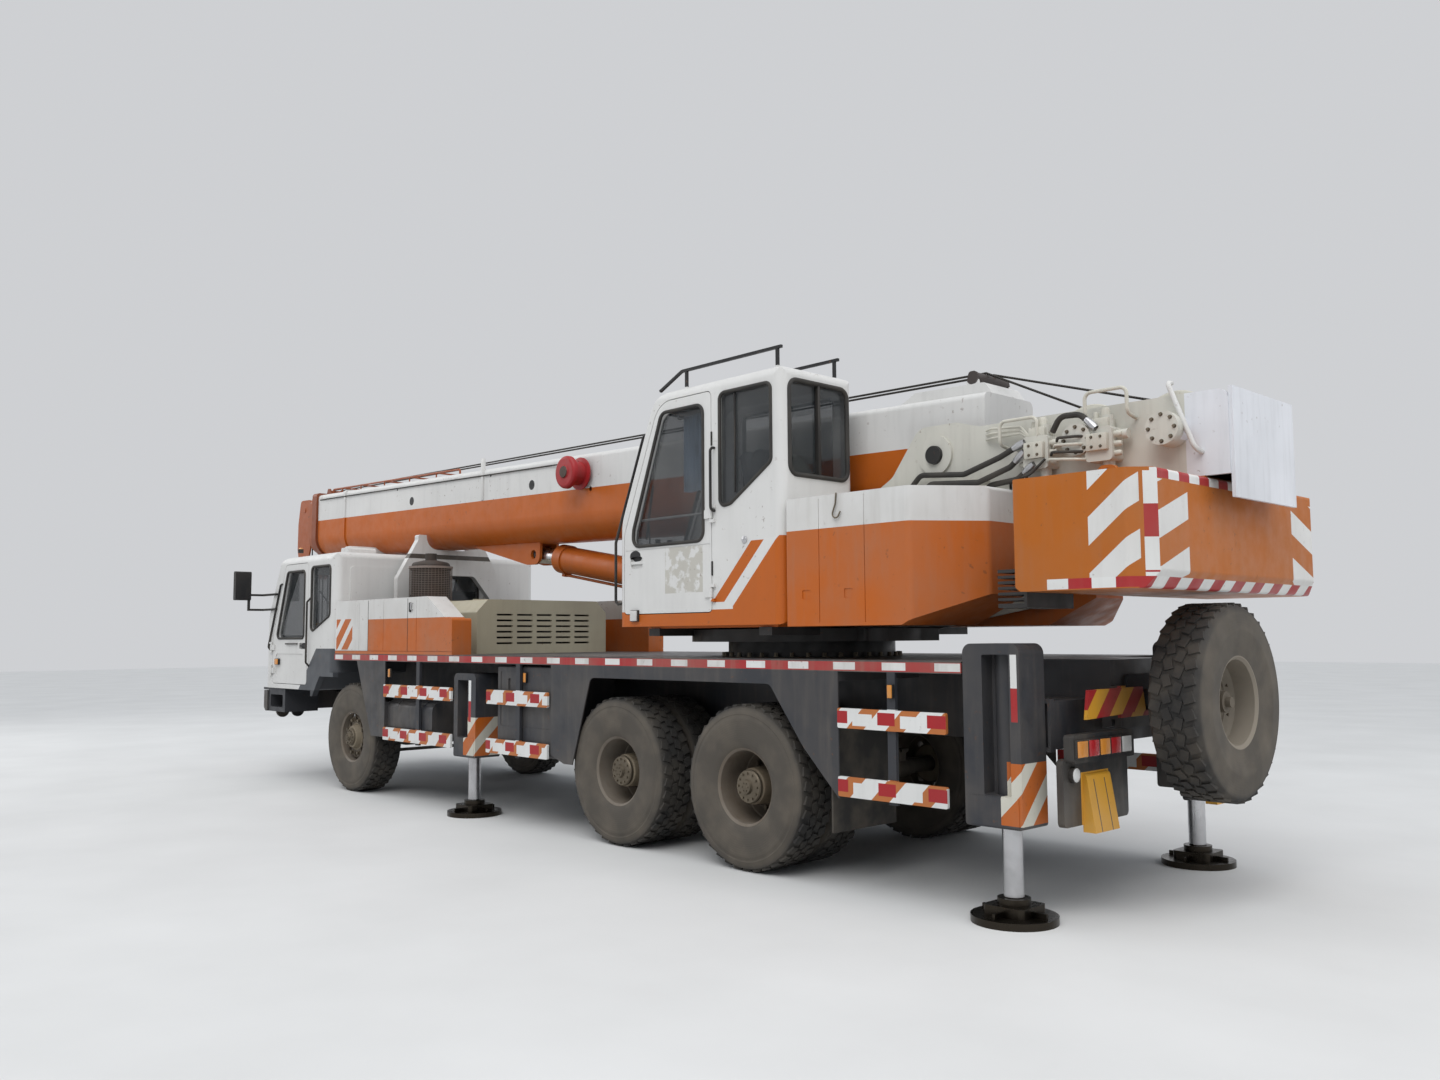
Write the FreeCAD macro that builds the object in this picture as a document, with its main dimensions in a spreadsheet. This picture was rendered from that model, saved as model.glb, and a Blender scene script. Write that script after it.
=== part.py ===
import FreeCAD, Part
import math
import os

import Sketcher
from FreeCAD import Placement, Rotation, Vector

# Three-axle truck crane. Millimetres and degrees, +X to the front, +Y to the left, +Z up, with the
# origin on the ground below the middle of the machine. The boom lies at rest over the driver's cab.
os.makedirs("parts", exist_ok=True)
doc = FreeCAD.newDocument("mobile_crane")
sheet = doc.addObject("Spreadsheet::Sheet", "dims")

# Alias, value, meaning
SIZES = (
    ("front_axle_x", 2600, "front axle"),
    ("middle_axle_x", -1825, "first rear axle"),
    ("rear_axle_x", -3175, "second rear axle"),
    ("tyre_radius", 550, "tyre, outside"),
    ("tyre_width", 315, "tyre, side to side"),
    ("tread_width", 236, "flat of the tread"),
    ("bead_radius", 257, "rim barrel, outside"),
    ("hand_hole_radius", 28, "hand holes of a rim"),
    ("front_wheel_inset", 218, "middle of a front tyre inside the deck's edge"),
    ("dual_inset", 173, "middle of an outer rear tyre inside the deck's edge"),
    ("dual_spacing", 343, "between the middles of twin tyres"),
    ("kingpin_inset", 182, "kingpin inside the middle of its tyre"),
    ("kingpin_radius", 25, "kingpin"),
    ("spindle_radius", 45, "front wheel spindle"),
    ("axle_end_radius", 60, "rear axle end"),
    ("pin_fit", 0.05, "radial clearance of a pin in its bore"),
    ("seat_gap", 0.3, "clearance of a seat"),
    ("move_gap", 6, "clearance of moving pieces"),
    ("deck_top", 1400, "top of the deck"),
    ("deck_half", 1250, "half the overall width"),
    ("deck_front", 3050, "front end of the deck"),
    ("deck_rear", -4945, "rear end of the deck"),
    ("deck_plate", 8, "deck plate"),
    ("deck_lip", 70, "height of the deck's edge"),
    ("rail_outer", 430, "outer face of a frame rail"),
    ("rail_wall", 60, "width of a frame rail"),
    ("frame_bottom", 900, "underside of the frame"),
    ("frame_rear", -5400, "rear end of the frame"),
    ("front_outrigger_x", 280, "middle of the front outrigger pair"),
    ("rear_outrigger_x", -5135, "middle of the rear outrigger pair"),
    ("beam_width", 180, "outrigger beam, along X"),
    ("beam_height", 240, "outrigger beam, along Z"),
    ("beam_z", 1050, "middle of the outrigger beams"),
    ("beam_wall", 10, "wall of an outrigger beam's box"),
    ("beam_stroke", 1500, "travel of an outrigger beam"),
    ("jack_inset", 130, "jack axis inside the deck's edge"),
    ("jack_shift", 30, "jack axis from the middle of its housing"),
    ("housing_length", 360, "jack housing, along X"),
    ("housing_depth", 250, "jack housing, along Y"),
    ("housing_bottom", 510, "underside of a jack housing"),
    ("front_housing_top", 1240, "top of a front jack housing"),
    ("rear_housing_top", 1500, "top of a rear jack housing"),
    ("jack_lift", 350, "travel of a jack up from the ground"),
    ("jack_radius", 55, "jack rod"),
    ("float_radius", 235, "ground plate of a jack"),
    ("float_plate", 40, "rim of a jack's ground plate"),
    ("float_height", 130, "height of a jack's ground plate"),
    ("slew_x", -2700, "slewing axis"),
    ("slew_ring_radius", 640, "slewing ring, outside"),
    ("slew_ring_height", 110, "slewing ring"),
    ("table_bottom", 1510, "underside of the turntable's base plate"),
    ("table_top", 1600, "top of the turntable's base plate"),
    ("table_radius", 920, "turntable's base plate"),
    ("cheek_inner", 400, "inner face of a turntable cheek"),
    ("cheek_wall", 30, "thickness of a turntable cheek"),
    ("table_tail_x", -6140, "rear end of the turntable"),
    ("boom_pin_x", -4220, "boom foot pin"),
    ("boom_pin_z", 2730, "boom foot pin"),
    ("boom_pin_radius", 60, "boom foot pin"),
    ("boom_tilt", 1.4, "boom above level at rest, degrees"),
    ("boom_rise", 20, "middle of the boom above its foot pin"),
    ("boom_tail", 280, "boom behind its foot pin"),
    ("boom_base_length", 9800, "boom base from its foot pin"),
    ("boom_half_width", 290, "boom base, half width"),
    ("boom_half_height", 395, "boom base, half height"),
    ("boom_bend_radius", 250, "lower bends of the boom's section"),
    ("boom_wall", 10, "wall of the boom's sections"),
    ("reel_x", -170, "cable reel"),
    ("reel_z", 3050, "cable reel"),
    ("reel_radius", 150, "cable reel"),
    ("reel_width", 190, "width of the cable reel"),
    ("section_pad", 20, "room between two boom sections"),
    ("section_step", 110, "how far each section shows at rest"),
    ("section_shorter", 1000, "a telescoping section is shorter than the boom base"),
    ("head_length", 290, "boom head beyond the last section"),
    ("head_pin_back", 175, "lower head pin behind the head's tip"),
    ("head_pin_drop", 500, "lower head pin below the boom's axis through its foot pin"),
    ("sheave_radius", 140, "rope sheaves"),
    ("hook_block_z", 1600, "sheave pin of the hook block"),
    ("hook_throat_z", 1140, "middle of the hook's mouth"),
    ("luff_foot_x", -2700, "foot pin of the luffing cylinder"),
    ("luff_foot_z", 1780, "foot pin of the luffing cylinder"),
    ("luff_eye_x", 900, "rod eye of the luffing cylinder"),
    ("luff_eye_z", 2375, "rod eye of the luffing cylinder"),
    ("luff_barrel_radius", 130, "luffing cylinder barrel"),
    ("luff_rod_radius", 75, "luffing cylinder rod"),
    ("luff_pin_radius", 45, "pins of the luffing cylinder"),
    ("winch_front_x", -5310, "front winch"),
    ("winch_rear_x", -5830, "rear winch"),
    ("winch_z", 2680, "winch axes"),
    ("winch_radius", 235, "winch drum flange"),
    ("winch_barrel_radius", 150, "winch drum"),
    ("winch_shaft_radius", 50, "winch shaft"),
    ("ballast_front", -5235, "counterweight, front face"),
    ("ballast_rear", -6020, "counterweight, rear face"),
    ("ballast_inset", 100, "counterweight's side inside the deck's edge"),
    ("ballast_bottom", 1780, "counterweight, underside"),
    ("ballast_top", 2400, "counterweight, top"),
    ("ballast_lug_y", 800, "lifting lugs of the counterweight, from its middle"),
    ("cab_front", 4710, "front of the driver's cab"),
    ("cab_rear", 2885, "rear wall of the driver's cab"),
    ("cab_bottom", 740, "lower edge of the driver's cab"),
    ("bumper_top", 970, "top of the front bumper"),
    ("cab_step_rear", 4100, "rear end of the cab's step"),
    ("bumper_depth", 160, "front bumper behind the cab's front"),
    ("cab_floor", 1000, "floor of the driver's cab"),
    ("cab_arch_top", 1200, "cab above the front wheels"),
    ("cab_arch_front", 3230, "front end of the cab's wheel arch"),
    ("cab_waist", 1540, "lower edge of the cab's windows"),
    ("cab_roof", 2470, "roof of the driver's cab"),
    ("cab_roof_front", 4220, "front end of the cab's roof"),
    ("cab_wall", 60, "walls and doors of the driver's cab"),
    ("door_front", 4430, "front edge of a driver's door"),
    ("door_rear", 3530, "rear edge of a driver's door"),
    ("door_bottom", 1060, "lower edge of a driver's door"),
    ("door_top", 2380, "upper edge of a driver's door"),
    ("door_top_front", 4110, "front end of a door's upper edge"),
    ("rear_window_half", 480, "half the cab's rear window"),
    ("glass_wall", 6, "window glass"),
    ("hinge_pin_radius", 9, "door hinge pin"),
    ("hinge_offset", 14, "door hinge axis outside the panel"),
    ("hinge_leaf_half", 30, "half the height of a hinge leaf"),
    ("hinge_knuckle_radius", 14, "hinge knuckle"),
    ("operator_front", -1810, "front of the operator's cab"),
    ("operator_roof_front", -2270, "front end of its roof"),
    ("operator_rear", -3537, "rear of the operator's cab"),
    ("operator_inner", 460, "inboard wall of the operator's cab"),
    ("operator_inset", 50, "operator's cab inside the deck's edge"),
    ("operator_bottom", 1625, "underside of the operator's cab"),
    ("operator_top", 3350, "roof of the operator's cab"),
    ("operator_waist", 2270, "where the operator's windscreen starts to lean back"),
    ("operator_wall", 50, "walls and door of the operator's cab"),
    ("operator_door_front", -1900, "front edge of the operator's door"),
    ("operator_door_rear", -2860, "rear edge of the operator's door"),
    ("hood_front", 2100, "engine hood, front"),
    ("hood_rear", 870, "engine hood, rear"),
    ("hood_half", 770, "engine hood, half width"),
    ("hood_top", 1920, "engine hood, top"),
    ("hood_wall", 30, "panels of the engine hood"),
    ("cover_inner", 1050, "tool covers, inner face"),
    ("cover_top", 1940, "tool covers, top"),
    ("rest_x", 2680, "boom rest"),
    ("rest_plate", 80, "thickness of the boom rest"),
    ("rest_foot_half", 640, "half the boom rest's stance"),
    ("rest_leg", 120, "leg of the boom rest"),
    ("rest_horn", 100, "horn beside the boom"),
)
for row, (alias, value, meaning) in enumerate(SIZES, start=1):
    sheet.set(f"A{row}", meaning)
    sheet.set(f"B{row}", str(value))
    sheet.setAlias(f"B{row}", alias)
doc.recompute()


class Size:
    """A length or angle that keeps its value together with the sheet expression that gives it."""

    def __init__(self, value, text):
        self.value = float(value)
        self.text = text

    def __add__(self, other):
        other = sized(other)
        return Size(self.value + other.value, f"({self.text} + {other.text})")

    def __sub__(self, other):
        other = sized(other)
        return Size(self.value - other.value, f"({self.text} - {other.text})")

    def __mul__(self, other):
        other = sized(other)
        return Size(self.value * other.value, f"({self.text} * {other.text})")

    def __truediv__(self, other):
        other = sized(other)
        return Size(self.value / other.value, f"({self.text} / {other.text})")

    def __neg__(self):
        return self * -1

    def __rsub__(self, other):
        return sized(other) - self

    __radd__ = __add__
    __rmul__ = __mul__


def sized(number):
    return number if isinstance(number, Size) else Size(number, f"{float(number):.9g}")


def sine(angle):
    return Size(math.sin(math.radians(angle.value)), f"sin({angle.text})")


def cosine(angle):
    return Size(math.cos(math.radians(angle.value)), f"cos({angle.text})")


class Sheet:
    """Every alias of the sheet as an attribute."""


S = Sheet()
for alias, _, _ in SIZES:
    setattr(S, alias, Size(sheet.get(alias), f"dims.{alias}"))
S.front_wheel_y = S.deck_half - S.front_wheel_inset
S.kingpin_y = S.front_wheel_y - S.kingpin_inset
S.dual_outer_y = S.deck_half - S.dual_inset
S.jack_y = S.deck_half - S.jack_inset
S.ballast_half = S.deck_half - S.ballast_inset
S.operator_outer = S.deck_half - S.operator_inset
S.section_length = S.boom_base_length - S.section_shorter


def bind(obj, **values):
    """Bind properties of an object to sheet expressions."""
    for name, size in values.items():
        size = sized(size)
        setattr(obj, name, size.value)
        obj.setExpression(name, size.text)
    return obj


# Turns that carry a flat outline (u, v) and its thickness into the machine's axes
TURNS = {
    "XY": Rotation(),
    "XZ": Rotation(Vector(1, 0, 0), 90),
    "YZ": Rotation(Vector(1, 1, 1), 120),
}
CYLINDER_TURNS = {"X": Rotation(Vector(0, 1, 0), 90), "Y": Rotation(Vector(1, 0, 0), -90), "Z": Rotation()}


def place(obj, x, y, z, turn=None):
    """Bind an object's place, after its shape is set."""
    if turn:
        obj.Placement = Placement(obj.Placement.Base, turn)
    for axis, size in zip("xyz", (x, y, z)):
        obj.setExpression(f"Placement.Base.{axis}", sized(size).text)
    return obj


def box(label, x, y, z):
    """A box from the low and high end on each axis."""
    obj = doc.addObject("Part::Box", label)
    bind(obj, Length=sized(x[1]) - x[0], Width=sized(y[1]) - y[0], Height=sized(z[1]) - z[0])
    return place(obj, x[0], y[0], z[0])


def rounded_box(label, plane, x, y, z, radius):
    """A box whose four edges across a plane are rounded."""
    spans = {"XY": (x, y, z), "XZ": (x, z, y), "YZ": (y, z, x)}
    u, v, through = spans[plane]
    return prism(label, plane, rounded([(u[0], v[0]), (u[1], v[0]), (u[1], v[1]), (u[0], v[1])], radius), through)


def cylinder(label, axis, start, radius, length):
    """A round bar that runs from its start along +X, +Y or +Z."""
    obj = doc.addObject("Part::Cylinder", label)
    bind(obj, Radius=radius, Height=length)
    return place(obj, *start, turn=CYLINDER_TURNS[axis])


def outline_sketch(body, label, outline):
    """A closed outline in a body's XY plane. A corner is (u, v), or (u, v, radius) where it is rounded."""
    sketch = body.newObject("Sketcher::SketchObject", label + "_outline")
    plane = [feature for feature in body.Origin.OriginFeatures if feature.Role == "XY_Plane"][0]
    sketch.AttachmentSupport = (plane, [""])
    sketch.MapMode = "FlatFace"
    corners = [tuple(sized(value) for value in corner) for corner in outline]
    count = len(corners)
    points = [Vector(corner[0].value, corner[1].value, 0) for corner in corners]
    arrive, leave, arcs = list(points), list(points), {}
    for i, corner in enumerate(corners):
        if len(corner) == 3:
            back = (points[i - 1] - points[i]).normalize()
            ahead = (points[(i + 1) % count] - points[i]).normalize()
            half = back.getAngle(ahead) / 2
            radius = corner[2].value
            arrive[i] = points[i] + back * (radius / math.tan(half))
            leave[i] = points[i] + ahead * (radius / math.tan(half))
            centre = points[i] + (back + ahead).normalize() * (radius / math.sin(half))
            arcs[i] = (centre, radius, back.cross(ahead).z < 0)
    for i in range(count):
        sketch.addGeometry(Part.LineSegment(leave[i], arrive[(i + 1) % count]))
    for i, corner in enumerate(corners):
        before = (i - 1) % count
        if i not in arcs:
            sketch.addConstraint(Sketcher.Constraint("Coincident", before, 2, i, 1))
            fixed = i
        else:
            centre, radius, left = arcs[i]
            first, second = (arrive[i], leave[i]) if left else (leave[i], arrive[i])
            low = math.atan2(first.y - centre.y, first.x - centre.x)
            high = math.atan2(second.y - centre.y, second.x - centre.x)
            circle = Part.Circle(centre, Vector(0, 0, 1), radius)
            arc = sketch.addGeometry(Part.ArcOfCircle(circle, low, high if high > low else high + 2 * math.pi))
            sketch.addConstraint(Sketcher.Constraint("Tangent", before, 2, arc, 1 if left else 2))
            sketch.addConstraint(Sketcher.Constraint("Tangent", arc, 2 if left else 1, i, 1))
            index = sketch.addConstraint(Sketcher.Constraint("Radius", arc, radius))
            sketch.setExpression(f"Constraints[{index}]", corner[2].text)
            fixed = sketch.addGeometry(Part.Point(points[i]), True)
            sketch.addConstraint(Sketcher.Constraint("PointOnObject", fixed, 1, before))
            sketch.addConstraint(Sketcher.Constraint("PointOnObject", fixed, 1, i))
        for kind, size in zip(("DistanceX", "DistanceY"), corner):
            index = sketch.addConstraint(Sketcher.Constraint(kind, -1, 1, fixed, 1, size.value))
            sketch.setExpression(f"Constraints[{index}]", size.text)
    return sketch


def rounded(outline, radius):
    """The same outline with every sharp corner rounded."""
    return [corner if len(corner) == 3 else (*corner, radius) for corner in outline]


def inset(outline, by):
    """The outline moved inwards by a distance, with its rounded corners following."""
    by = sized(by)
    corners = [tuple(sized(value) for value in corner) for corner in outline]
    points = [Vector(corner[0].value, corner[1].value, 0) for corner in corners]
    count = len(points)
    area = sum(points[i].x * points[(i + 1) % count].y - points[(i + 1) % count].x * points[i].y for i in range(count))
    turn = 1 if area > 0 else -1
    moved = []
    for i, corner in enumerate(corners):
        into = (points[i] - points[i - 1]).normalize()
        out = (points[(i + 1) % count] - points[i]).normalize()
        normals = [Vector(-side.y * turn, side.x * turn, 0) for side in (into, out)]
        shift = (normals[0] + normals[1]) / (1 + normals[0].dot(normals[1]))
        place_moved = [corner[0] + by * shift.x, corner[1] + by * shift.y]
        if len(corner) == 3:
            radius = corner[2] - by if into.cross(out).z * turn > 0 else corner[2] + by
            if radius.value > 1:
                place_moved.append(radius)
        moved.append(tuple(place_moved))
    return moved


def window_pane(label, plane, opening, depth):
    """A pane that seats in an opening, at a depth across its plane."""
    return prism(label, plane, inset(opening, S.seat_gap), depth)


def prism(label, plane, outline, span):
    """An outline padded across its plane, from the low to the high end of the span."""
    body = doc.addObject("PartDesign::Body", label)
    sketch = outline_sketch(body, label, outline)
    pad = body.newObject("PartDesign::Pad", label + "_pad")
    pad.Profile = sketch
    bind(pad, Length=sized(span[1]) - span[0])
    body.Tip = pad
    if plane == "XZ":
        return place(body, 0, span[1], 0, turn=TURNS[plane])
    if plane == "YZ":
        return place(body, span[0], 0, 0, turn=TURNS[plane])
    return place(body, 0, 0, span[0])


def turned(label, outline, centre, mirror=1):
    """An outline of (radius, offset along Y) corners, revolved about an axis along Y."""
    body = doc.addObject("PartDesign::Body", label)
    sketch = outline_sketch(body, label, [(corner[0], sized(corner[1]) * mirror, *corner[2:]) for corner in outline])
    revolution = body.newObject("PartDesign::Revolution", label + "_turn")
    revolution.Profile = sketch
    revolution.ReferenceAxis = (sketch, ["V_Axis"])
    revolution.Angle = 360
    body.Tip = revolution
    return place(body, *centre)


def fuse(label, shapes):
    if len(shapes) == 1:
        return shapes[0]
    obj = doc.addObject("Part::MultiFuse", label)
    obj.Shapes = shapes
    obj.Refine = True
    return obj


def cut(label, base, tools):
    obj = doc.addObject("Part::Cut", label)
    obj.Base = base
    obj.Tool = fuse(label + "_tools", tools)
    obj.Refine = True
    return obj


def common(label, shapes):
    obj = doc.addObject("Part::MultiCommon", label)
    obj.Shapes = shapes
    obj.Refine = True
    return obj


def moulded(label, side_outline, x, y, z, front_radius, rear_radius, roof_radius):
    """A cab's body: its side outline, rounded in plan at its posts and along its roof edges."""
    plan = [(x[0], y[0], rear_radius), (x[1], y[0], front_radius), (x[1], y[1], front_radius),
            (x[0], y[1], rear_radius)]
    section = [(y[0], z[0]), (y[1], z[0]), (y[1], z[1], roof_radius), (y[0], z[1], roof_radius)]
    return common(label, [prism(label + "_side", "XZ", side_outline, y), prism(label + "_plan", "XY", plan, z),
                          prism(label + "_section", "YZ", section, x)])


def group(label, shapes):
    obj = doc.addObject("Part::Compound", label)
    obj.Links = shapes
    return obj


NODES = []


def node(name, obj):
    """Name a finished piece; its label is the name of its file."""
    obj.Label = name
    NODES.append(obj)
    return obj


def span(side, low, high):
    """A stretch of Y on the left (side 1) or mirrored to the right (side -1)."""
    return (sized(low), sized(high)) if side > 0 else (-sized(high), -sized(low))


SIDES = (("left", 1), ("right", -1))
# Places across the machine of the hoist rope's sheaves
HOOK_LANES = (-70, 0, 70)
DOOR_HINGES = (1200, 1460)
OPERATOR_HINGES = (1850, 2400)
HAND_HOLES = 8
# Outrigger pairs: name, place, side of the jack in its housing along X, top of the housing
PAIRS = (
    ("front", S.front_outrigger_x, 1, S.front_housing_top),
    ("rear", S.rear_outrigger_x, -1, S.rear_housing_top),
)


# Chassis frame: two deep rails, cross members, top plate and the four outrigger boxes
def chassis_frame():
    """Two deep rails, cross members, top plate and the four outrigger tunnels."""
    low_front, high_front = S.cab_bottom - 50, S.cab_floor - 70
    front = S.cab_front - S.bumper_depth
    rail = [
        (S.frame_rear, S.frame_bottom + 120), (S.frame_rear + 500, S.frame_bottom, 300),
        (S.cab_rear, S.frame_bottom, 200), (S.cab_rear + 400, low_front, 200), (front, low_front), (front, high_front),
        (S.cab_arch_front + 100, high_front, 60), (S.cab_arch_front - 80, S.cab_arch_top - 20, 60),
        (S.cab_rear - 30, S.cab_arch_top - 20, 30), (S.cab_rear - 30, S.deck_top), (S.frame_rear, S.deck_top),
    ]
    pieces = []
    for name, side in SIDES:
        pieces.append(prism(f"rail_{name}", "XZ", rail, span(side, S.rail_outer - S.rail_wall, S.rail_outer)))
    inside = (S.rail_wall - S.rail_outer, S.rail_outer - S.rail_wall)
    plate_low = S.deck_top - 15
    pieces.append(box("frame_top", (S.frame_rear, S.hood_rear), inside, (plate_low, S.deck_top)))
    # Cross members: place along X, length along X, low and high along Z
    for index, (x, length, low, high) in enumerate((
        (S.frame_rear, 40, S.frame_bottom + 130, plate_low),
        (S.slew_x - 600, 60, S.frame_bottom, plate_low),
        (S.slew_x + 540, 60, S.frame_bottom, plate_low),
        (S.hood_rear - 60, 60, S.frame_bottom + 100, plate_low),
        (S.cab_rear - 400, 60, S.frame_bottom + 100, S.deck_top),
        (front - 60, 60, low_front, high_front),
    )):
        pieces.append(box(f"cross_member_{index}", (x, x + length), inside, (low, high)))
    for name, side in SIDES:
        for x in (S.cab_rear + 615, S.cab_front - 410):
            pieces.append(box(f"cab_mount_{name}_{x.value:.0f}", (x, x + 90),
                              span(side, S.rail_outer - S.rail_wall, S.rail_outer), (S.cab_floor - 75, S.cab_floor)))
    half_box = S.beam_width + S.beam_wall * 2 + S.move_gap
    tunnels = []
    low_z = S.beam_z - S.beam_height / 2 - S.seat_gap
    high_z = S.beam_z + S.beam_height / 2 + S.seat_gap
    box_end = S.deck_half - S.housing_depth - S.move_gap
    for name, x, _, _ in PAIRS:
        pieces.append(box(f"{name}_outrigger_box", (x - half_box, x + half_box), (-box_end, box_end),
                          (low_z - S.beam_wall, high_z + S.beam_wall)))
        for lane in (-1, 1):
            middle = x + lane * (S.beam_width / 2 + S.beam_wall)
            half = S.beam_width / 2 + S.seat_gap
            tunnels.append(box(f"{name}_tunnel_{lane + 1}", (middle - half, middle + half),
                               (-box_end - 10, box_end + 10), (low_z, high_z)))
            # Raised lips round the mouths of the tunnels
            for end, sign in (("left", 1), ("right", -1)):
                pieces.append(box(f"{name}_mouth_{lane + 1}_{end}", (middle - half - 16, middle + half + 16),
                                  span(sign, box_end - 40, box_end), (low_z - 24, high_z + 24)))
    node("chassis_frame", cut("chassis_frame", fuse("frame_welded", pieces), tunnels))


def deck():
    """Plates on both sides of the frame with a turned-down edge, foot rails and rope hooks."""
    plates = []
    front = S.cab_rear - 30
    for name, side in SIDES:
        pieces = [
            box(f"deck_plate_{name}", (S.deck_rear, front), span(side, S.rail_outer, S.deck_half),
                (S.deck_top - S.deck_plate, S.deck_top)),
            box(f"deck_edge_{name}", (S.deck_rear, front), span(side, S.deck_half - S.deck_plate, S.deck_half),
                (S.deck_top - S.deck_lip, S.deck_top)),
        ]
        # Stiffeners under the plate, between the wheel arches and the boxes
        for index, x in enumerate((S.deck_rear + 60, S.rear_axle_x - 700, S.middle_axle_x + 560, S.front_outrigger_x + 700,
                                   front - 90)):
            pieces.append(box(f"deck_rib_{name}_{index}", (x, x + 40), span(side, S.rail_outer, S.deck_half - 5),
                              (S.deck_top - S.deck_lip, S.deck_top - S.deck_plate + 1)))
        plates.append(fuse(f"deck_{name}", pieces))
    node("deck", group("deck", plates))


def side_boxes():
    """Slate panels below the deck: the rear wheel arches, side boxes, splash panels and fuel tanks."""
    lip = S.deck_top - S.deck_lip
    skirt_low, tank_low, tank_high = 560, 620, 960
    front, rear, crown = S.middle_axle_x + 515, S.rear_axle_x - 575, 1240
    arch = [(front, skirt_low), (S.middle_axle_x + 285, crown, 60), (S.rear_axle_x - 280, crown, 60), (rear, 850),
            (rear - 290, skirt_low), (rear - 290, lip), (front + 290, lip), (front + 290, skirt_low + 60, 20),
            (front + 110, skirt_low)]
    panels = []
    for name, side in SIDES:
        skirt = span(side, S.deck_half - 10, S.deck_half)
        web, body = span(side, S.rail_outer, S.deck_half - 5), span(side, 640, S.deck_half - 35)
        box_rear, box_front = front + 250, S.front_outrigger_x - 480
        section = [(body[0], tank_low), (body[1], tank_low), (body[1], tank_high), (body[0], tank_high)]
        locker = [(body[0], skirt_low + 20), (body[1], skirt_low + 20), (body[1], lip - 15), (body[0], lip - 15)]
        panels.append(fuse(f"skirts_{name}", [
            prism(f"rear_arch_{name}", "XZ", arch, skirt),
            box(f"arch_hanger_{name}", (front + 230, front + 290), web, (lip - 60, lip)),
            box(f"arch_hanger_rear_{name}", (rear - 290, rear - 230), web, (lip - 60, lip)),
            cut(f"locker_{name}", prism(f"locker_body_{name}", "YZ", rounded(locker, 20), (box_rear, box_front)), [
                rounded_box(f"locker_seam_{name}", "XZ", (box_rear + 60, box_front - 40),
                            span(side, S.deck_half - 39, S.deck_half - 30), (S.beam_z - 240, lip - 60), 20),
                rounded_box(f"locker_latch_{name}", "XZ", (box_front - 190, box_front - 150),
                            span(side, S.deck_half - 50, S.deck_half - 30), (S.beam_z + 60, S.beam_z + 160), 10)]),
            box(f"locker_web_{name}", (box_rear, front + 290), span(side, S.deck_half - 150, S.deck_half - 5), (700, 940)),
            box(f"locker_hanger_{name}", (box_rear + 160, box_rear + 220), span(side, S.rail_outer, 700),
                (tank_high - 60, tank_high)),
        ]))
        splash_rear, splash_front = S.front_axle_x - 850, S.front_axle_x - 600
        tank_rear = S.front_outrigger_x + 620
        pieces = [
            prism(f"splash_panel_{name}", "XZ", [(splash_rear, 600, 20), (splash_front + 20, 600, 20),
                                                 (splash_front + 350, lip), (splash_rear, lip)], skirt),
            prism(f"fuel_tank_{name}", "YZ", rounded(section, 90), (tank_rear, splash_rear + 10)),
            box(f"tank_web_{name}", (splash_rear, splash_rear + 30), span(side, S.deck_half - 150, S.deck_half - 5), (640, 940)),
        ]
        # Straps round the tank, hung from the rail
        for x in (tank_rear + 160, splash_rear - 200):
            strap = [(body[0], tank_low - 6), (body[1], tank_low - 6), (body[1], tank_high + 6), (body[0], tank_high + 6)]
            pieces.append(prism(f"tank_strap_{name}_{x.value:.0f}", "YZ", rounded(strap, 90), (x, x + 60)))
            pieces.append(box(f"tank_hanger_{name}_{x.value:.0f}", (x, x + 60), span(side, S.rail_outer, 700),
                              (tank_high - 100, tank_high - 40)))
        panels.append(fuse(f"splash_{name}", pieces))
    node("side_boxes", group("side_boxes", panels))


def side_guards():
    """Two guard rails on posts in each open stretch below the deck."""
    guards = []
    stretches = ((S.front_outrigger_x + 200, S.front_axle_x - 860), (S.front_outrigger_x - 1280, S.front_outrigger_x - 380),
                 (S.deck_rear + 95, S.rear_axle_x - 875))
    for name, side in SIDES:
        for index, (low, high) in enumerate(stretches):
            rails = [rounded_box(f"guard_{name}_{index}_{level}", "XZ", (low, high),
                                 span(side, S.deck_half, S.deck_half + 20), (level - 60, level + 60), 12)
                     for level in (640, 1050)]
            middle = (low + high) / 2
            rails.append(box(f"guard_post_{name}_{index}", (middle - 30, middle + 30),
                             span(side, S.deck_half - 25, S.deck_half), (560, S.deck_top - S.deck_lip)))
            guards.append(fuse(f"guard_{name}_{index}", rails))
    node("side_guards", group("side_guards", guards))


def tool_covers():
    """Closed lockers on the deck edge behind the cab, lower at their rear end for the swinging ballast."""
    rear, front = S.front_outrigger_x + 230, S.cab_rear - 40
    outline = [(rear, S.deck_top), (front, S.deck_top), (front, S.cover_top, 25), (rear + 450, S.cover_top, 40),
               (rear + 110, S.cover_top - 210, 40), (rear, S.cover_top - 210, 25)]
    covers = []
    for name, side in SIDES:
        face = S.deck_half
        tools = [box(f"cover_seam_{name}_{index}", (x, x + 6), span(side, face - 5, face + 5),
                     (S.deck_top + 30, S.cover_top - 30)) for index, x in enumerate((rear + 640, rear + 1290, rear + 1800))]
        tools.append(box(f"cover_seam_{name}_low", (rear - 5, front + 5), span(side, face - 5, face + 5),
                         (S.deck_top + 26, S.deck_top + 32)))
        covers.append(cut(f"cover_{name}", prism(f"cover_body_{name}", "XZ", outline, span(side, S.cover_inner, face)),
                          tools))
    node("tool_covers", group("tool_covers", covers))


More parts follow.
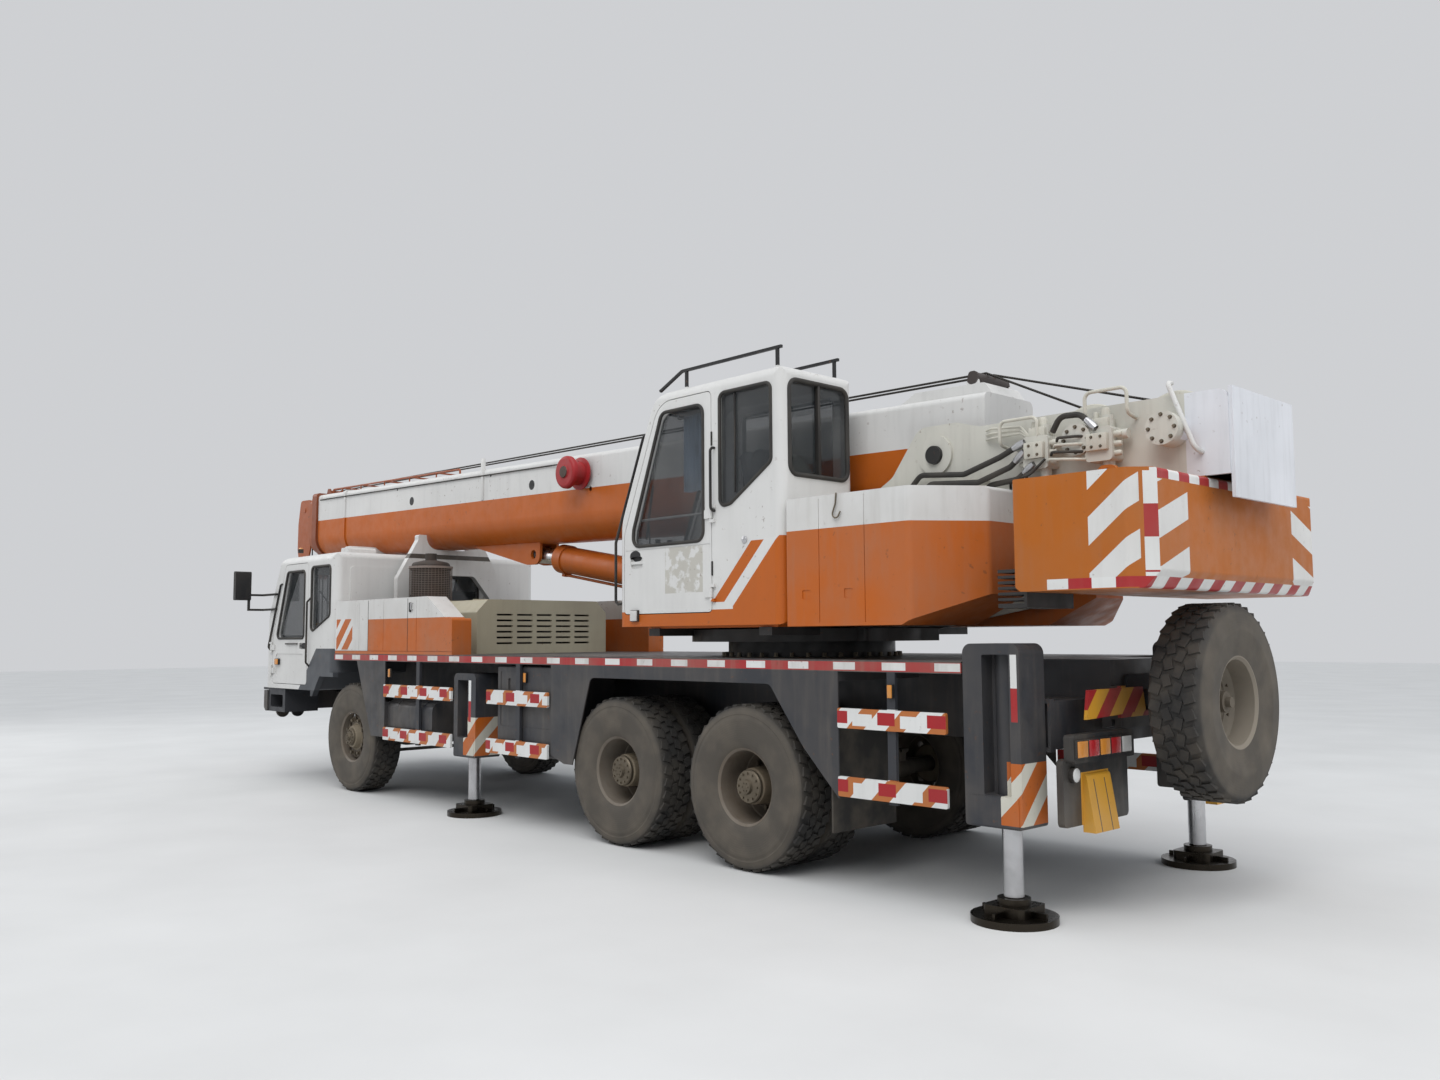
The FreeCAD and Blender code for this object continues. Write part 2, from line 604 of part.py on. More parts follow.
def engine_hood():
    """Hollow hood with bevelled edges and rows of air slots in its rear face."""
    outline = [(-S.hood_half, S.deck_top), (S.hood_half, S.deck_top), (S.hood_half, S.hood_top - 120, 30),
               (S.hood_half - 120, S.hood_top, 30), (120 - S.hood_half, S.hood_top, 30),
               (-S.hood_half, S.hood_top - 120, 30)]
    room = inset(outline, S.hood_wall)
    room[0], room[1] = (room[0][0], S.deck_top - 10), (room[1][0], S.deck_top - 10)
    tools = [prism("hood_inner", "YZ", room, (S.hood_rear + S.hood_wall, S.hood_front - S.hood_wall))]
    # Air slots: columns across the hood, rows above one another
    columns, rows, slot_width, slot_height = 5, 6, 180, 18
    for column in range(columns):
        for row in range(rows):
            y = (column - (columns - 1) / 2) * 230
            z = S.deck_top + 90 + row * 55
            tools.append(box(f"air_slot_{column}_{row}", (S.hood_rear - 10, S.hood_rear + S.hood_wall + 10),
                             (y - slot_width / 2, y + slot_width / 2), (z, z + slot_height)))
    outer = prism("hood_outer", "YZ", outline, (S.hood_rear, S.hood_front))
    ribs = [box(f"hood_rib_{index}", (x, x + 40), (160 - S.hood_half, S.hood_half - 160), (S.hood_top - 5, S.hood_top + 12))
            for index, x in enumerate((S.hood_rear + 300, S.hood_front - 340))]
    node("engine_hood", fuse("engine_hood", [cut("hood_cut", outer, tools)] + ribs))


def leaf_spring(label, x, z, across, halves, thickness, rise):
    """Arched leaves from the lowest up, all of one curve; their ends rise, or droop for a negative rise."""
    longest = max(halves)
    bend = 0.9 * longest ** 2 / abs(rise)
    leaves = []
    for index, half in enumerate(halves):
        lift = rise * (half / longest) ** 2
        low = z + index * (thickness - 1) - lift * 0.45
        leaves.append(prism(f"{label}_leaf_{index}", "XZ", [
            (x - half, low + lift), (x, low, bend), (x + half, low + lift), (x + half, low + lift + thickness),
            (x, low + thickness, bend), (x - half, low + lift + thickness)], across))
    return leaves


def engine():
    """The engine and gearbox as one block between the rails, on two mounts."""
    block = rounded_box("engine_block", "YZ", (S.hood_rear + 130, S.hood_front - 100), (-300, 300), (950, 1800), 60)
    inner = S.rail_outer - S.rail_wall
    arms = [box(f"engine_mount_{x}", (x, x + 80), (-inner, inner), (1000, 1080)) for x in (1150, 1800)]
    node("engine", fuse("engine", [block] + arms))


def muffler():
    """Upright silencer in its guard, with a domed cap and the outlet, on the deck before the hood."""
    x, y = S.hood_front + 250, S.hood_half - 340
    radius, height, pipe = 200, 950, 60
    body = doc.addObject("PartDesign::Body", "muffler_body")
    profile = [(0, S.deck_top), (radius, S.deck_top), (radius, S.deck_top + height, 40),
               (pipe, S.deck_top + height + 30), (pipe, S.deck_top + height + 100), (0, S.deck_top + height + 100)]
    sketch = outline_sketch(body, "muffler", profile)
    revolution = body.newObject("PartDesign::Revolution", "muffler_turn")
    revolution.Profile = sketch
    revolution.ReferenceAxis = (sketch, ["V_Axis"])
    revolution.Angle = 360
    body.Tip = revolution
    place(body, x, y, 0, turn=Rotation(Vector(1, 0, 0), 90))
    rings = [cylinder(f"guard_ring_{level}", "Z", (x, y, S.deck_top + level), radius + 10, 30)
             for level in (60, height / 2, height - 80)]
    node("muffler", fuse("muffler", [body] + rings))


def boom_rest():
    """Portal of folded plate with a padded notch that the boom lies in, on two feet."""
    pad = boom_underside(S.rest_x) - S.seat_gap
    foot, leg, horn = S.rest_foot_half, S.rest_leg, S.rest_horn
    notch = S.boom_half_width + 10
    shoulder, crown, horn_top = S.deck_top + 800, pad - 280, pad + 157
    outline = [
        (foot, S.deck_top), (foot, shoulder, 60), (notch + horn, horn_top - 60, 30), (notch + horn, horn_top, 20),
        (notch, horn_top, 10), (notch, pad, 140), (-notch, pad, 140), (-notch, horn_top, 10),
        (-notch - horn, horn_top, 20), (-notch - horn, horn_top - 60, 30), (-foot, shoulder, 60), (-foot, S.deck_top),
        (leg - foot, S.deck_top), (leg - foot, shoulder - 220, 60), (-notch, crown, 80), (notch, crown, 80),
        (foot - leg, shoulder - 220, 60), (foot - leg, S.deck_top)]
    pieces = [prism("rest_portal", "YZ", outline, (S.rest_x, S.rest_x + S.rest_plate))]
    for name, side in SIDES:
        pieces.append(box(f"rest_foot_{name}", (S.rest_x - 60, S.rest_x + S.rest_plate + 60),
                          span(side, foot - leg - 30, foot + 30), (S.deck_top, S.deck_top + 15)))
    node("boom_rest", fuse("boom_rest", pieces))


def boom_underside(x):
    """Lowest point of the boom base above a place on the machine, a little low at its front edge."""
    run = (sized(x) - S.boom_pin_x) * sine(S.boom_tilt) / cosine(S.boom_tilt)
    return S.boom_pin_z + run + (S.boom_rise - S.boom_half_height) / cosine(S.boom_tilt)


def cab_outline():
    """Side outline of the driver's cab above its floor and the wheel arch."""
    return [
        (S.cab_rear, S.cab_arch_top),
        (S.cab_arch_front, S.cab_arch_top, 40),
        (S.cab_arch_front + 190, S.cab_floor, 60),
        (S.cab_front, S.cab_floor),
        (S.cab_front, S.cab_waist - 60, 70),
        (S.cab_roof_front, S.cab_roof, 130),
        (S.cab_rear, S.cab_roof, 60),
    ]


def door_outline():
    """Outline of a driver's door: its front edge stands behind the sloping windscreen post."""
    return [(S.door_rear, S.door_bottom, 40), (S.door_front, S.door_bottom, 60), (S.door_front, S.cab_waist, 60),
            (S.door_top_front, S.door_top, 60), (S.door_rear, S.door_top, 40)]


def door_window():
    sill = S.cab_waist + 20
    return [(S.door_rear + 80, sill, 50), (S.door_front - 100, sill, 50), (S.door_top_front - 50, S.door_top - 80, 50),
            (S.door_rear + 80, S.door_top - 80, 50)]


def quarter_window():
    """Side window behind the door, with a sill that rises to the rear."""
    rear, front, top = S.cab_rear + 95, S.door_rear - 90, S.door_top - 50
    return [(rear, S.cab_waist + 260, 50), (front, S.cab_waist + 80, 50), (front, top, 50), (rear, top, 50)]


def rear_window():
    half = S.rear_window_half
    return rounded([(-half, S.cab_waist + 210), (half, S.cab_waist + 210), (half, S.door_top - 80),
                    (-half, S.door_top - 80)], 60)


def windscreen_opening():
    low, high = S.cab_waist + 40, S.cab_roof - 130
    return rounded([(-1100, low), (1100, low), (1040, high), (-1040, high)], 70)


def hinge_arms(label, x, y, z, reach, depth):
    """A door hinge's fixed half: a standing pin held by two arms from the door post."""
    pieces = [cylinder(f"{label}_pin", "Z", (x, y, z - 60), S.hinge_pin_radius, 120)]
    for name, low in (("low", -60), ("high", 40)):
        pieces.append(box(f"{label}_{name}", reach, depth, (z + low, z + low + 20)))
    return pieces


def around(label, count, radius, centre, hole_radius, length):
    """A ring of round tools along Y about a centre."""
    tools = []
    for index in range(count):
        angle = 2 * math.pi * index / count
        tools.append(cylinder(f"{label}_{index}", "Y", (centre[0] + radius * math.cos(angle), centre[1] - length / 2,
                                                        centre[2] + radius * math.sin(angle)), hole_radius, length))
    return tools


def driver_cab():
    """Moulded shell with cut windows and doorways, steps below the doors, and its fixed hinge halves."""
    wall, gap = S.cab_wall, S.move_gap
    across, along = (-S.deck_half, S.deck_half), (S.cab_rear, S.cab_front)
    outer = moulded("driver_cab_outer", cab_outline(), along, across, (S.cab_bottom, S.cab_roof), 200, 90, 85)
    hollow = moulded("driver_cab_hollow", inset(cab_outline(), wall), (S.cab_rear + wall, S.cab_front - wall),
                     (-S.deck_half + wall, S.deck_half - wall), (S.cab_bottom, S.cab_roof - wall), 140, 30, 25)
    step_front = S.cab_front - S.bumper_depth
    step = [(S.cab_step_rear, S.cab_floor + 5), (S.cab_step_rear, S.cab_bottom), (step_front, S.cab_bottom),
            (step_front, S.bumper_top + 10), (S.cab_front - 20, S.bumper_top + 10), (S.cab_front - 20, S.cab_floor + 5)]
    tread = [(S.cab_step_rear + 60, S.cab_bottom + 50, 20), (step_front - 60, S.cab_bottom + 50, 20),
             (step_front - 60, S.cab_bottom + 190, 20), (S.cab_step_rear + 60, S.cab_bottom + 190, 20)]
    shell, tools = [outer], [hollow]
    for name, side in SIDES:
        shell.append(prism(f"cab_step_{name}", "XZ", step, span(side, S.deck_half - 400, S.deck_half - 15)))
        tools.append(prism(f"cab_tread_{name}", "XZ", tread, span(side, S.deck_half - 160, S.deck_half + 5)))
        through = span(side, S.deck_half - wall - 10, S.deck_half + 10)
        tools.append(prism(f"door_opening_{name}", "XZ", inset(door_outline(), -gap), through))
        tools.append(prism(f"quarter_opening_{name}", "XZ", quarter_window(), through))
    tools.append(prism("rear_window_opening", "YZ", rear_window(), (S.cab_rear - 10, S.cab_rear + wall + 10)))
    tools.append(prism("windscreen_opening", "YZ", windscreen_opening(), (S.cab_roof_front + 20, S.cab_front + 10)))
    body = cut("driver_cab_cut", fuse("driver_cab_outside", shell), tools)
    trim = []
    # Pressed panels of the rear wall, the lamp box on the roof, and the wheel arch lips
    for index, (low, high) in enumerate(((-1080, -560), (560, 1080))):
        trim.append(rounded_box(f"rear_panel_{index}", "YZ", (S.cab_rear - 8, S.cab_rear + 5), (low, high),
                                (S.cab_arch_top + 120, S.door_top - 60), 40))
    trim.append(rounded_box("rear_panel_low", "YZ", (S.cab_rear - 8, S.cab_rear + 5), (-480, 480),
                            (S.cab_arch_top + 120, S.cab_waist + 130), 40))
    trim.append(rounded_box("roof_lamp_box", "XZ", (S.cab_rear + 300, S.cab_rear + 480), (640, 960),
                            (S.cab_roof - 5, S.cab_roof + 75), 25))
    lip = [(S.cab_rear, S.cab_arch_top), (S.cab_arch_front, S.cab_arch_top), (S.cab_arch_front + 190, S.cab_floor),
           (S.cab_arch_front + 190, S.cab_floor - 60), (S.cab_arch_front + 150, S.cab_floor - 60),
           (S.cab_arch_front - 20, S.cab_arch_top - 45), (S.cab_rear, S.cab_arch_top - 45)]
    for name, side in SIDES:
        trim.append(prism(f"arch_lip_{name}", "XZ", lip, span(side, S.deck_half - 60, S.deck_half)))
    for name, side in SIDES:
        hinge_y = side * (S.deck_half + S.hinge_offset)
        for z in DOOR_HINGES:
            arms = (S.door_front + gap, S.door_front + gap + 40)
            trim += hinge_arms(f"cab_hinge_{name}_{z}", S.door_front + gap, hinge_y, z, arms,
                               span(side, S.deck_half - 5, S.deck_half + S.hinge_offset + S.hinge_pin_radius))
    node("driver_cab", fuse("driver_cab", [body] + trim))


def driver_doors():
    """Doors with their windows cut, a pressed lower panel, a handle, and the turning hinge halves."""
    leaf = S.hinge_leaf_half
    for name, side in SIDES:
        face = S.deck_half
        panel = prism(f"door_panel_{name}", "XZ", door_outline(), span(side, face - S.cab_wall, face))
        low_field = inset([(S.door_rear, S.door_bottom), (S.door_front, S.door_bottom), (S.door_front, S.cab_waist - 60),
                           (S.door_rear, S.cab_waist - 60)], 90)
        door = cut(f"door_cut_{name}", panel, [
            prism(f"door_window_{name}", "XZ", door_window(), span(side, face - S.cab_wall - 5, face + 5)),
            prism(f"door_field_{name}", "XZ", rounded(low_field, 40), span(side, face - 6, face + 5)),
            rounded_box(f"handle_dish_{name}", "XZ", (S.door_rear + 40, S.door_rear + 200),
                        span(side, face - 25, face + 5), (S.cab_waist - 95, S.cab_waist - 30), 20),
        ])
        pieces = [door, rounded_box(f"door_handle_{name}", "XZ", (S.door_rear + 35, S.door_rear + 205),
                                    span(side, face - 12, face - 2), (S.cab_waist - 72, S.cab_waist - 52), 9)]
        bores = []
        hinge_x = S.door_front + S.move_gap
        hinge_y = side * (face + S.hinge_offset)
        for z in DOOR_HINGES:
            pieces.append(box(f"door_leaf_{name}_{z}", (S.door_front - 60, hinge_x),
                              span(side, face - 8, face + S.hinge_offset), (z - leaf, z + leaf)))
            pieces.append(cylinder(f"door_knuckle_{name}_{z}", "Z", (hinge_x, hinge_y, z - leaf),
                                   S.hinge_knuckle_radius, leaf * 2))
            bores.append(cylinder(f"door_bore_{name}_{z}", "Z", (hinge_x, hinge_y, z - leaf - 1),
                                  S.hinge_pin_radius + S.pin_fit, leaf * 2 + 2))
        node(f"driver_door_{name}", cut(f"driver_door_{name}", fuse(f"door_solid_{name}", pieces), bores))


def driver_cab_glass():
    """Windscreen, rear window and the two quarter windows."""
    t, clear, depth = S.glass_wall, S.seat_gap, sized(30)
    slope = (S.cab_front - S.cab_roof_front) / (S.cab_roof - S.cab_waist + 60)

    def screen_x(z):
        return S.cab_front - slope * (z - S.cab_waist + 60) - depth
    low, high = S.cab_waist + 20, S.cab_roof - 110
    slab = prism("windscreen_slab", "XZ", [(screen_x(low), low), (screen_x(low) + t, low), (screen_x(high) + t, high),
                                           (screen_x(high), high)], (-1200, 1200))
    face = prism("windscreen_face", "YZ", inset(windscreen_opening(), clear), (S.cab_roof_front - 100, S.cab_front))
    panes = [common("windscreen", [slab, face]),
             window_pane("rear_pane", "YZ", rear_window(), (S.cab_rear + 20, S.cab_rear + 20 + t))]
    for name, side in SIDES:
        panes.append(window_pane(f"quarter_{name}", "XZ", quarter_window(),
                                 span(side, S.deck_half - depth, S.deck_half - depth + t)))
    node("driver_cab_glass", group("driver_cab_glass", panes))


def driver_cab_interior():
    """Two seats on the floor, the dashboard and the steering wheel on its column."""
    floor = S.cab_floor + S.cab_wall
    base, back = S.cab_rear + 675, S.cab_rear + 575
    seat = [(base, floor), (base + 400, floor), (base + 400, floor + 260, 20), (base + 480, floor + 300, 40),
            (base + 480, floor + 410, 50), (base + 150, floor + 390, 40), (back + 90, floor + 1050, 40),
            (back, floor + 1050, 40), (base - 10, floor + 300, 60)]
    pieces = [prism(f"seat_{name}", "XZ", seat, span(side, 380, 880)) for name, side in SIDES]
    dash_rear, dash_front = S.cab_front - 290, S.cab_front - 70
    dash_top = S.cab_waist - 60
    dash = [(dash_rear, floor), (dash_front, floor), (dash_front, dash_top, 20), (dash_front - 80, dash_top + 30, 30),
            (dash_rear, dash_top - 40, 60)]
    board = prism("dashboard", "XZ", dash, (-1100, 1100))
    wheel_x, wheel_y, wheel_z = dash_rear - 190, 630, dash_top - 20
    tilt = 25
    column = cylinder("steering_column", "X", (wheel_x, wheel_y, wheel_z), 25, 240)
    column.Placement = Placement(column.Placement.Base, Rotation(Vector(0, 1, 0), 90 + tilt))
    place(column, wheel_x, wheel_y, wheel_z)
    ring = doc.addObject("Part::Torus", "steering_ring")
    bind(ring, Radius1=220, Radius2=14)
    place(ring, wheel_x, wheel_y, wheel_z, turn=Rotation(Vector(0, 1, 0), -tilt))
    hub = cylinder("steering_hub", "Y", (wheel_x, wheel_y - 215, wheel_z), 12, 430)
    pieces.append(fuse("dashboard_set", [board, column, ring, hub]))
    node("driver_cab_interior", group("driver_cab_interior", pieces))


def front_bumper():
    """Bumper with its tow slot and pin, recessed fields and four round lamps."""
    back, face, top = S.cab_front - S.bumper_depth, S.cab_front + 30, S.bumper_top
    plan = [(back, -S.deck_half), (face, -S.deck_half, 120), (face, S.deck_half, 120), (back, S.deck_half)]
    pieces = [prism("bumper_bar", "XY", plan, (S.cab_bottom, top))]
    for name, side in SIDES:
        for index, y in enumerate((700, 900)):
            pieces.append(cylinder(f"headlamp_{name}_{index}", "X", (face - 20, side * y, S.cab_bottom + 145), 70, 28))
    # The outer ends are cut away below, on both sides of the tow pin
    wedge = [(back + 40, S.cab_bottom - 5), (face + 10, S.cab_bottom - 5), (face + 10, S.cab_bottom + 120)]
    tools = [prism(f"bumper_wedge_{name}", "XZ", wedge, span(side, 600, S.deck_half + 5)) for name, side in SIDES]
    tools += [
        rounded_box("tow_slot", "YZ", (S.cab_front - 60, face + 10), (-90, 90), (S.cab_bottom + 80, S.cab_bottom + 150), 20),
        cylinder("tow_bore", "Z", (S.cab_front - 10, 0, S.cab_bottom - 5), 20, 240),
    ]
    node("front_bumper", cut("front_bumper", fuse("bumper_solid", pieces), tools))


def mirrors():
    """Mirror heads on tubular brackets from the front posts of the cab."""
    tube = 24
    foot_x, bar_x, out = S.cab_front - 380, S.cab_front - 10, S.deck_half + 190
    pieces = []
    for name, side in SIDES:
        head_low, head_high, post_low = S.cab_roof - 470, S.cab_roof - 140, S.cab_roof - 590
        head = [(bar_x - 10, head_low), (bar_x + 55, head_low), (bar_x + 55, head_high), (bar_x - 10, head_high)]
        parts = [prism(f"mirror_head_{name}", "XZ", rounded(head, 20), span(side, out - 30, out + 150)),
                 box(f"mirror_post_{name}", (bar_x, bar_x + tube), span(side, out - tube, out), (post_low, head_low + 60))]
        for index, level in enumerate((post_low, head_low + 50)):
            parts.append(box(f"mirror_arm_{name}_{index}", (foot_x, bar_x + tube),
                             span(side, S.deck_half, S.deck_half + tube), (level, level + tube)))
            parts.append(box(f"mirror_bar_{name}_{index}", (bar_x, bar_x + tube), span(side, S.deck_half, out),
                             (level, level + tube)))
        pieces.append(fuse(f"mirror_{name}", parts))
    node("mirrors", group("mirrors", pieces))


def front_axle():
    """Dropped I-beam with its kingpins, on two arched leaf springs below the rails."""
    x, z, reach = S.front_axle_x, S.tyre_radius, S.kingpin_y
    beam = [(-reach, z - 50), (-reach + 150, z - 50, 60), (-reach + 260, z - 120, 60), (reach - 260, z - 120, 60),
            (reach - 150, z - 50, 60), (reach, z - 50), (reach, z + 50), (reach - 150, z + 50, 60),
            (reach - 260, z - 20, 60), (-reach + 260, z - 20, 60), (-reach + 150, z + 50, 60), (-reach, z + 50)]
    web_cut = [(-reach + 300, z - 98), (reach - 300, z - 98), (reach - 300, z - 42), (-reach + 300, z - 42)]
    pieces = [cut("front_beam", prism("front_beam_solid", "YZ", beam, (x - 50, x + 50)),
                  [prism("front_beam_web_front", "YZ", web_cut, (x + 15, x + 60)),
                   prism("front_beam_web_rear", "YZ", web_cut, (x - 60, x - 15))])]
    for name, side in SIDES:
        pieces.append(cylinder(f"kingpin_boss_{name}", "Z", (x, side * reach, z - 60), 60, 120))
        pieces.append(cylinder(f"kingpin_{name}", "Z", (x, side * reach, z - 120), S.kingpin_radius, 240))
        across = span(side, S.rail_outer - 70, S.rail_outer)
        pieces += leaf_spring(f"front_{name}", x, z - 20, across, (380, 490, 600, 720), 18, 45)
        for hanger, at, ceiling in (("front", x + 690, 690), ("rear", x - 740, S.frame_bottom)):
            pieces.append(box(f"front_hanger_{name}_{hanger}", (at, at + 50), across, (z + 65, ceiling)))
            pieces.append(cylinder(f"spring_eye_{name}_{hanger}", "Y", (at + 25, across[0], z + 85), 32, across[1] - across[0]))
    node("front_axle", fuse("front_axle", pieces))


def knuckles():
    """Steering knuckles: two ears on the kingpin, the spindle and a short arm to the rear."""
    x, z = S.front_axle_x, S.tyre_radius
    ear_low, ear_high = z + 60 + S.move_gap, z + 120
    for name, side in SIDES:
        y = side * S.kingpin_y
        outboard = span(side, S.kingpin_y, S.kingpin_y + 110)
        pieces = []
        for level, low, high in (("upper", ear_low, ear_high), ("lower", z - 120, z - 60 - S.move_gap)):
            pieces.append(cylinder(f"ear_{name}_{level}", "Z", (x, y, low), 55, high - low))
            pieces.append(box(f"ear_web_{name}_{level}", (x - 50, x + 50), outboard, (low, high)))
        pieces.append(box(f"knuckle_web_{name}", (x - 70, x + 70),
                          span(side, S.kingpin_y + 70, S.kingpin_y + 110), (z - 120, z + 120)))
        start = S.kingpin_y + 100 if side > 0 else -S.kingpin_y - 320
        pieces.append(cylinder(f"spindle_{name}", "Y", (x, start, z), S.spindle_radius, 220))
        pieces.append(box(f"steering_arm_{name}", (x - 260, x - 20), span(side, S.kingpin_y - 25, S.kingpin_y + 25),
                          (z - 120, z - 90)))
        pieces.append(cylinder(f"arm_pin_{name}", "Z", (x - 240, y, z - 160), 12, 60))
        bore = cylinder(f"kingpin_bore_{name}", "Z", (x, y, z - 130), S.kingpin_radius + S.pin_fit, 260)
        node(f"knuckle_{name}", cut(f"knuckle_{name}", fuse(f"knuckle_solid_{name}", pieces), [bore]))
    ends = []
    for name, side in SIDES:
        ends.append(cylinder(f"rod_end_{name}", "Z", (x - 240, side * S.kingpin_y, z - 160), 28, 34))
    bar = box("tie_bar", (x - 255, x - 225), (-S.kingpin_y, S.kingpin_y), (z - 158, z - 128))
    bores = [cylinder(f"rod_bore_{name}", "Z", (x - 240, side * S.kingpin_y, z - 170), 12 + S.pin_fit, 60)
             for name, side in SIDES]
    node("tie_rod", cut("tie_rod", fuse("tie_rod_solid", ends + [bar]), bores))


def rear_axles():
    """Two driven axles on one pair of rocking springs, hung from a trunnion, with the propeller shaft."""
    z = S.tyre_radius
    end = S.dual_outer_y - S.dual_spacing - S.tyre_width / 2 - 40
    pieces = []
    for label, x in (("middle", S.middle_axle_x), ("rear", S.rear_axle_x)):
        neck = end * 0.62
        casing = [(0, -end), (75, -end), (75, -neck, 60), (190, neck * -0.45, 90), (190, neck * 0.45, 90), (75, neck, 60),
                  (75, end), (0, end)]
        pieces.append(turned(f"{label}_casing", casing, (x, 0, z)))
        pieces.append(cylinder(f"{label}_ends", "Y", (x, -S.dual_outer_y, z), S.axle_end_radius, S.dual_outer_y * 2))
        pieces.append(cylinder(f"{label}_nose", "X", (x, 0, z + 40), 110, 330))
        for name, side in SIDES:
            pieces.append(box(f"{label}_seat_{name}", (x - 80, x + 80), span(side, S.rail_outer - 80, S.rail_outer),
                              (z + 55, z + 135)))
    middle = (S.middle_axle_x + S.rear_axle_x) / 2
    for name, side in SIDES:
        across = span(side, S.rail_outer - 80, S.rail_outer)
        pieces += leaf_spring(f"rear_{name}", middle, z + 140, across, (780, 640, 500, 360), 22, -30)
        hanger = [(middle - 200, S.frame_bottom), (middle - 130, z + 215), (middle + 130, z + 215),
                  (middle + 200, S.frame_bottom)]
        pieces.append(prism(f"trunnion_{name}", "XZ", hanger, across))
        pieces.append(cylinder(f"trunnion_hub_{name}", "Y", (middle, across[0] - 30, z + 250), 90, across[1] - across[0] + 60))
    shaft_rear, shaft_front = S.middle_axle_x + 320, S.hood_rear + 115
    rise = 300
    run = shaft_front - shaft_rear
    length = math.hypot(run.value, rise)
    shaft = cylinder("propeller_shaft", "X", (shaft_rear, 0, z + 40), 45, length)
    shaft.Placement = Placement(shaft.Placement.Base, Rotation(Vector(0, 1, 0), 90 - math.degrees(math.asin(rise / length))))
    pieces.append(place(shaft, shaft_rear, 0, z + 40))
    node("rear_axles", fuse("rear_axles", pieces))


def tyre(label, x, y):
    """A tyre as a closed ring with bulged walls and a flat tread."""
    half, tread = S.tyre_width / 2, S.tread_width / 2
    bead = S.bead_radius + S.seat_gap
    outline = [(bead, -130), (bead + 150, -half, 60), (S.tyre_radius - 22, -half + 14, 12), (S.tyre_radius, -tread),
               (S.tyre_radius, tread), (S.tyre_radius - 22, half - 14, 12), (bead + 150, half, 60), (bead, 130)]
    return turned(label, outline, (x, y, S.tyre_radius))


def rim_outline(depth, face, bore, dish):
    """Half section of a rim: barrel, disc at an offset along the axle, and its hub."""
    r = S.bead_radius
    return [(bore, face - 60), (110, face - 60), (130, face - dish), (r - 20, depth - 30), (r - 20, -132),
            (r, -132), (r, 132), (r - 20, 132), (r - 20, depth), (150, face + 10 - dish), (130, face + 30),
            (bore, face + 30)]


def wheels():
    """Dished steel rims with their hand holes, and their tyres; twin rims stand back to back."""
    z, r = S.tyre_radius, S.bead_radius
    for name, side in SIDES:
        y = side * S.front_wheel_y
        bore = S.spindle_radius + S.pin_fit
        outline = [(bore, 30), (120, 30), (125, 66), (200, 66, 20), (r - 16, 20), (r - 16, -118), (r, -131), (r, 131),
                   (r - 16, 118), (r - 16, 44), (205, 84, 20), (125, 84), (105, 135, 10), (bore, 135)]
        rim = turned(f"front_rim_turned_{name}", outline, (S.front_axle_x, y, z), mirror=side)
        holes = around(f"front_rim_hole_{name}", HAND_HOLES, 176, (S.front_axle_x, y, z), S.hand_hole_radius, sized(300))
        node(f"front_rim_{name}", cut(f"front_rim_{name}", rim, holes))
        node(f"front_tyre_{name}", tyre(f"front_tyre_{name}", S.front_axle_x, y))
    for label, x in (("middle", S.middle_axle_x), ("rear", S.rear_axle_x)):
        for name, side in SIDES:
            bore, gap = S.axle_end_radius + S.pin_fit, S.dual_spacing
            meet = -gap / 2
            outline = [(bore, meet - 80), (150, meet - 80), (150, meet - 12), (205, meet - 12, 20), (r - 16, meet - 60),
                       (r - 16, -gap - 118), (r, -gap - 131), (r, 131), (r - 16, 118), (r - 16, meet + 60),
                       (205, meet + 12, 20), (150, meet + 12), (130, meet + 40, 10), (120, 60, 10), (bore, 75)]
            centre = (x, side * S.dual_outer_y, z)
            rims = turned(f"{label}_rims_turned_{name}", outline, centre, mirror=side)
            holes = around(f"{label}_rim_hole_{name}", HAND_HOLES, 182, (x, side * (S.dual_outer_y + meet), z),
                           S.hand_hole_radius, sized(160))
            node(f"{label}_rims_{name}", cut(f"{label}_rims_{name}", rims, holes))
            pair = [tyre(f"{label}_tyre_{name}_{place_name}", x, side * y) for place_name, y in
                    (("outer", S.dual_outer_y), ("inner", S.dual_outer_y - gap))]
            node(f"{label}_tyres_{name}", group(f"{label}_tyres_{name}", pair))


def spare_wheel():
    """Spare wheel standing across the tail, clamped on a post."""
    half, tread, r, rim = S.tyre_width / 2, S.tread_width / 2, S.tyre_radius, S.bead_radius
    outline = [(60, -60), (205, -60, 20), (rim - 16, -20), (rim - 16, -118), (rim, -131), (rim + 150, -half, 60),
               (r - 22, 14 - half, 12), (r, -tread), (r, tread), (r - 22, half - 14, 12), (rim + 150, half, 60),
               (rim, 131), (rim - 16, 118), (rim - 16, 4), (205, -42, 20), (130, -42), (110, 0), (60, 0)]
    x, y, z = S.frame_rear - 290 - half, 60, 1160
    wheel = cut("spare_wheel_cut", turned("spare_wheel_solid", outline, (0, 0, 0)),
                around("spare_hole", HAND_HOLES, 176, (0, 0, 0), S.hand_hole_radius, sized(300)))
    wheel.Placement = Placement(Vector(), Rotation(Vector(0, 0, 1), 90))
    place(wheel, x, y, z)
    post = cylinder("spare_post", "X", (x - 60, y, z), 60, S.frame_rear - x + 60)
    nut = cylinder("spare_nut", "X", (x - 90, y, z), 30, 60)
    plate = rounded_box("spare_plate", "YZ", (S.frame_rear - 15, S.frame_rear), (y - 200, y + 200), (z - 150, z + 150), 30)
    node("spare_wheel", fuse("spare_wheel", [wheel, post, nut, plate]))


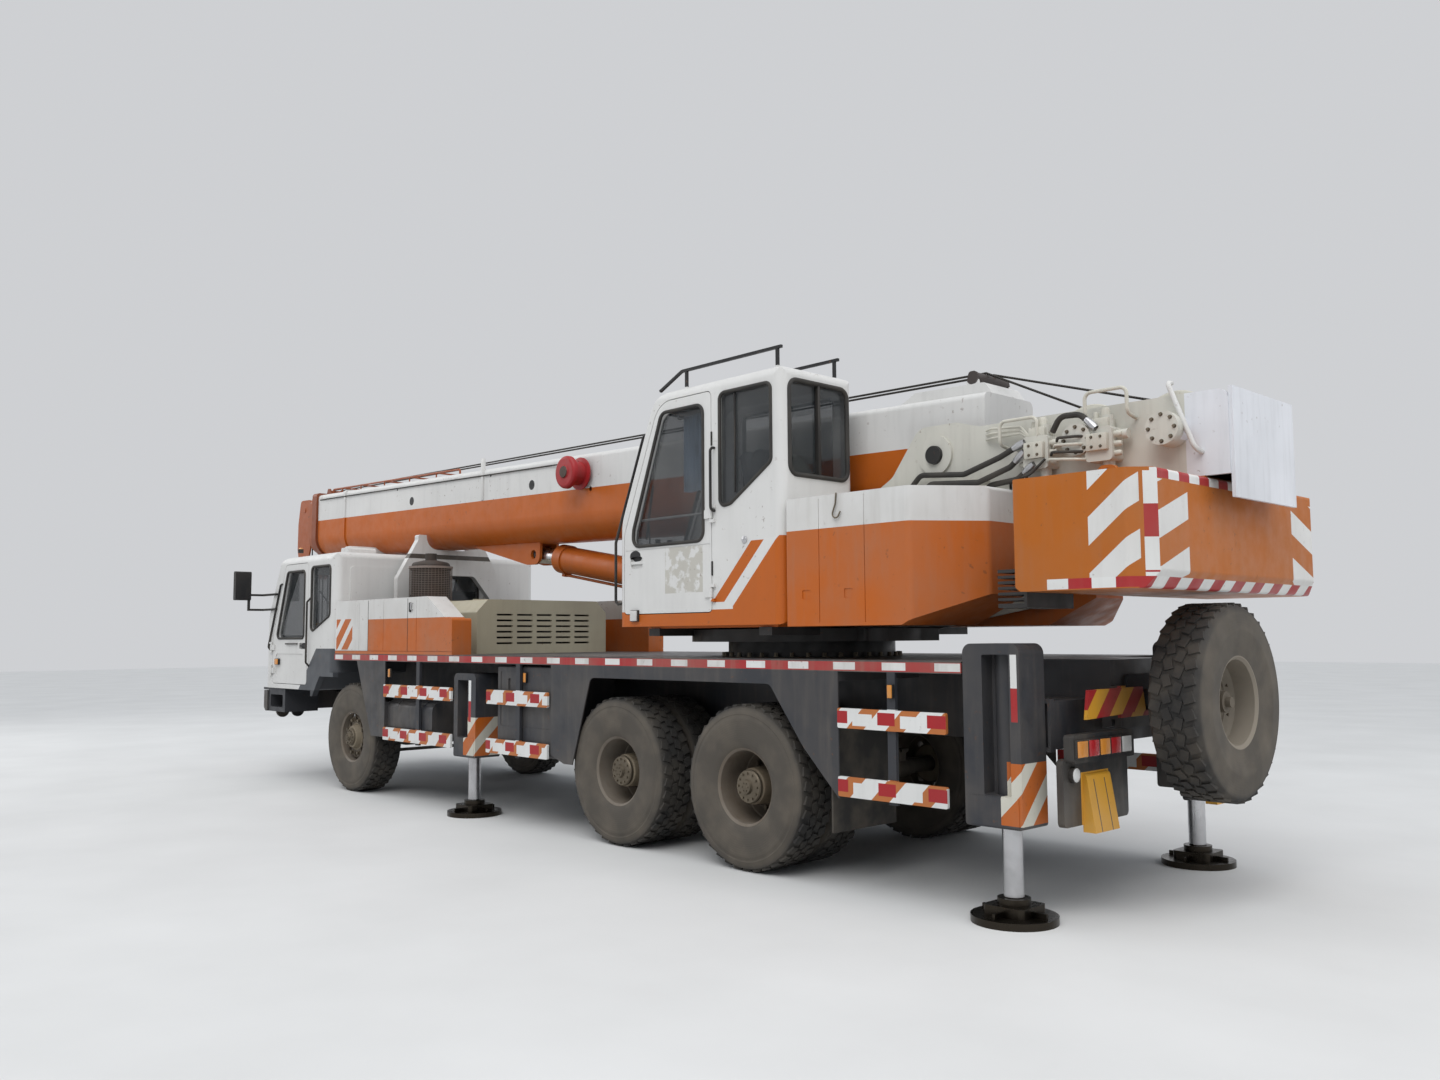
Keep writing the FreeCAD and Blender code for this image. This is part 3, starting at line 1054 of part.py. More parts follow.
def lamp_boards():
    """Tail frame with the striped boards, lamp boxes, mud boxes and chocks on both sides of the spare wheel."""
    pieces = []
    x = S.frame_rear
    arm = S.rail_outer - S.rail_wall
    for name, side in SIDES:
        board = [(150, 1100), (830, 1080), (800, 1240), (180, 1240)]
        board_outline = [(side * u, v) for u, v in board]
        pieces += [
            box(f"lamp_arm_{name}", (x - 60, x), span(side, arm, S.rail_outer), (1060, 1250)),
            prism(f"board_{name}", "YZ", board_outline if side > 0 else board_outline[::-1], (x - 70, x - 50)),
            rounded_box(f"lamp_bar_{name}", "YZ", (x - 110, x - 50), span(side, 390, 1050), (860, 1010), 20),
            box(f"lamp_drop_{name}", (x - 60, x - 20), span(side, arm, S.rail_outer), (860, 1100)),
            rounded_box(f"mud_box_{name}", "YZ", (x - 60, x - 20), span(side, 380, 1080), (520, 880), 30),
            prism(f"chock_{name}", "XZ", [(x - 130, 480), (x - 55, 480), (x - 55, 790), (x - 80, 790, 20)],
                  span(side, 620, 880)),
        ]
    cross = box("lamp_cross", (x - 60, x - 20), (-S.rail_outer, S.rail_outer), (1010, 1100))
    node("lamp_boards", fuse("lamp_boards", pieces + [cross]))


def outriggers():
    """Four beams with their jack housings, each with its jack rod and ribbed ground plate."""
    for pair, x, toward, top in PAIRS:
        for name, side in SIDES:
            lane = x + side * (S.beam_width / 2 + S.beam_wall)
            inner = S.deck_half - S.housing_depth
            jack_x, jack_y = x + toward * S.jack_shift, side * S.jack_y
            half = S.housing_length / 2
            outline = [(x - half, S.housing_bottom, 20), (x + half, S.housing_bottom, 20), (x + half, top, 55),
                       (x - half, top, 55)]
            recess = [(jack_x - 85, S.housing_bottom + 170, 10), (jack_x + 85, S.housing_bottom + 170, 10),
                      (jack_x + 85, top - 60, 10), (jack_x - 85, top - 60, 10)]
            beam = box(f"{pair}_beam_bar_{name}", (lane - S.beam_width / 2, lane + S.beam_width / 2),
                       span(side, -inner + 40, inner + 20), (S.beam_z - S.beam_height / 2, S.beam_z + S.beam_height / 2))
            housing = cut(f"{pair}_housing_{name}",
                          prism(f"{pair}_housing_body_{name}", "XZ", outline, span(side, inner, S.deck_half)),
                          [prism(f"{pair}_recess_{name}", "XZ", recess, span(side, S.jack_y + 30, S.deck_half + 5))])
            tube = cylinder(f"{pair}_jack_tube_{name}", "Z", (jack_x, jack_y, S.housing_bottom), S.jack_radius + 15,
                            top - S.housing_bottom - 20)
            plate = box(f"{pair}_stripe_plate_{name}", (x - half + 20, x + half - 40),
                        span(side, S.deck_half - 15, S.deck_half + 4), (S.housing_bottom + 10, S.housing_bottom + 165))
            bore = cylinder(f"{pair}_jack_bore_{name}", "Z", (jack_x, jack_y, S.housing_bottom - 5),
                            S.jack_radius + S.pin_fit, top - S.housing_bottom - 35)
            node(f"{pair}_beam_{name}", cut(f"{pair}_beam_{name}", fuse(f"{pair}_beam_solid_{name}",
                                                                        [beam, housing, tube, plate]), [bore]))
            socket = 250
            pieces = [
                cylinder(f"{pair}_rod_{name}", "Z", (jack_x, jack_y, S.float_plate), S.jack_radius,
                         top - S.jack_lift - 50 - S.float_plate),
                cylinder(f"{pair}_float_{name}", "Z", (jack_x, jack_y, 0), S.float_radius, S.float_plate),
                cylinder(f"{pair}_collar_{name}", "Z", (jack_x, jack_y, S.float_plate - 5), S.jack_radius + 35,
                         S.float_height - S.float_plate + 5),
                rounded_box(f"{pair}_socket_{name}", "XY", (jack_x - socket / 2, jack_x + socket / 2),
                            (jack_y - socket / 2, jack_y + socket / 2), (S.float_plate - 5, S.float_height - 35), 30),
            ]
            for rib, (length, width) in (("along", (400, 16)), ("across", (16, 400))):
                pieces.append(box(f"{pair}_rib_{rib}_{name}", (jack_x - length / 2, jack_x + length / 2),
                                  (jack_y - width / 2, jack_y + width / 2), (S.float_plate - 5, S.float_height - 60)))
            node(f"{pair}_jack_{name}", fuse(f"{pair}_jack_{name}", pieces))


def turntable():
    """Slewing ring and base plate, two cheeks that carry the boom and winches, and the luffing cylinder's ears."""
    x, top, tail = S.slew_x, S.table_top - 5, S.table_tail_x
    pin_x, pin_z = S.boom_pin_x, S.boom_pin_z
    cheek_top, ledge = pin_z + 150, S.ballast_top + 10
    cheek = [(x + 750, top), (x + 750, top + 105, 60), (x + 200, top + 455, 200), (x - 600, top + 705, 200),
             (pin_x + 370, pin_z - 110, 120), (pin_x + 140, pin_z + 200, 120), (pin_x - 160, pin_z + 200, 120),
             (pin_x - 330, cheek_top, 60), (tail, cheek_top, 60), (tail, ledge), (S.ballast_front + 35, ledge),
             (S.ballast_front + 35, ledge - 210, 80), (pin_x - 280, top + 155, 200), (x - 900, top)]
    outer = S.cheek_inner + S.cheek_wall
    pieces = [
        cylinder("slewing_ring", "Z", (x, 0, S.deck_top + S.seat_gap), S.slew_ring_radius, S.slew_ring_height + 1),
        cylinder("base_plate", "Z", (x, 0, S.table_bottom), S.table_radius, S.table_top - S.table_bottom),
        rounded_box("base_arm", "XY", (x - 900, x), (-outer, outer), (S.table_bottom, S.table_top), 30),
        box("tail_plate", (tail - 20, tail), (-outer + 10, outer - 10), (ledge - 130, cheek_top + 10)),
        box("cross_plate", (x - 620, x - 590), (-S.cheek_inner - 5, S.cheek_inner + 5), (top, S.luff_foot_z + 120)),
    ]
    for name, side in SIDES:
        plate = prism(f"cheek_{name}", "XZ", cheek, span(side, S.cheek_inner, outer))
        window = rounded([(pin_x - 250, top + 420), (x - 950, top + 160), (x - 650, top + 160), (x - 650, top + 480),
                          (pin_x + 330, pin_z - 300)], 60)
        pieces.append(cut(f"cheek_cut_{name}", plate,
                          [prism(f"cheek_window_{name}", "XZ", window, span(side, S.cheek_inner - 5, outer + 5))]))
        pieces.append(cylinder(f"pin_boss_{name}", "Y", (pin_x, outer - 5 if side > 0 else -outer - 20, pin_z), 130, 25))
        # Hydraulic winch motors on the left, bearing caps on the right
        for label, winch_x in (("front", S.winch_front_x), ("rear", S.winch_rear_x)):
            depth, radius = (150, 95) if side > 0 else (30, 110)
            start = outer - 5 if side > 0 else -outer + 5 - depth
            pieces.append(cylinder(f"winch_end_{label}_{name}", "Y", (winch_x, start, S.winch_z), radius, depth))
        pieces.append(prism(f"luff_ear_{name}", "XZ", [
            (S.luff_foot_x - 200, top), (S.luff_foot_x + 200, top), (S.luff_foot_x + 85, S.luff_foot_z + 85, 60),
            (S.luff_foot_x - 85, S.luff_foot_z + 85, 60)], span(side, 85, 125)))
        # Outboard arms that carry the operator's cab and the covers
        for index, arm_x in enumerate((x + 550, x - 600)):
            pieces.append(box(f"platform_arm_{name}_{index}", (arm_x - 60, arm_x + 60),
                              span(side, S.cheek_inner, S.operator_outer - 80), (S.table_top - 45, S.table_top + 10)))
    # Oil cooler hung from the left cheek, with its fins, and the valve blocks of the winches on the cheek
    cooler = (x - 2480, x - 2290)
    pieces.append(box("cooler_hanger", (cooler[0] + 20, cooler[1] - 20), (S.cheek_inner, outer),
                      (top + 125, ledge - 150)))
    pieces.append(cut("oil_cooler", box("oil_cooler_body", cooler, (outer - 5, outer + 500), (top + 105, top + 325)),
                      [box(f"cooler_gap_{index}", (cooler[0] + 20, cooler[1] + 5), (outer + 20, outer + 505),
                           (top + 130 + index * 32, top + 146 + index * 32)) for index in range(6)]))
    for index, block_x in enumerate((S.winch_front_x + 190, S.winch_rear_x + 300)):
        pieces.append(rounded_box(f"valve_block_{index}", "XZ", (block_x, block_x + 170), (outer - 5, outer + 130),
                                  (pin_z - 190, pin_z + 10), 25))
        pieces.append(cylinder(f"valve_spool_{index}", "X", (block_x - 70, outer + 65, pin_z - 40), 28, 310))
        pieces.append(cylinder(f"valve_cap_{index}", "Z", (block_x + 55, outer + 65, pin_z - 240), 34, 320))
    pin_half = outer + 45
    pieces.append(cylinder("boom_foot_pin", "Y", (pin_x, -pin_half, pin_z), S.boom_pin_radius, pin_half * 2))
    for name, winch_x in (("front", S.winch_front_x), ("rear", S.winch_rear_x)):
        pieces.append(cylinder(f"winch_shaft_{name}", "Y", (winch_x, -outer - 5, S.winch_z), S.winch_shaft_radius,
                               outer * 2 + 10))
    pieces.append(cylinder("luff_foot_pin", "Y", (S.luff_foot_x, -140, S.luff_foot_z), S.luff_pin_radius, 280))
    node("turntable", fuse("turntable", pieces))


def operator_outline():
    """Side outline of the operator's cab: upright below, a windscreen that leans back and a curved brow."""
    return [(S.operator_rear, S.operator_bottom, 40), (S.operator_front, S.operator_bottom, 40),
            (S.operator_front, S.operator_waist, 120), (S.operator_roof_front, S.operator_top, 220),
            (S.operator_rear, S.operator_top, 60)]


def operator_door_outline():
    rear, front, low, high = S.operator_door_rear, S.operator_door_front, S.operator_bottom + 95, S.operator_top - 80
    return [(rear, low, 30), (front, low, 30), (front, S.operator_waist + 50, 120),
            (S.operator_roof_front - 30, high, 200), (rear, high, 40)]


def operator_door_window():
    rear, front = S.operator_door_rear + 80, S.operator_door_front - 80
    low, high = S.operator_waist - 50, S.operator_top - 160
    return [(rear, low, 50), (front - 15, low, 50), (front - 25, S.operator_waist + 60, 100),
            (S.operator_roof_front - 60, high, 120), (rear, high, 50)]


def operator_side_window():
    """Window behind the door, cut off along a rising line at its lower rear corner."""
    rear, front, high = S.operator_rear + 90, S.operator_door_rear - 90, S.operator_top - 110
    return [(rear, S.operator_waist + 440, 40), (front - 110, S.operator_waist + 190, 50), (front, S.operator_waist + 170, 50),
            (front, high, 50), (rear, high, 50)]


def operator_rear_window():
    low, high = S.operator_waist + 350, S.operator_top - 90
    return rounded([(S.operator_inner + 70, low), (S.operator_outer - 80, low), (S.operator_outer - 80, high),
                    (S.operator_inner + 70, high)], 60)


def operator_inner_window():
    """Window towards the boom."""
    rear, front = S.operator_rear + 150, S.operator_roof_front - 180
    low, high = S.operator_waist + 250, S.operator_top - 110
    return rounded([(rear, low), (front, low), (front, high), (rear, high)], 50)


def operator_screen_opening():
    low, high = S.operator_waist - 270, S.operator_top - 130
    return rounded([(S.operator_inner + 65, low), (S.operator_outer - 65, low), (S.operator_outer - 65, high),
                    (S.operator_inner + 65, high)], 50)


def operator_cab():
    """Moulded shell with cut windows and doorway, feet, roof rail and the fixed hinge halves."""
    wall, gap = S.operator_wall, S.move_gap
    across, along = (S.operator_inner, S.operator_outer), (S.operator_rear, S.operator_front)
    outside = moulded("operator_outer", operator_outline(), along, across, (S.operator_bottom, S.operator_top), 90, 70, 70)
    hollow = moulded("operator_hollow", inset(operator_outline(), wall),
                     (S.operator_rear + wall, S.operator_front - wall), (S.operator_inner + wall, S.operator_outer - wall),
                     (S.operator_bottom, S.operator_top - wall), 40, 20, 20)
    feet = box("operator_feet", (S.operator_rear + 140, S.operator_front - 240), (S.operator_inner + 80, S.operator_outer - 100),
               (S.operator_bottom - 15, S.operator_bottom + 5))
    side_through = (S.operator_outer - wall - 10, S.operator_outer + 10)
    tools = [
        hollow,
        prism("operator_door_opening", "XZ", inset(operator_door_outline(), -gap), side_through),
        prism("operator_side_opening", "XZ", operator_side_window(), side_through),
        prism("operator_rear_opening", "YZ", operator_rear_window(), (S.operator_rear - 10, S.operator_rear + wall + 10)),
        prism("operator_inner_opening", "XZ", operator_inner_window(),
              (S.operator_inner - 10, S.operator_inner + wall + 10)),
        prism("operator_screen_opening", "YZ", operator_screen_opening(), (S.operator_roof_front - 15, S.operator_front + 10)),
    ]
    body = cut("operator_cut", fuse("operator_solid", [outside, feet]), tools)
    fixed = []
    hinge_x = S.operator_door_rear - gap
    hinge_y = S.operator_outer + S.hinge_offset
    for z in OPERATOR_HINGES:
        fixed += hinge_arms(f"operator_hinge_{z}", hinge_x, hinge_y, z, (hinge_x - 40, hinge_x),
                            (S.operator_outer - 5, hinge_y + S.hinge_pin_radius))
    # Roof rail: a bar along each side on two posts, bent down at the front, and a grab rod up the front post
    rail_top, tube = S.operator_top + 150, 20
    for y in (S.operator_inner + 70, S.operator_outer - 90):
        rail_front = S.operator_roof_front - 200
        for x in (rail_front - 60, S.operator_rear + 90):
            fixed.append(box(f"roof_post_{y.value:.0f}_{x.value:.0f}", (x, x + tube), (y, y + tube),
                             (S.operator_top - 15, rail_top)))
        fixed.append(prism(f"roof_bar_{y.value:.0f}", "XZ", [
            (S.operator_rear + 60, rail_top - tube), (rail_front, rail_top - tube, 60), (S.operator_roof_front + 40, rail_top - 130),
            (S.operator_roof_front + 52, rail_top - 115), (rail_front, rail_top, 80), (S.operator_rear + 60, rail_top)],
            (y, y + tube)))
    node("operator_cab", fuse("operator_cab", [body] + fixed))


def operator_door():
    """Door with its window cut, a dished handle and the turning hinge halves."""
    wall, face = S.operator_wall, S.operator_outer
    leaf = S.hinge_leaf_half
    front, low = S.operator_door_front, S.operator_bottom
    panel = cut("operator_door_cut", prism("operator_door_panel", "XZ", operator_door_outline(), (face - wall, face)), [
        prism("operator_door_window", "XZ", operator_door_window(), (face - wall - 5, face + 5)),
        rounded_box("operator_handle_dish", "XZ", (front - 210, front - 70), (face - 20, face + 5), (low + 430, low + 520), 25),
        box("operator_door_crease", (S.operator_door_rear + 10, front - 10), (face - 4, face + 5), (low + 565, low + 571)),
    ])
    pieces = [panel, rounded_box("operator_handle", "XZ", (front - 215, front - 65), (face - 12, face - 4),
                                 (low + 465, low + 485), 9)]
    bores = []
    hinge_x = S.operator_door_rear - S.move_gap
    hinge_y = face + S.hinge_offset
    for z in OPERATOR_HINGES:
        pieces.append(box(f"operator_leaf_{z}", (hinge_x, S.operator_door_rear + 60), (face - 5, hinge_y),
                          (z - leaf, z + leaf)))
        pieces.append(cylinder(f"operator_knuckle_{z}", "Z", (hinge_x, hinge_y, z - leaf), S.hinge_knuckle_radius, leaf * 2))
        bores.append(cylinder(f"operator_bore_{z}", "Z", (hinge_x, hinge_y, z - leaf - 1),
                              S.hinge_pin_radius + S.pin_fit, leaf * 2 + 2))
    node("operator_door", cut("operator_door", fuse("operator_door_solid", pieces), bores))


def operator_glass():
    """Fixed panes of the operator's cab: rear, side, towards the boom, and the two-part windscreen."""
    t, depth = S.glass_wall, 20
    panes = [
        window_pane("operator_rear_pane", "YZ", operator_rear_window(), (S.operator_rear + depth, S.operator_rear + depth + t)),
        window_pane("operator_side_pane", "XZ", operator_side_window(), (S.operator_outer - depth - t, S.operator_outer - depth)),
        window_pane("operator_inner_pane", "XZ", operator_inner_window(),
                    (S.operator_inner + depth, S.operator_inner + depth + t)),
    ]
    outline = inset(operator_outline(), depth)
    front, brow = outline[2], outline[3]
    slope = (front[0] - brow[0]) / (brow[1] - front[1])
    low, high = S.operator_waist - 260, S.operator_top - 140

    def face(z):
        return front[0] - (z - front[1]) * slope
    slab = prism("operator_screen_slab", "XZ", [
        (front[0], low), (front[0], front[1], 100), (face(high), high), (face(high) - t, high),
        (front[0] - t, front[1], 100), (front[0] - t, low)], (S.operator_inner, S.operator_outer))
    mask = prism("operator_screen_mask", "YZ", inset(operator_screen_opening(), S.seat_gap),
                 (S.operator_roof_front - 200, S.operator_front))
    panes.append(common("operator_screen", [slab, mask]))
    node("operator_cab_glass", group("operator_cab_glass", panes))


def operator_interior():
    """Seat and the console with its control levers."""
    floor = S.operator_bottom + S.operator_wall
    x = S.operator_rear + 440
    seat = [(x, floor), (x + 350, floor), (x + 350, floor + 360, 30), (x + 550, floor + 410, 40), (x + 550, floor + 510, 50),
            (x + 50, floor + 500, 40), (x - 60, floor + 1150, 50), (x - 180, floor + 1150, 50), (x - 90, floor + 400, 60),
            (x, floor + 370, 30)]
    cushion = prism("operator_seat", "XZ", seat, (S.operator_inner + 120, S.operator_outer - 120))
    console_x, console_top = S.operator_front - 340, floor + 280
    console = [(console_x, floor), (console_x + 200, floor), (console_x + 200, console_top + 40, 30),
               (console_x, console_top, 30)]
    pieces = [prism("operator_console", "XZ", console, (S.operator_inner + 90, S.operator_outer - 90))]
    for index in range(4):
        y = S.operator_inner + 180 + index * 120
        pieces.append(cylinder(f"lever_{index}", "Z", (console_x + 100, y, console_top - 10), 8, 300))
        pieces.append(cylinder(f"lever_knob_{index}", "Z", (console_x + 100, y, console_top + 280), 20, 50))
    node("operator_interior", group("operator_interior", [cushion, fuse("console_set", pieces)]))


def upper_covers():
    """Closed housings on both sides of the turntable, cut off at their rear corner and below it."""
    inner = S.cheek_inner + S.cheek_wall
    low, high = S.table_top + 10, S.table_top + 835
    rear, corner = S.slew_x - 2160, S.slew_x - 1860
    covers = []
    for name, side, front in (("left", 1, S.operator_rear - 23), ("right", -1, S.slew_x + 450)):
        plan = [(front, side * inner), (front, side * S.operator_outer, 30), (corner, side * S.operator_outer, 60),
                (rear, side * (inner + 370), 60), (rear, side * inner)]
        profile = [(front, low), (corner + 60, low), (rear, low + 180), (rear, high, 25), (front, high, 25)]
        body = common(f"cover_{name}_body", [
            prism(f"cover_{name}_plan", "XY", plan if side < 0 else plan[::-1], (low, high)),
            prism(f"cover_{name}_profile", "XZ", profile, span(side, inner, S.operator_outer)),
        ])
        outside = span(side, S.operator_outer - 5, S.operator_outer + 5)
        seams = [box(f"cover_{name}_seam_{index}", (seam, seam + 6), outside, (low + 20, high - 20))
                 for index, seam in enumerate((corner + 330, corner + 700))]
        seams += [rounded_box(f"cover_{name}_latch_{index}", "XZ", (latch, latch + 70), outside, (low + 170, low + 230), 10)
                  for index, latch in enumerate((corner + 430, corner + 780))]
        covers.append(cut(f"cover_{name}", body, seams))
    node("upper_covers", group("upper_covers", covers))


def counterweight():
    """Cast block with bevelled rear corners and underside, hung below the tail on two seats, with its lifting lugs."""
    corner = 120
    low, high, front, rear = S.ballast_bottom, S.ballast_top, S.ballast_front, S.ballast_rear
    plan = [(front, -S.ballast_half, 20), (rear + corner, -S.ballast_half, 40), (rear, corner - S.ballast_half, 40),
            (rear, S.ballast_half - corner, 40), (rear + corner, S.ballast_half, 40), (front, S.ballast_half, 20)]
    profile = [(front, low + 30, 10), (front - 40, low, 20), (rear + 60, low, 30), (rear, low + 90, 30), (rear, high, 20),
               (front, high, 20)]
    pieces = [common("ballast_block", [prism("ballast_plan", "XY", plan, (low, high)),
                                       prism("ballast_profile", "XZ", profile, (-S.ballast_half, S.ballast_half))])]
    bores = []
    lug_x, lug_z, lug_half = front - 395, high + 35, 20
    for name, side in SIDES:
        y = side * S.ballast_lug_y
        lug = [(lug_x - 75, high - 5), (lug_x + 75, high - 5), (lug_x + 45, high + 72, 40), (lug_x - 45, high + 72, 40)]
        pieces.append(prism(f"ballast_lug_{name}", "XZ", lug, (y - lug_half, y + lug_half)))
        pieces.append(box(f"ballast_seat_{name}", (rear + 20, front - 15), span(side, S.cheek_inner, S.cheek_inner + S.cheek_wall),
                          (high - 5, high + 10 - S.seat_gap)))
        bores.append(cylinder(f"lug_bore_{name}", "Y", (lug_x, y - 25, lug_z), 20, 50))
    node("counterweight", cut("counterweight", fuse("ballast_solid", pieces), bores))


def winches():
    """Winch drums with flanges and a full layer of rope."""
    half = S.cheek_inner - 5
    for label, x in (("main", S.winch_front_x), ("auxiliary", S.winch_rear_x)):
        r, core, bore = S.winch_radius, S.winch_barrel_radius, S.winch_shaft_radius + S.pin_fit
        outline = [(bore, -half), (r - 60, -half), (r, 10 - half, 8), (r, 22 - half, 8), (core, 30 - half), (core, half - 30),
                   (r, half - 22, 8), (r, half - 10, 8), (r - 60, half), (bore, half)]
        node(f"{label}_winch_drum", turned(f"{label}_winch_drum", outline, (x, 0, S.winch_z)))


# The boom: every section is drawn along its own level axis from the foot pin and then raised by the rest angle
def boom_section_outline(inset_wall):
    """Section of the boom: rounded through below, tighter bends at the top."""
    w, h = S.boom_half_width - inset_wall, S.boom_half_height - inset_wall
    c = S.boom_rise
    low, high = S.boom_bend_radius - inset_wall, 45
    return [(-w, c - h, low), (w, c - h, low), (w, c + h, high), (-w, c + h, high)]


def raise_boom(obj):
    """Put a piece drawn in the boom's own axes in its place on the machine."""
    obj.Placement = Placement(obj.Placement.Base, Rotation(Vector(0, -1, 0), S.boom_tilt.value))
    obj.setExpression("Placement.Rotation.Angle", S.boom_tilt.text)
    return place(obj, S.boom_pin_x, 0, S.boom_pin_z)


def in_boom_axes(x, z):
    """Place of a point of the machine at rest, along and above the boom's own axis."""
    dx, dz = x - S.boom_pin_x, z - S.boom_pin_z
    return dx * cosine(S.boom_tilt) + dz * sine(S.boom_tilt), dz * cosine(S.boom_tilt) - dx * sine(S.boom_tilt)


def tube(label, inset, start, end):
    outer = prism(f"{label}_outer", "YZ", boom_section_outline(inset), (start, end))
    inner = prism(f"{label}_inner", "YZ", boom_section_outline(inset + S.boom_wall), (start - 10, end + 10))
    return outer, inner


def boom():
    """Four nested sections; each mouth has a collar and slide pads on which the next section runs."""
    end = S.boom_base_length
    top = S.boom_rise + S.boom_half_height
    under = S.boom_rise - S.boom_half_height
    outer, _ = tube("base_tube", sized(0), -S.boom_tail, end)
    collar = prism("base_collar", "YZ", boom_section_outline(sized(-25)), (end - 120, end))
    rear_collar = prism("base_stiffener", "YZ", boom_section_outline(sized(-14)), (end - 900, end - 860))
    eye_x, eye_z = in_boom_axes(S.luff_eye_x, S.luff_eye_z)
    bracket = [(eye_x - 110, under + 60), (eye_x - 110, eye_z - 100, 90), (eye_x + 110, eye_z - 100, 90),
               (eye_x + 1100, under + 5), (eye_x + 1100, under + 60)]
    foot_half = S.cheek_inner - 5
    shell = [outer, collar, rear_collar]
    for name, side in SIDES:
        shell.append(prism(f"luff_bracket_{name}", "XZ", bracket, span(side, 85, 115)))
        low_y = S.boom_half_width - 15 if side > 0 else -foot_half
        shell.append(cylinder(f"foot_boss_{name}", "Y", (0, low_y, 0), 130, foot_half - S.boom_half_width + 15))
    hollow = prism("base_hollow", "YZ", boom_section_outline(S.boom_wall), (600, end + 10))
    pin_bore = cylinder("foot_bore", "Y", (0, -S.cheek_inner, 0), S.boom_pin_radius + S.pin_fit, S.cheek_inner * 2)
    eye_bore = cylinder("eye_bore", "Y", (eye_x, -130, eye_z), S.luff_pin_radius + S.pin_fit, 260)
    holes = [cylinder(f"side_hole_{name}_{x}", "Y", (eye_x + x, side * S.boom_half_width - 20, S.boom_rise + 60), 24, 40)
             for x in (-1150, -2750) for name, side in SIDES]
    body = cut("boom_base_cut", fuse("boom_base_solid", shell), [hollow, pin_bore, eye_bore] + holes)
    fittings = slide_pads("base_pads", sized(0), end - 120, end - 20) + rope_guides(end, top)
    node("boom_base", raise_boom(fuse("boom_base", [body] + fittings)))

    for index, name in enumerate(("second", "third", "fourth"), start=1):
        inset_wall = (S.boom_wall + S.section_pad) * index
        front = end + S.section_step * index
        outer, inner = tube(f"{name}_tube", inset_wall, front - S.section_length, front)
        pieces = [cut(f"{name}_cut", outer, [inner])]
        if name != "fourth":
            pieces.append(cut(f"{name}_collar_cut", prism(f"{name}_collar", "YZ", boom_section_outline(inset_wall - 15),
                                                          (front - S.section_step + 20, front)),
                              [prism(f"{name}_collar_hole", "YZ", boom_section_outline(inset_wall + S.boom_wall),
                                     (front - S.section_step, front + 20))]))
            pieces += slide_pads(f"{name}_pads", inset_wall, front - 120, front - 20)
        else:
            pieces += boom_head(inset_wall, front)
        node(f"boom_{name}", raise_boom(fuse(f"boom_{name}", pieces)))


def rope_guides(end, top):
    """Tail hood with the rope roller on its ears, and a rope guide over the boom's mouth."""
    tail = -S.boom_tail
    pieces = [prism("tail_hood", "XZ", [(tail, top - 5), (500, top - 5), (350, top + 80, 30), (tail + 60, top + 80, 30)],
                    (-200, 200))]
    for name, x, z, half, radius in (("tail", tail + 160, top + 125, 185, 42), ("mouth", end - 60, top + 52, 120, 26)):
        pieces.append(cylinder(f"{name}_roller", "Y", (x, -half, z), radius, half * 2))
        for ear, side in SIDES:
            pieces.append(prism(f"{name}_ear_{ear}", "XZ", [(x - 70, top - 5), (x + 70, top - 5), (x + 30, z + 45, 25),
                                                            (x - 30, z + 45, 25)], span(side, half - 8, half + 8)))
    return pieces


def slide_pads(label, inset_wall, start, end):
    """Pads on the inner wall at the mouth of a section; the next section runs on them."""
    wall = inset_wall + S.boom_wall
    gap = S.section_pad - S.seat_gap
    w, h = S.boom_half_width - wall, S.boom_half_height - wall
    c = S.boom_rise
    flat = S.boom_half_width - S.boom_bend_radius
    pads = [
        box(f"{label}_top", (start, end), (90 - w, w - 90), (c + h - gap, c + h + 2)),
        box(f"{label}_bottom", (start, end), (-flat, flat), (c - h - 2, c - h + gap)),
    ]
    for name, side in SIDES:
        pads.append(box(f"{label}_{name}", (start, end), span(side, w - gap, w + 2), (c - 60, c + h - 140)))
    return pads


def sheave(label, x, y, z, bore, groove):
    """A rope sheave with its axis along Y and a groove of a given depth."""
    r, half = S.sheave_radius, 20
    outline = [(bore, -half), (r, -half), (r, -half + 4), (r - groove, -5), (r - groove, 5), (r, half - 4), (r, half),
               (bore, half)]
    return turned(label, outline, (x, y, z))


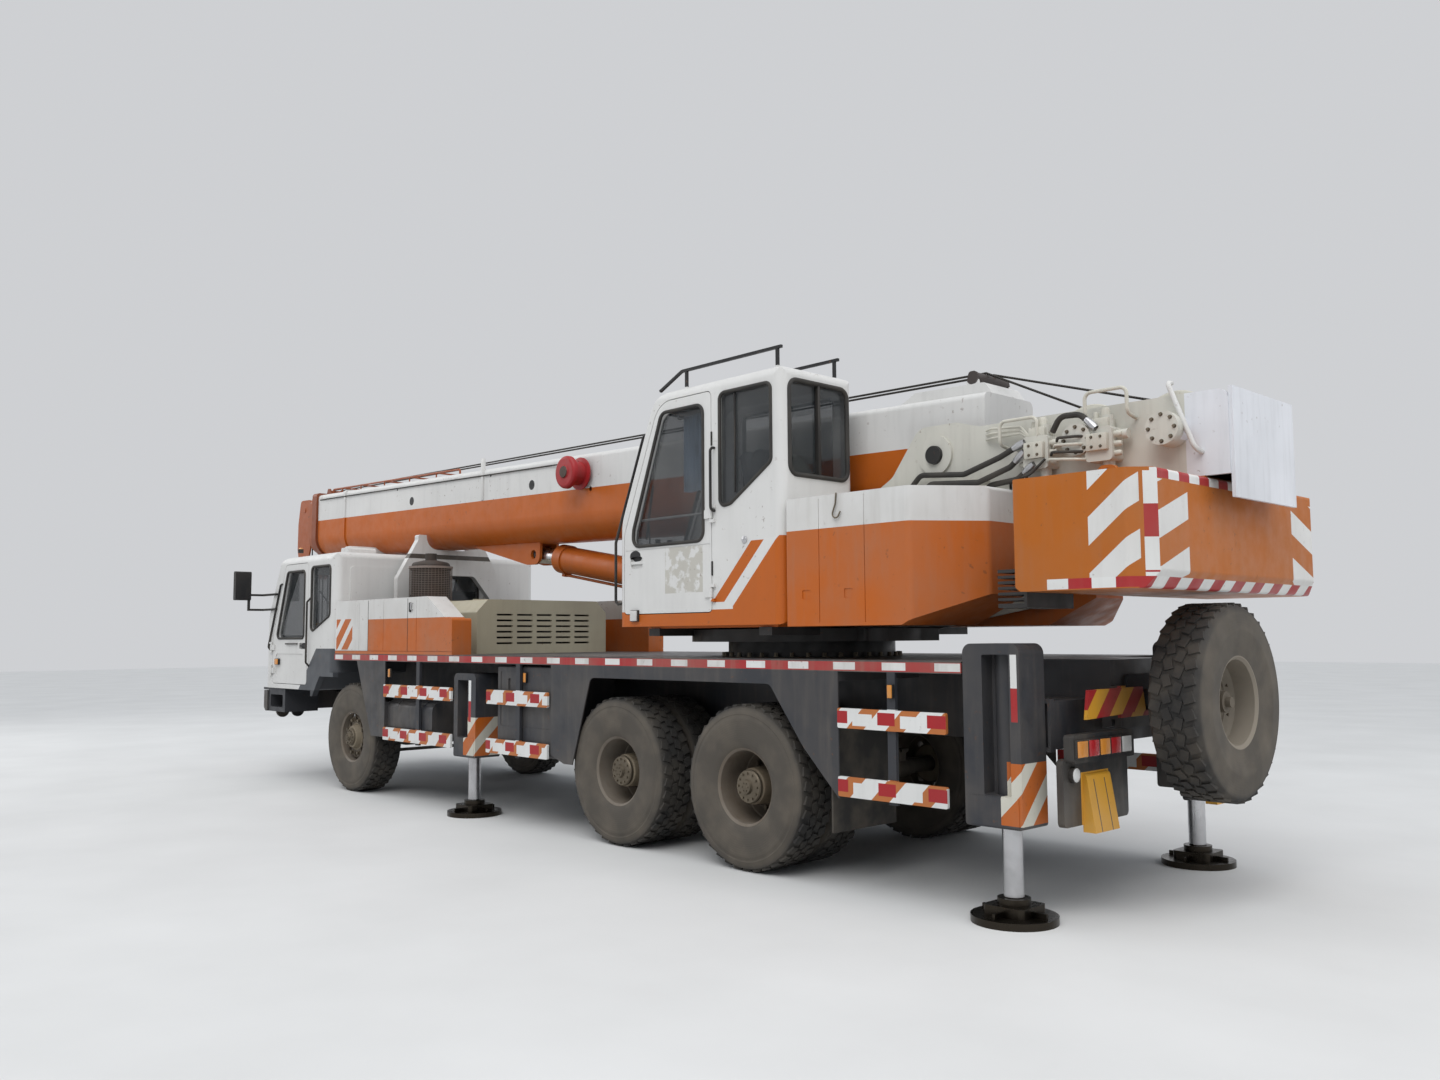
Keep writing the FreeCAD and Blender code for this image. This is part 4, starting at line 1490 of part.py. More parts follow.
def boom_head(inset_wall, front):
    """Side plates of the head with their cross bars and the hoist sheaves between them."""
    w, h = S.boom_half_width - inset_wall, S.boom_half_height - inset_wall
    c = S.boom_rise
    tip = front + S.head_length
    pin_x, pin_z = tip - S.head_pin_back, -S.head_pin_drop
    top_x, top_z = tip - 190, c + h - 70
    rear = front - S.section_step + 12
    plate = [(rear, c - h + 60), (front - 60, c - h - 40, 40), (pin_x - 110, pin_z - 10, 60), (pin_x - 60, pin_z - 70, 40),
             (pin_x + 60, pin_z - 70, 60), (tip, c - h + 20, 60), (tip, c + 60, 60), (tip - 60, c + h + 60, 60),
             (front - 40, c + h + 60, 40), (rear, c + h - 60)]
    pieces = []
    for name, side in SIDES:
        pieces.append(prism(f"head_plate_{name}", "XZ", plate, span(side, w - 2, w + 20)))
    for level, x, z, lanes in (("lower", pin_x, pin_z, HOOK_LANES), ("upper", top_x, top_z, (-45, 45))):
        pieces.append(cylinder(f"head_pin_{level}", "Y", (x, -w - 28, z), 30, w * 2 + 56))
        pieces += [sheave(f"head_sheave_{level}_{index}", x, lane, z, 25, 20) for index, lane in enumerate(lanes)]
        for index in range(len(lanes) - 1):
            gap_low, gap_high = lanes[index] + 19, lanes[index + 1] - 19
            pieces.append(cylinder(f"head_spacer_{level}_{index}", "Y", (x, gap_low, z), 45, gap_high - gap_low))
    # Cross bars that tie the plates and keep the ropes in their grooves
    for index, (x, z) in enumerate(((tip - 40, c - 60), (tip - 60, c + h + 20), (front + 20, c + h + 25))):
        pieces.append(cylinder(f"head_bar_{index}", "Y", (x, -w - 10, z), 16, w * 2 + 20))
    return pieces


def hook_block():
    """Hook block on its rope falls, straight below the head's lower sheaves."""
    tip = S.boom_base_length + S.section_step * 3 + S.head_length
    head_x, head_z = tip - S.head_pin_back, -S.head_pin_drop
    x = S.boom_pin_x + head_x * cosine(S.boom_tilt) - head_z * sine(S.boom_tilt)
    z = S.boom_pin_z + head_z * cosine(S.boom_tilt) + head_x * sine(S.boom_tilt)
    block_z, rope, groove = S.hook_block_z, 8, 18
    reach = S.sheave_radius - 20 + rope + S.seat_gap
    outer = HOOK_LANES[-1] + 32
    pieces = []
    for index, lane in enumerate(HOOK_LANES):
        pieces.append(sheave(f"block_sheave_{index}", x, lane, block_z, 25, groove))
        for name, along in (("rear", -1), ("front", 1)):
            pieces.append(cylinder(f"rope_fall_{index}_{name}", "Z", (x + along * reach, lane, block_z), rope, z - block_z))
    pieces.append(cylinder("block_pin", "Y", (x, -outer - 24, block_z), 30, outer * 2 + 48))
    for index in range(len(HOOK_LANES) - 1):
        gap_low, gap_high = HOOK_LANES[index] + 19, HOOK_LANES[index + 1] - 19
        pieces.append(cylinder(f"block_spacer_{index}", "Y", (x, gap_low, block_z), 45, gap_high - gap_low))
    neck_z = block_z - 230
    cheek = [(x - 70, neck_z, 20), (x + 70, neck_z, 20), (x + 150, block_z - 60, 60), (x + 150, block_z + 40, 60),
             (x + 60, block_z + 160, 40), (x - 60, block_z + 160, 40), (x - 150, block_z + 40, 60),
             (x - 150, block_z - 60, 60)]
    for name, side in SIDES:
        pieces.append(prism(f"hook_cheek_{name}", "XZ", cheek, span(side, outer, outer + 16)))
    pieces.append(cylinder("hook_trunnion", "Y", (x, -outer - 20, neck_z + 50), 34, outer * 2 + 40))
    pieces.append(box("hook_crosshead", (x - 45, x + 45), (-60, 60), (neck_z + 10, neck_z + 90)))
    pieces.append(cylinder("hook_shank", "Z", (x, 0, S.hook_throat_z + 80), 30, neck_z + 20 - S.hook_throat_z - 80))
    # The hook's curl: a round shank that bends to the rear below its eye and opens to the front
    t = S.hook_throat_z
    hook = [(x - 30, t + 130), (x - 30, t + 80, 60), (x - 115, t + 40, 50), (x - 125, t - 70, 70), (x - 50, t - 140, 60),
            (x + 60, t - 140, 70), (x + 130, t - 60, 40), (x + 110, t + 10, 8), (x + 75, t + 5, 8), (x + 60, t - 50, 30),
            (x + 10, t - 75, 30), (x - 50, t - 50, 40), (x - 50, t + 10, 30), (x + 30, t + 60, 40), (x + 30, t + 130)]
    pieces.append(prism("hook_curl", "XZ", hook, (-28, 28)))
    node("hook_block", fuse("hook_block", pieces))


def cable_reel():
    """Spring reel of the load limiter's cable: flanged drum on a bracket at the boom's left side."""
    x, z = in_boom_axes(S.reel_x, S.reel_z)
    seat, radius, width = S.boom_half_width + S.seat_gap, S.reel_radius, S.reel_width
    low = S.boom_half_width + 40
    high = low + width
    drum = [(0, low), (radius, low), (radius, low + 14), (radius - 40, low + 24), (radius - 40, high - 60),
            (radius, high - 50), (radius, high, 30), (60, high), (50, high + 14), (0, high + 14)]
    node("cable_reel", raise_boom(fuse("cable_reel", [
        rounded_box("reel_bracket", "XZ", (x - 70, x + 70), (seat, seat + 12), (z - 70, z + 70), 20),
        cylinder("reel_hub", "Y", (x, seat + 6, z), 50, 60),
        turned("reel_drum", drum, (x, 0, z)),
    ])))


def luffing_cylinder():
    """Barrel on the turntable's foot pin and the rod that runs in it, drawn level and then raised."""
    dx, dz = S.luff_eye_x - S.luff_foot_x, S.luff_eye_z - S.luff_foot_z
    length = Size(math.hypot(dx.value, dz.value), f"sqrt({dx.text}^2 + {dz.text}^2)")
    angle = Size(math.degrees(math.atan2(dz.value, dx.value)), f"atan2({dz.text}; {dx.text})")
    eye_half, radius = sized(78), S.luff_barrel_radius
    barrel_end = length - 350
    barrel = fuse("barrel_solid", [
        cylinder("barrel_tube", "X", (60, 0, 0), radius, barrel_end - 60),
        cylinder("barrel_gland", "X", (barrel_end - 120, 0, 0), radius + 12, 120),
        cylinder("barrel_eye", "Y", (0, -eye_half, 0), 90, eye_half * 2),
        box("barrel_valve", (190, 420), (-60, 60), (-radius - 45, 40 - radius)),
        cylinder("barrel_pipe", "X", (400, 0, -radius - 20), 14, barrel_end - 460),
        box("barrel_port", (barrel_end - 90, barrel_end - 40), (-25, 25), (-radius - 38, 10 - radius)),
    ])
    ears = [box(f"ear_room_{name}", (-200, 200), span(side, eye_half, 200), (-200, 150)) for name, side in SIDES]
    barrel = cut("luff_barrel", barrel, ears + [
        cylinder("barrel_bore", "X", (300, 0, 0), S.luff_rod_radius + S.pin_fit, barrel_end),
        cylinder("barrel_pin_bore", "Y", (0, -100, 0), S.luff_pin_radius + S.pin_fit, 200),
    ])
    rod = cut("luff_rod", fuse("rod_solid", [
        cylinder("rod_bar", "X", (340, 0, 0), S.luff_rod_radius, length - 340 - 40),
        cylinder("rod_eye", "Y", (length, -eye_half, 0), 85, eye_half * 2),
    ]), [cylinder("rod_pin_bore", "Y", (length, -100, 0), S.luff_pin_radius + S.pin_fit, 200)])
    for name, obj in (("luff_barrel", barrel), ("luff_rod", rod)):
        obj.Placement = Placement(Vector(), Rotation(Vector(0, -1, 0), angle.value))
        obj.setExpression("Placement.Rotation.Angle", angle.text)
        place(obj, S.luff_foot_x, 0, S.luff_foot_z)
        node(name, obj)


for build in (chassis_frame, deck, side_boxes, side_guards, tool_covers, engine_hood, engine, muffler, boom_rest,
              driver_cab, driver_doors, driver_cab_glass, driver_cab_interior, front_bumper, mirrors, front_axle,
              knuckles, rear_axles, wheels, spare_wheel, lamp_boards, outriggers, turntable, operator_cab,
              operator_door, operator_glass, operator_interior, upper_covers, counterweight, winches, boom,
              hook_block, cable_reel, luffing_cylinder):
    build()
doc.recompute()

faults = [f"{obj.Label}: {obj.State}" for obj in doc.Objects if {"Invalid", "Error"} & set(obj.State)]
faults += [f"{obj.Label}: no valid shape" for obj in NODES if obj.Shape.isNull() or not obj.Shape.isValid()]
if faults:
    raise RuntimeError("; ".join(faults))
for obj in NODES:
    obj.Shape.exportStep(f"parts/{obj.Label}.step")
    print(obj.Label, len(obj.Shape.Solids), obj.Shape.BoundBox)
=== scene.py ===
"""Finishes and small parts for a three-axle truck crane: paint, tyres, ropes, hoses, panes, lamps and marks."""
import functools
import math

import bmesh
import bpy
from mathutils import Matrix, Vector


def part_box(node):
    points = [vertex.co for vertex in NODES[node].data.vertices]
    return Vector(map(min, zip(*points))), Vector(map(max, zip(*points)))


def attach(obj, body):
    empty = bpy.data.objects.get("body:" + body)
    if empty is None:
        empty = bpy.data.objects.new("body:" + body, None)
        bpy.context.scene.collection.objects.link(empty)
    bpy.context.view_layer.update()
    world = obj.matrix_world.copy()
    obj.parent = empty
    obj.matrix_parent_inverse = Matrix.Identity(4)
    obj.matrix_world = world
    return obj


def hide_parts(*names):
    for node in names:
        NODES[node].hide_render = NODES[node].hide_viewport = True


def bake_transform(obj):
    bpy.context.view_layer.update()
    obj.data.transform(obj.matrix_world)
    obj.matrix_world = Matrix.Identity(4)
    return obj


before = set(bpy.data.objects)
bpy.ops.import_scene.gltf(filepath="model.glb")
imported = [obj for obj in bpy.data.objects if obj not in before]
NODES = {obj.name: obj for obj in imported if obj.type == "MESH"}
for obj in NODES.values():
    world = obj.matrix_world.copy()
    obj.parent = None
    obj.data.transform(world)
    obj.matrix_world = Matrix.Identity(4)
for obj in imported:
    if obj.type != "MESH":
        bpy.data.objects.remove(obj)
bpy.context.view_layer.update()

bl_info = {
    "name": "Truck Crane Dresser",
    "version": (1, 0, 0),
    "blender": (4, 5, 0),
    "location": "3D View > Sidebar > Crane",
    "description": "Paints a three-axle truck crane and adds its tyres, ropes, hoses, panes, lamps and marks",
    "category": "Add Mesh",
}

X, Y, Z = Vector((1, 0, 0)), Vector((0, 1, 0)), Vector((0, 0, 1))
SIDES = (("left", 1), ("right", -1))

# Places of the crane's own parts, in metres
WHEEL_Z = 0.55
AXLES = (("front", 2.6), ("middle", -1.825), ("rear", -3.175))
FRONT_WHEEL_Y, OUTER_WHEEL_Y, TWIN_SPACING = 1.032, 1.077, 0.343
SPARE = Vector((-5.8475, 0.06, 1.16))
BOOM_PIN, BOOM_TILT = Vector((-4.22, 0, 2.73)), math.radians(1.4)
CAB_REAR, CAB_SIDE, OPERATOR_SIDE, OPERATOR_REAR = 2.885, 1.25, 1.2, -3.537
CHEEK_SIDE = 0.43
JACKS = (("front", 0.31, 1.24), ("rear", -5.165, 1.5))      # name, place along X, top of the housing
WINCHES = (("main", -5.31, 0.045), ("auxiliary", -5.83, -0.045))      # name, place along X, lane of the rope
WINCH_Z = 2.68
SILENCER = (2.35, 0.43)


def on_boom(along, across, above):
    """Point of the machine for a place in the resting boom's own axes."""
    c, s = math.cos(BOOM_TILT), math.sin(BOOM_TILT)
    return BOOM_PIN + Vector((along * c - above * s, across, along * s + above * c))


TAIL_ROLLER = on_boom(-0.12, 0, 0.54)


def on_cab_screen(y, z):
    return Vector((4.712 - 0.495 * (z - 1.48), y, z))


def on_operator_screen(y, z):
    return Vector((-1.808 - 0.426 * max(0, z - 2.27), y, z))


# Paint and finishes

class Paint:
    """One procedural material over the object's own coordinates, in metres."""

    def __init__(self, name, rough=0.45, metal=0.0, coat=0.0):
        self.material = bpy.data.materials.new(name)
        self.material.use_nodes = True
        self.tree = self.material.node_tree
        self.shader = self.tree.nodes["Principled BSDF"]
        self.shader.inputs["Roughness"].default_value = rough
        self.shader.inputs["Metallic"].default_value = metal
        self.shader.inputs["Coat Weight"].default_value = coat
        self.place = self.tree.nodes.new("ShaderNodeTexCoord").outputs["Object"]

    def join(self, socket, value):
        if isinstance(value, bpy.types.NodeSocket):
            self.tree.links.new(value, socket)
        elif isinstance(value, (tuple, list)) and len(value) == 3 and socket.type == "RGBA":
            socket.default_value = (*value, 1.0)
        else:
            socket.default_value = value

    def node(self, kind, inputs, out=0, **settings):
        node = self.tree.nodes.new("ShaderNode" + kind)
        for key, value in settings.items():
            setattr(node, key, value)
        for key, value in inputs.items():
            self.join(node.inputs[key], value)
        return node.outputs[out]

    def math(self, operation, a, b=0.0, clamp=False):
        return self.node("Math", {0: a, 1: b}, operation=operation, use_clamp=clamp)

    def along(self, direction):
        """Distance along a direction."""
        return self.node("VectorMath", {0: self.place, 1: direction}, "Value", operation="DOT_PRODUCT")

    def off(self, centre, keep=(1, 1, 1)):
        """Distance from a centre, measured over the kept axes only."""
        shift = self.node("VectorMath", {0: self.place, 1: centre}, operation="SUBTRACT")
        flat = self.node("VectorMath", {0: shift, 1: keep}, operation="MULTIPLY")
        return self.node("VectorMath", {0: flat}, "Value", operation="LENGTH")

    def within(self, direction, low, high):
        value = self.along(direction)
        return self.math("MULTIPLY", self.math("GREATER_THAN", value, low), self.math("LESS_THAN", value, high))

    def block(self, x=None, y=None, z=None):
        """Mask of an upright box; a missing pair leaves that axis open."""
        mask = None
        for axis, pair in ((X, x), (Y, y), (Z, z)):
            if pair:
                part = self.within(axis, *pair)
                mask = part if mask is None else self.math("MULTIPLY", mask, part)
        return mask

    def stripes(self, direction, period, share, offset=0.0):
        """Mask of bands that fill a share of each period; the offset is raised so that no place is below zero."""
        place = self.math("ADD", self.along(direction), offset + 100 * period)
        return self.math("LESS_THAN", self.math("FRACT", self.math("DIVIDE", place, period)), share)

    def both(self, *masks):
        result = masks[0]
        for mask in masks[1:]:
            result = self.math("MULTIPLY", result, mask)
        return result

    def mix(self, mask, a, b):
        return self.node("Mix", {0: mask, 6: a, 7: b}, 2, data_type="RGBA")

    def noise(self, scale, detail=3.0, stretch=(1, 1, 1), low=0.0, high=1.0):
        """Cloudy value from 0 to 1, cut off below low and above high."""
        place = self.node("Mapping", {"Scale": stretch, "Vector": self.place})
        cloud = self.node("TexNoise", {"Scale": scale, "Detail": detail, "Vector": place}, "Fac")
        return self.ramp(cloud, low, high)

    def ramp(self, value, low, high):
        return self.node("MapRange", {"Value": value, "From Min": low, "From Max": high})

    def rough(self, value, low, high):
        """Roughness that follows a value from 0 to 1."""
        self.join(self.shader.inputs["Roughness"],
                  self.node("MapRange", {"Value": value, "To Min": low, "To Max": high}))

    def bump(self, height, depth, strength=0.4):
        self.join(self.shader.inputs["Normal"],
                  self.node("Bump", {"Distance": depth, "Strength": strength, "Height": height}))

    def weather(self, colour, dirt, amount, low, high):
        """Dust that settles towards low and thins out at high, with streaks that run down."""
        height = self.ramp(self.along(Z), high, low)
        cloud = self.noise(2.3, 6, low=0.35, high=0.75)
        streak = self.noise(6.0, 4, (3.0, 3.0, 0.35), low=0.5, high=0.85)
        settled = self.math("MULTIPLY", self.math("ADD", self.math("MULTIPLY", height, 0.7), 0.15), cloud)
        settled = self.math("ADD", settled, self.math("MULTIPLY", streak, 0.35))
        return self.mix(self.math("MULTIPLY", settled, amount, clamp=True), colour, dirt)

    def mark(self, base, marks):
        """Lays rows of (mask maker, colour) over a base in turn."""
        for maker, colour in marks:
            base = self.mix(maker(self), base, colour)
        return base

    def done(self, colour):
        self.join(self.shader.inputs["Base Color"], colour)
        return self.material


DUST, GRIME, RUST = (0.235, 0.195, 0.150), (0.07, 0.06, 0.05), (0.13, 0.06, 0.03)
WHITE = (0.68, 0.672, 0.65)
CREAM = (0.60, 0.58, 0.50)
ORANGE = (0.47, 0.106, 0.008)
SLATE = (0.036, 0.038, 0.044)
BEIGE = (0.42, 0.385, 0.28)
BLACK = (0.012, 0.012, 0.013)
RED = (0.36, 0.016, 0.020)
AMBER = (0.75, 0.28, 0.03)
YELLOW = (0.66, 0.33, 0.03)
TAPE_WHITE = (0.72, 0.72, 0.70)


def painted(name, colour, dirt=DUST, amount=0.5, low=0.4, high=3.6, rough=(0.32, 0.6), marks=(), chips=0.5):
    """Sprayed metal with dust and chips. marks: rows of (mask maker, colour), laid over each other in turn."""
    paint = Paint(name, coat=0.04)
    paint.shader.inputs["Specular IOR Level"].default_value = 0.32
    base = paint.mix(paint.noise(1.1, 4, low=0.3, high=0.7), tuple(c * 0.93 for c in colour), colour)
    base = paint.mark(base, marks)
    base = paint.weather(base, dirt, amount, low, high)
    spots = paint.math("MULTIPLY", paint.noise(26.0, 7, low=0.66, high=0.70), chips)
    base = paint.mix(paint.math("MULTIPLY", spots, paint.noise(1.7, 3, low=0.45, high=0.6)), base, RUST)
    paint.rough(paint.noise(9.0, 5, low=0.3, high=0.7), *rough)
    paint.bump(paint.noise(140.0, 2), 0.0004, 0.25)
    return paint.done(base)


def bare_metal(name, colour=(0.55, 0.55, 0.56), rough=(0.22, 0.42), marks=()):
    paint = Paint(name, metal=1.0)
    base = paint.mix(paint.noise(6.0, 5, low=0.4, high=0.7), colour, tuple(c * 0.75 for c in colour))
    base = paint.mark(base, marks)
    paint.rough(paint.noise(20.0, 4, (1, 1, 0.1), low=0.3, high=0.7), *rough)
    return paint.done(base)


def rubber(name, centre=None, dust=0.5, marks=()):
    """Tyre or seal rubber; round a wheel's centre the walls are dusty and the tread is dark."""
    paint = Paint(name, rough=0.8)
    base = paint.mix(paint.noise(3.0, 6, low=0.35, high=0.75), (0.020, 0.019, 0.018), (0.040, 0.037, 0.033))
    settled = paint.math("MULTIPLY", paint.noise(5.0, 6, low=0.40, high=0.75), dust)
    if centre:
        out = paint.off(centre, (1, 0, 1) if centre[0] > -5.5 else (0, 1, 1))
        wall = paint.ramp(out, 0.535, 0.505)
        settled = paint.math("ADD", settled, paint.math("MULTIPLY", wall, 0.45), clamp=True)
        rings = paint.math("SINE", paint.math("MULTIPLY", out, 420.0))
        paint.bump(paint.math("ADD", paint.noise(120.0, 3), paint.math("MULTIPLY", rings, 0.4)), 0.0008, 0.4)
    else:
        paint.bump(paint.noise(220.0, 3), 0.0006, 0.35)
    base = paint.mix(settled, base, (0.118, 0.099, 0.076))
    base = paint.mark(base, marks)
    paint.rough(paint.noise(12.0, 4), 0.68, 0.92)
    return paint.done(base)


def glass(name, tint=(0.020, 0.026, 0.030), alpha=0.43):
    paint = Paint(name, rough=0.04)
    paint.shader.inputs["Alpha"].default_value = alpha
    paint.shader.inputs["Specular IOR Level"].default_value = 0.9
    paint.material.surface_render_method = "BLENDED"
    film = paint.noise(3.0, 5, low=0.45, high=0.8)
    return paint.done(paint.mix(paint.math("MULTIPLY", film, 0.14), tint, (0.42, 0.42, 0.40)))


def lens(name, colour):
    """Coloured lamp lens with a ribbed inside."""
    paint = Paint(name, rough=0.14, coat=0.4)
    ribs = paint.math("SINE", paint.math("MULTIPLY", paint.along((Y + X).normalized()), 900.0))
    base = paint.mix(paint.ramp(ribs, -1, 1), tuple(c * 0.7 for c in colour), colour)
    paint.bump(ribs, 0.0008, 0.4)
    return paint.done(paint.mix(paint.math("MULTIPLY", paint.noise(7, 5, low=0.4, high=0.8), 0.3), base, DUST))


def fabric(name, colour, count=900.0):
    """Woven cloth of a seat or a curtain."""
    paint = Paint(name, rough=0.9)
    paint.shader.inputs["Sheen Weight"].default_value = 0.3
    over = paint.math("SINE", paint.math("MULTIPLY", paint.along(Y), count))
    under = paint.math("SINE", paint.math("MULTIPLY", paint.along((X + Z).normalized()), count))
    weave = paint.math("MULTIPLY", over, under)
    base = paint.mix(paint.ramp(weave, -1, 1), tuple(c * 0.75 for c in colour), colour)
    base = paint.mix(paint.math("MULTIPLY", paint.noise(8, 5, low=0.45, high=0.8), 0.4), base, (0.16, 0.14, 0.12))
    paint.bump(weave, 0.0006, 0.5)
    return paint.done(base)


def pair(stem):
    """Names of the left and the right one of two nodes."""
    return f"{stem}_left", f"{stem}_right"


def dress(material, *names):
    """Gives a finish to CAD nodes whose own shape shows."""
    for name in names:
        for place in NODES[name].material_slots:
            place.link = "OBJECT"
            place.material = material


# Shapes of the added pieces, each a plain mesh

def from_bmesh(bm):
    mesh = bpy.data.meshes.new("shape")
    bmesh.ops.remove_doubles(bm, verts=bm.verts, dist=1e-6)
    bmesh.ops.recalc_face_normals(bm, faces=bm.faces)
    bm.to_mesh(mesh)
    bm.free()
    return mesh


def soften(bm, radius, steps=2):
    if radius:
        edges = [e for e in bm.edges if len(e.link_faces) == 2 and e.calc_face_angle() > 0.5]
        bmesh.ops.bevel(bm, geom=edges, offset=radius, segments=steps, profile=0.5, affect="EDGES",
                        clamp_overlap=True)


def block(x, y, z, radius=0.004):
    """Box between limits on each axis, with softened edges."""
    bm = bmesh.new()
    bmesh.ops.create_cube(bm, size=1)
    for v in bm.verts:
        v.co = Vector([(low + high) / 2 + k * abs(high - low) for (low, high), k in zip((x, y, z), v.co)])
    soften(bm, radius)
    return from_bmesh(bm)


def slab(points, thick, radius=0.003):
    """Plate from its outline in space, thickened along the outline's normal."""
    bm = bmesh.new()
    face = bm.faces.new([bm.verts.new(p) for p in points])
    face.normal_update()
    lift = face.normal * thick
    grown = bmesh.ops.extrude_face_region(bm, geom=[face])["geom"]
    bmesh.ops.translate(bm, verts=[g for g in grown if isinstance(g, bmesh.types.BMVert)], vec=lift)
    bmesh.ops.recalc_face_normals(bm, faces=bm.faces)
    soften(bm, radius)
    return from_bmesh(bm)


def upright(outline, y, side=1):
    """Points of an outline in X and Z on a face along the machine's side."""
    return [(u, side * y, v) for u, v in outline]


def lathe(profile, centre, axis, steps=40):
    """Ring turned from (radius, distance along the axis) pairs, closed where its profile closes."""
    axis = Vector(axis).normalized()
    other = X if abs(axis.x) < 0.5 else Z
    across = axis.cross(other).normalized()
    up = axis.cross(across)
    bm = bmesh.new()
    rows = []
    for radius, out in profile:
        row = []
        for k in range(steps if radius > 1e-6 else 1):
            a = 2 * math.pi * k / steps
            row.append(bm.verts.new(Vector(centre) + axis * out + (across * math.cos(a) + up * math.sin(a)) * radius))
        rows.append(row)
    closed = profile[0][0] > 1e-6 and profile[-1][0] > 1e-6
    for a, b in zip(rows, rows[1:] + rows[:1] if closed else rows[1:]):
        for k in range(steps):
            ring = [a[k % len(a)], a[(k + 1) % len(a)], b[(k + 1) % len(b)], b[k % len(b)]]
            corners = []
            for v in ring:
                if v not in corners:
                    corners.append(v)
            if len(corners) > 2:
                bm.faces.new(corners)
    return from_bmesh(bm)


# Geometry Nodes recipes for what repeats or follows a path

class Recipe:
    """A Geometry Nodes tree with named sizes that ends in real geometry with its finish."""

    def __init__(self, name, **sizes):
        self.tree = bpy.data.node_groups.new(name, "GeometryNodeTree")
        face = self.tree.interface
        face.new_socket("Geometry", in_out="OUTPUT", socket_type="NodeSocketGeometry")
        face.new_socket("Geometry", in_out="INPUT", socket_type="NodeSocketGeometry")
        for label, value in sizes.items():
            kind = "NodeSocketInt" if isinstance(value, int) else "NodeSocketFloat"
            face.new_socket(label, in_out="INPUT", socket_type=kind).default_value = value
        face.new_socket("Finish", in_out="INPUT", socket_type="NodeSocketMaterial")
        self.given = self.tree.nodes.new("NodeGroupInput").outputs
        self.result = self.tree.nodes.new("NodeGroupOutput").inputs

    def add(self, kind, inputs, **settings):
        node = self.tree.nodes.new("GeometryNode" + kind if not kind.startswith("Shader") else kind)
        for key, value in settings.items():
            setattr(node, key, value)
        for key, value in inputs.items():
            if isinstance(value, bpy.types.NodeSocket):
                self.tree.links.new(value, node.inputs[key])
            else:
                node.inputs[key].default_value = value
        return node.outputs[0]

    def math(self, operation, a, b=0.0):
        return self.add("ShaderNodeMath", {0: a, 1: b}, operation=operation)

    def vector(self, x=0.0, y=0.0, z=0.0):
        return self.add("ShaderNodeCombineXYZ", {0: x, 1: y, 2: z})

    def repeat(self, points, instance, **inputs):
        return self.add("InstanceOnPoints", {"Points": points, "Instance": instance, **inputs})

    def close(self, geometry):
        real = self.add("RealizeInstances", {"Geometry": geometry})
        smooth = self.add("SetShadeSmooth", {0: real})
        self.tree.links.new(self.add("SetMaterial", {"Geometry": smooth, "Material": self.given["Finish"]}),
                            self.result["Geometry"])
        return self

    def grow(self, mesh, place=None, **sizes):
        """Runs the recipe over a mesh and returns the result as a plain mesh, turned and moved by a matrix."""
        carrier = bpy.data.objects.new("grown", mesh or bpy.data.meshes.new("start"))
        bpy.context.scene.collection.objects.link(carrier)
        modifier = carrier.modifiers.new("recipe", "NODES")
        modifier.node_group = self.tree
        for socket in self.tree.interface.items_tree:
            if socket.in_out == "INPUT" and socket.name in sizes:
                modifier[socket.identifier] = sizes[socket.name]
        depsgraph = bpy.context.evaluated_depsgraph_get()
        grown = bpy.data.meshes.new_from_object(carrier.evaluated_get(depsgraph))
        bpy.data.objects.remove(carrier)
        grown.materials.clear()
        if place:
            grown.transform(place)
        return grown


def path_mesh(points, closed=False):
    mesh = bpy.data.meshes.new("path")
    count = len(points)
    edges = [(k, (k + 1) % count) for k in range(count if closed else count - 1)]
    mesh.from_pydata([tuple(p) for p in points], edges, [])
    return mesh


def tube_recipe():
    """Round tube, hose, rope or seal along a path with rounded bends."""
    r = Recipe("tube_along_path", Radius=0.01, Bend=0.05, Sides=10)
    line = r.add("MeshToCurve", {"Mesh": r.given["Geometry"]})
    bent = r.add("FilletCurve", {"Curve": line, "Radius": r.given["Bend"], "Limit Radius": True, "Count": 6},
                 mode="POLY")
    ring = r.add("CurvePrimitiveCircle", {"Resolution": r.given["Sides"], "Radius": r.given["Radius"]})
    return r.close(r.add("CurveToMesh", {"Curve": bent, "Profile Curve": ring, "Fill Caps": True}))


def bolt_recipe():
    """Ring of six-sided nuts or bolt heads round an axis along Z, each on its washer."""
    r = Recipe("bolt_ring", Count=8, Ring=0.1, Bolt=0.012, Height=0.015, Phase=0.0)
    spots = r.add("MeshCircle", {"Vertices": r.given["Count"], "Radius": r.given["Ring"]})
    head = r.add("MeshCylinder", {"Vertices": 6, "Radius": r.given["Bolt"], "Depth": r.given["Height"]})
    half = r.vector(z=r.math("MULTIPLY", r.given["Height"], 0.5))
    head = r.add("Transform", {"Geometry": head, "Translation": half})
    washer = r.add("MeshCylinder", {"Vertices": 12, "Radius": r.math("MULTIPLY", r.given["Bolt"], 1.35),
                                    "Depth": r.math("MULTIPLY", r.given["Height"], 0.3)})
    both = r.tree.nodes.new("GeometryNodeJoinGeometry")
    r.tree.links.new(head, both.inputs[0])
    r.tree.links.new(washer, both.inputs[0])
    ring = r.repeat(spots, both.outputs[0])
    return r.close(r.add("Transform", {"Geometry": ring, "Rotation": r.vector(z=r.given["Phase"])}))


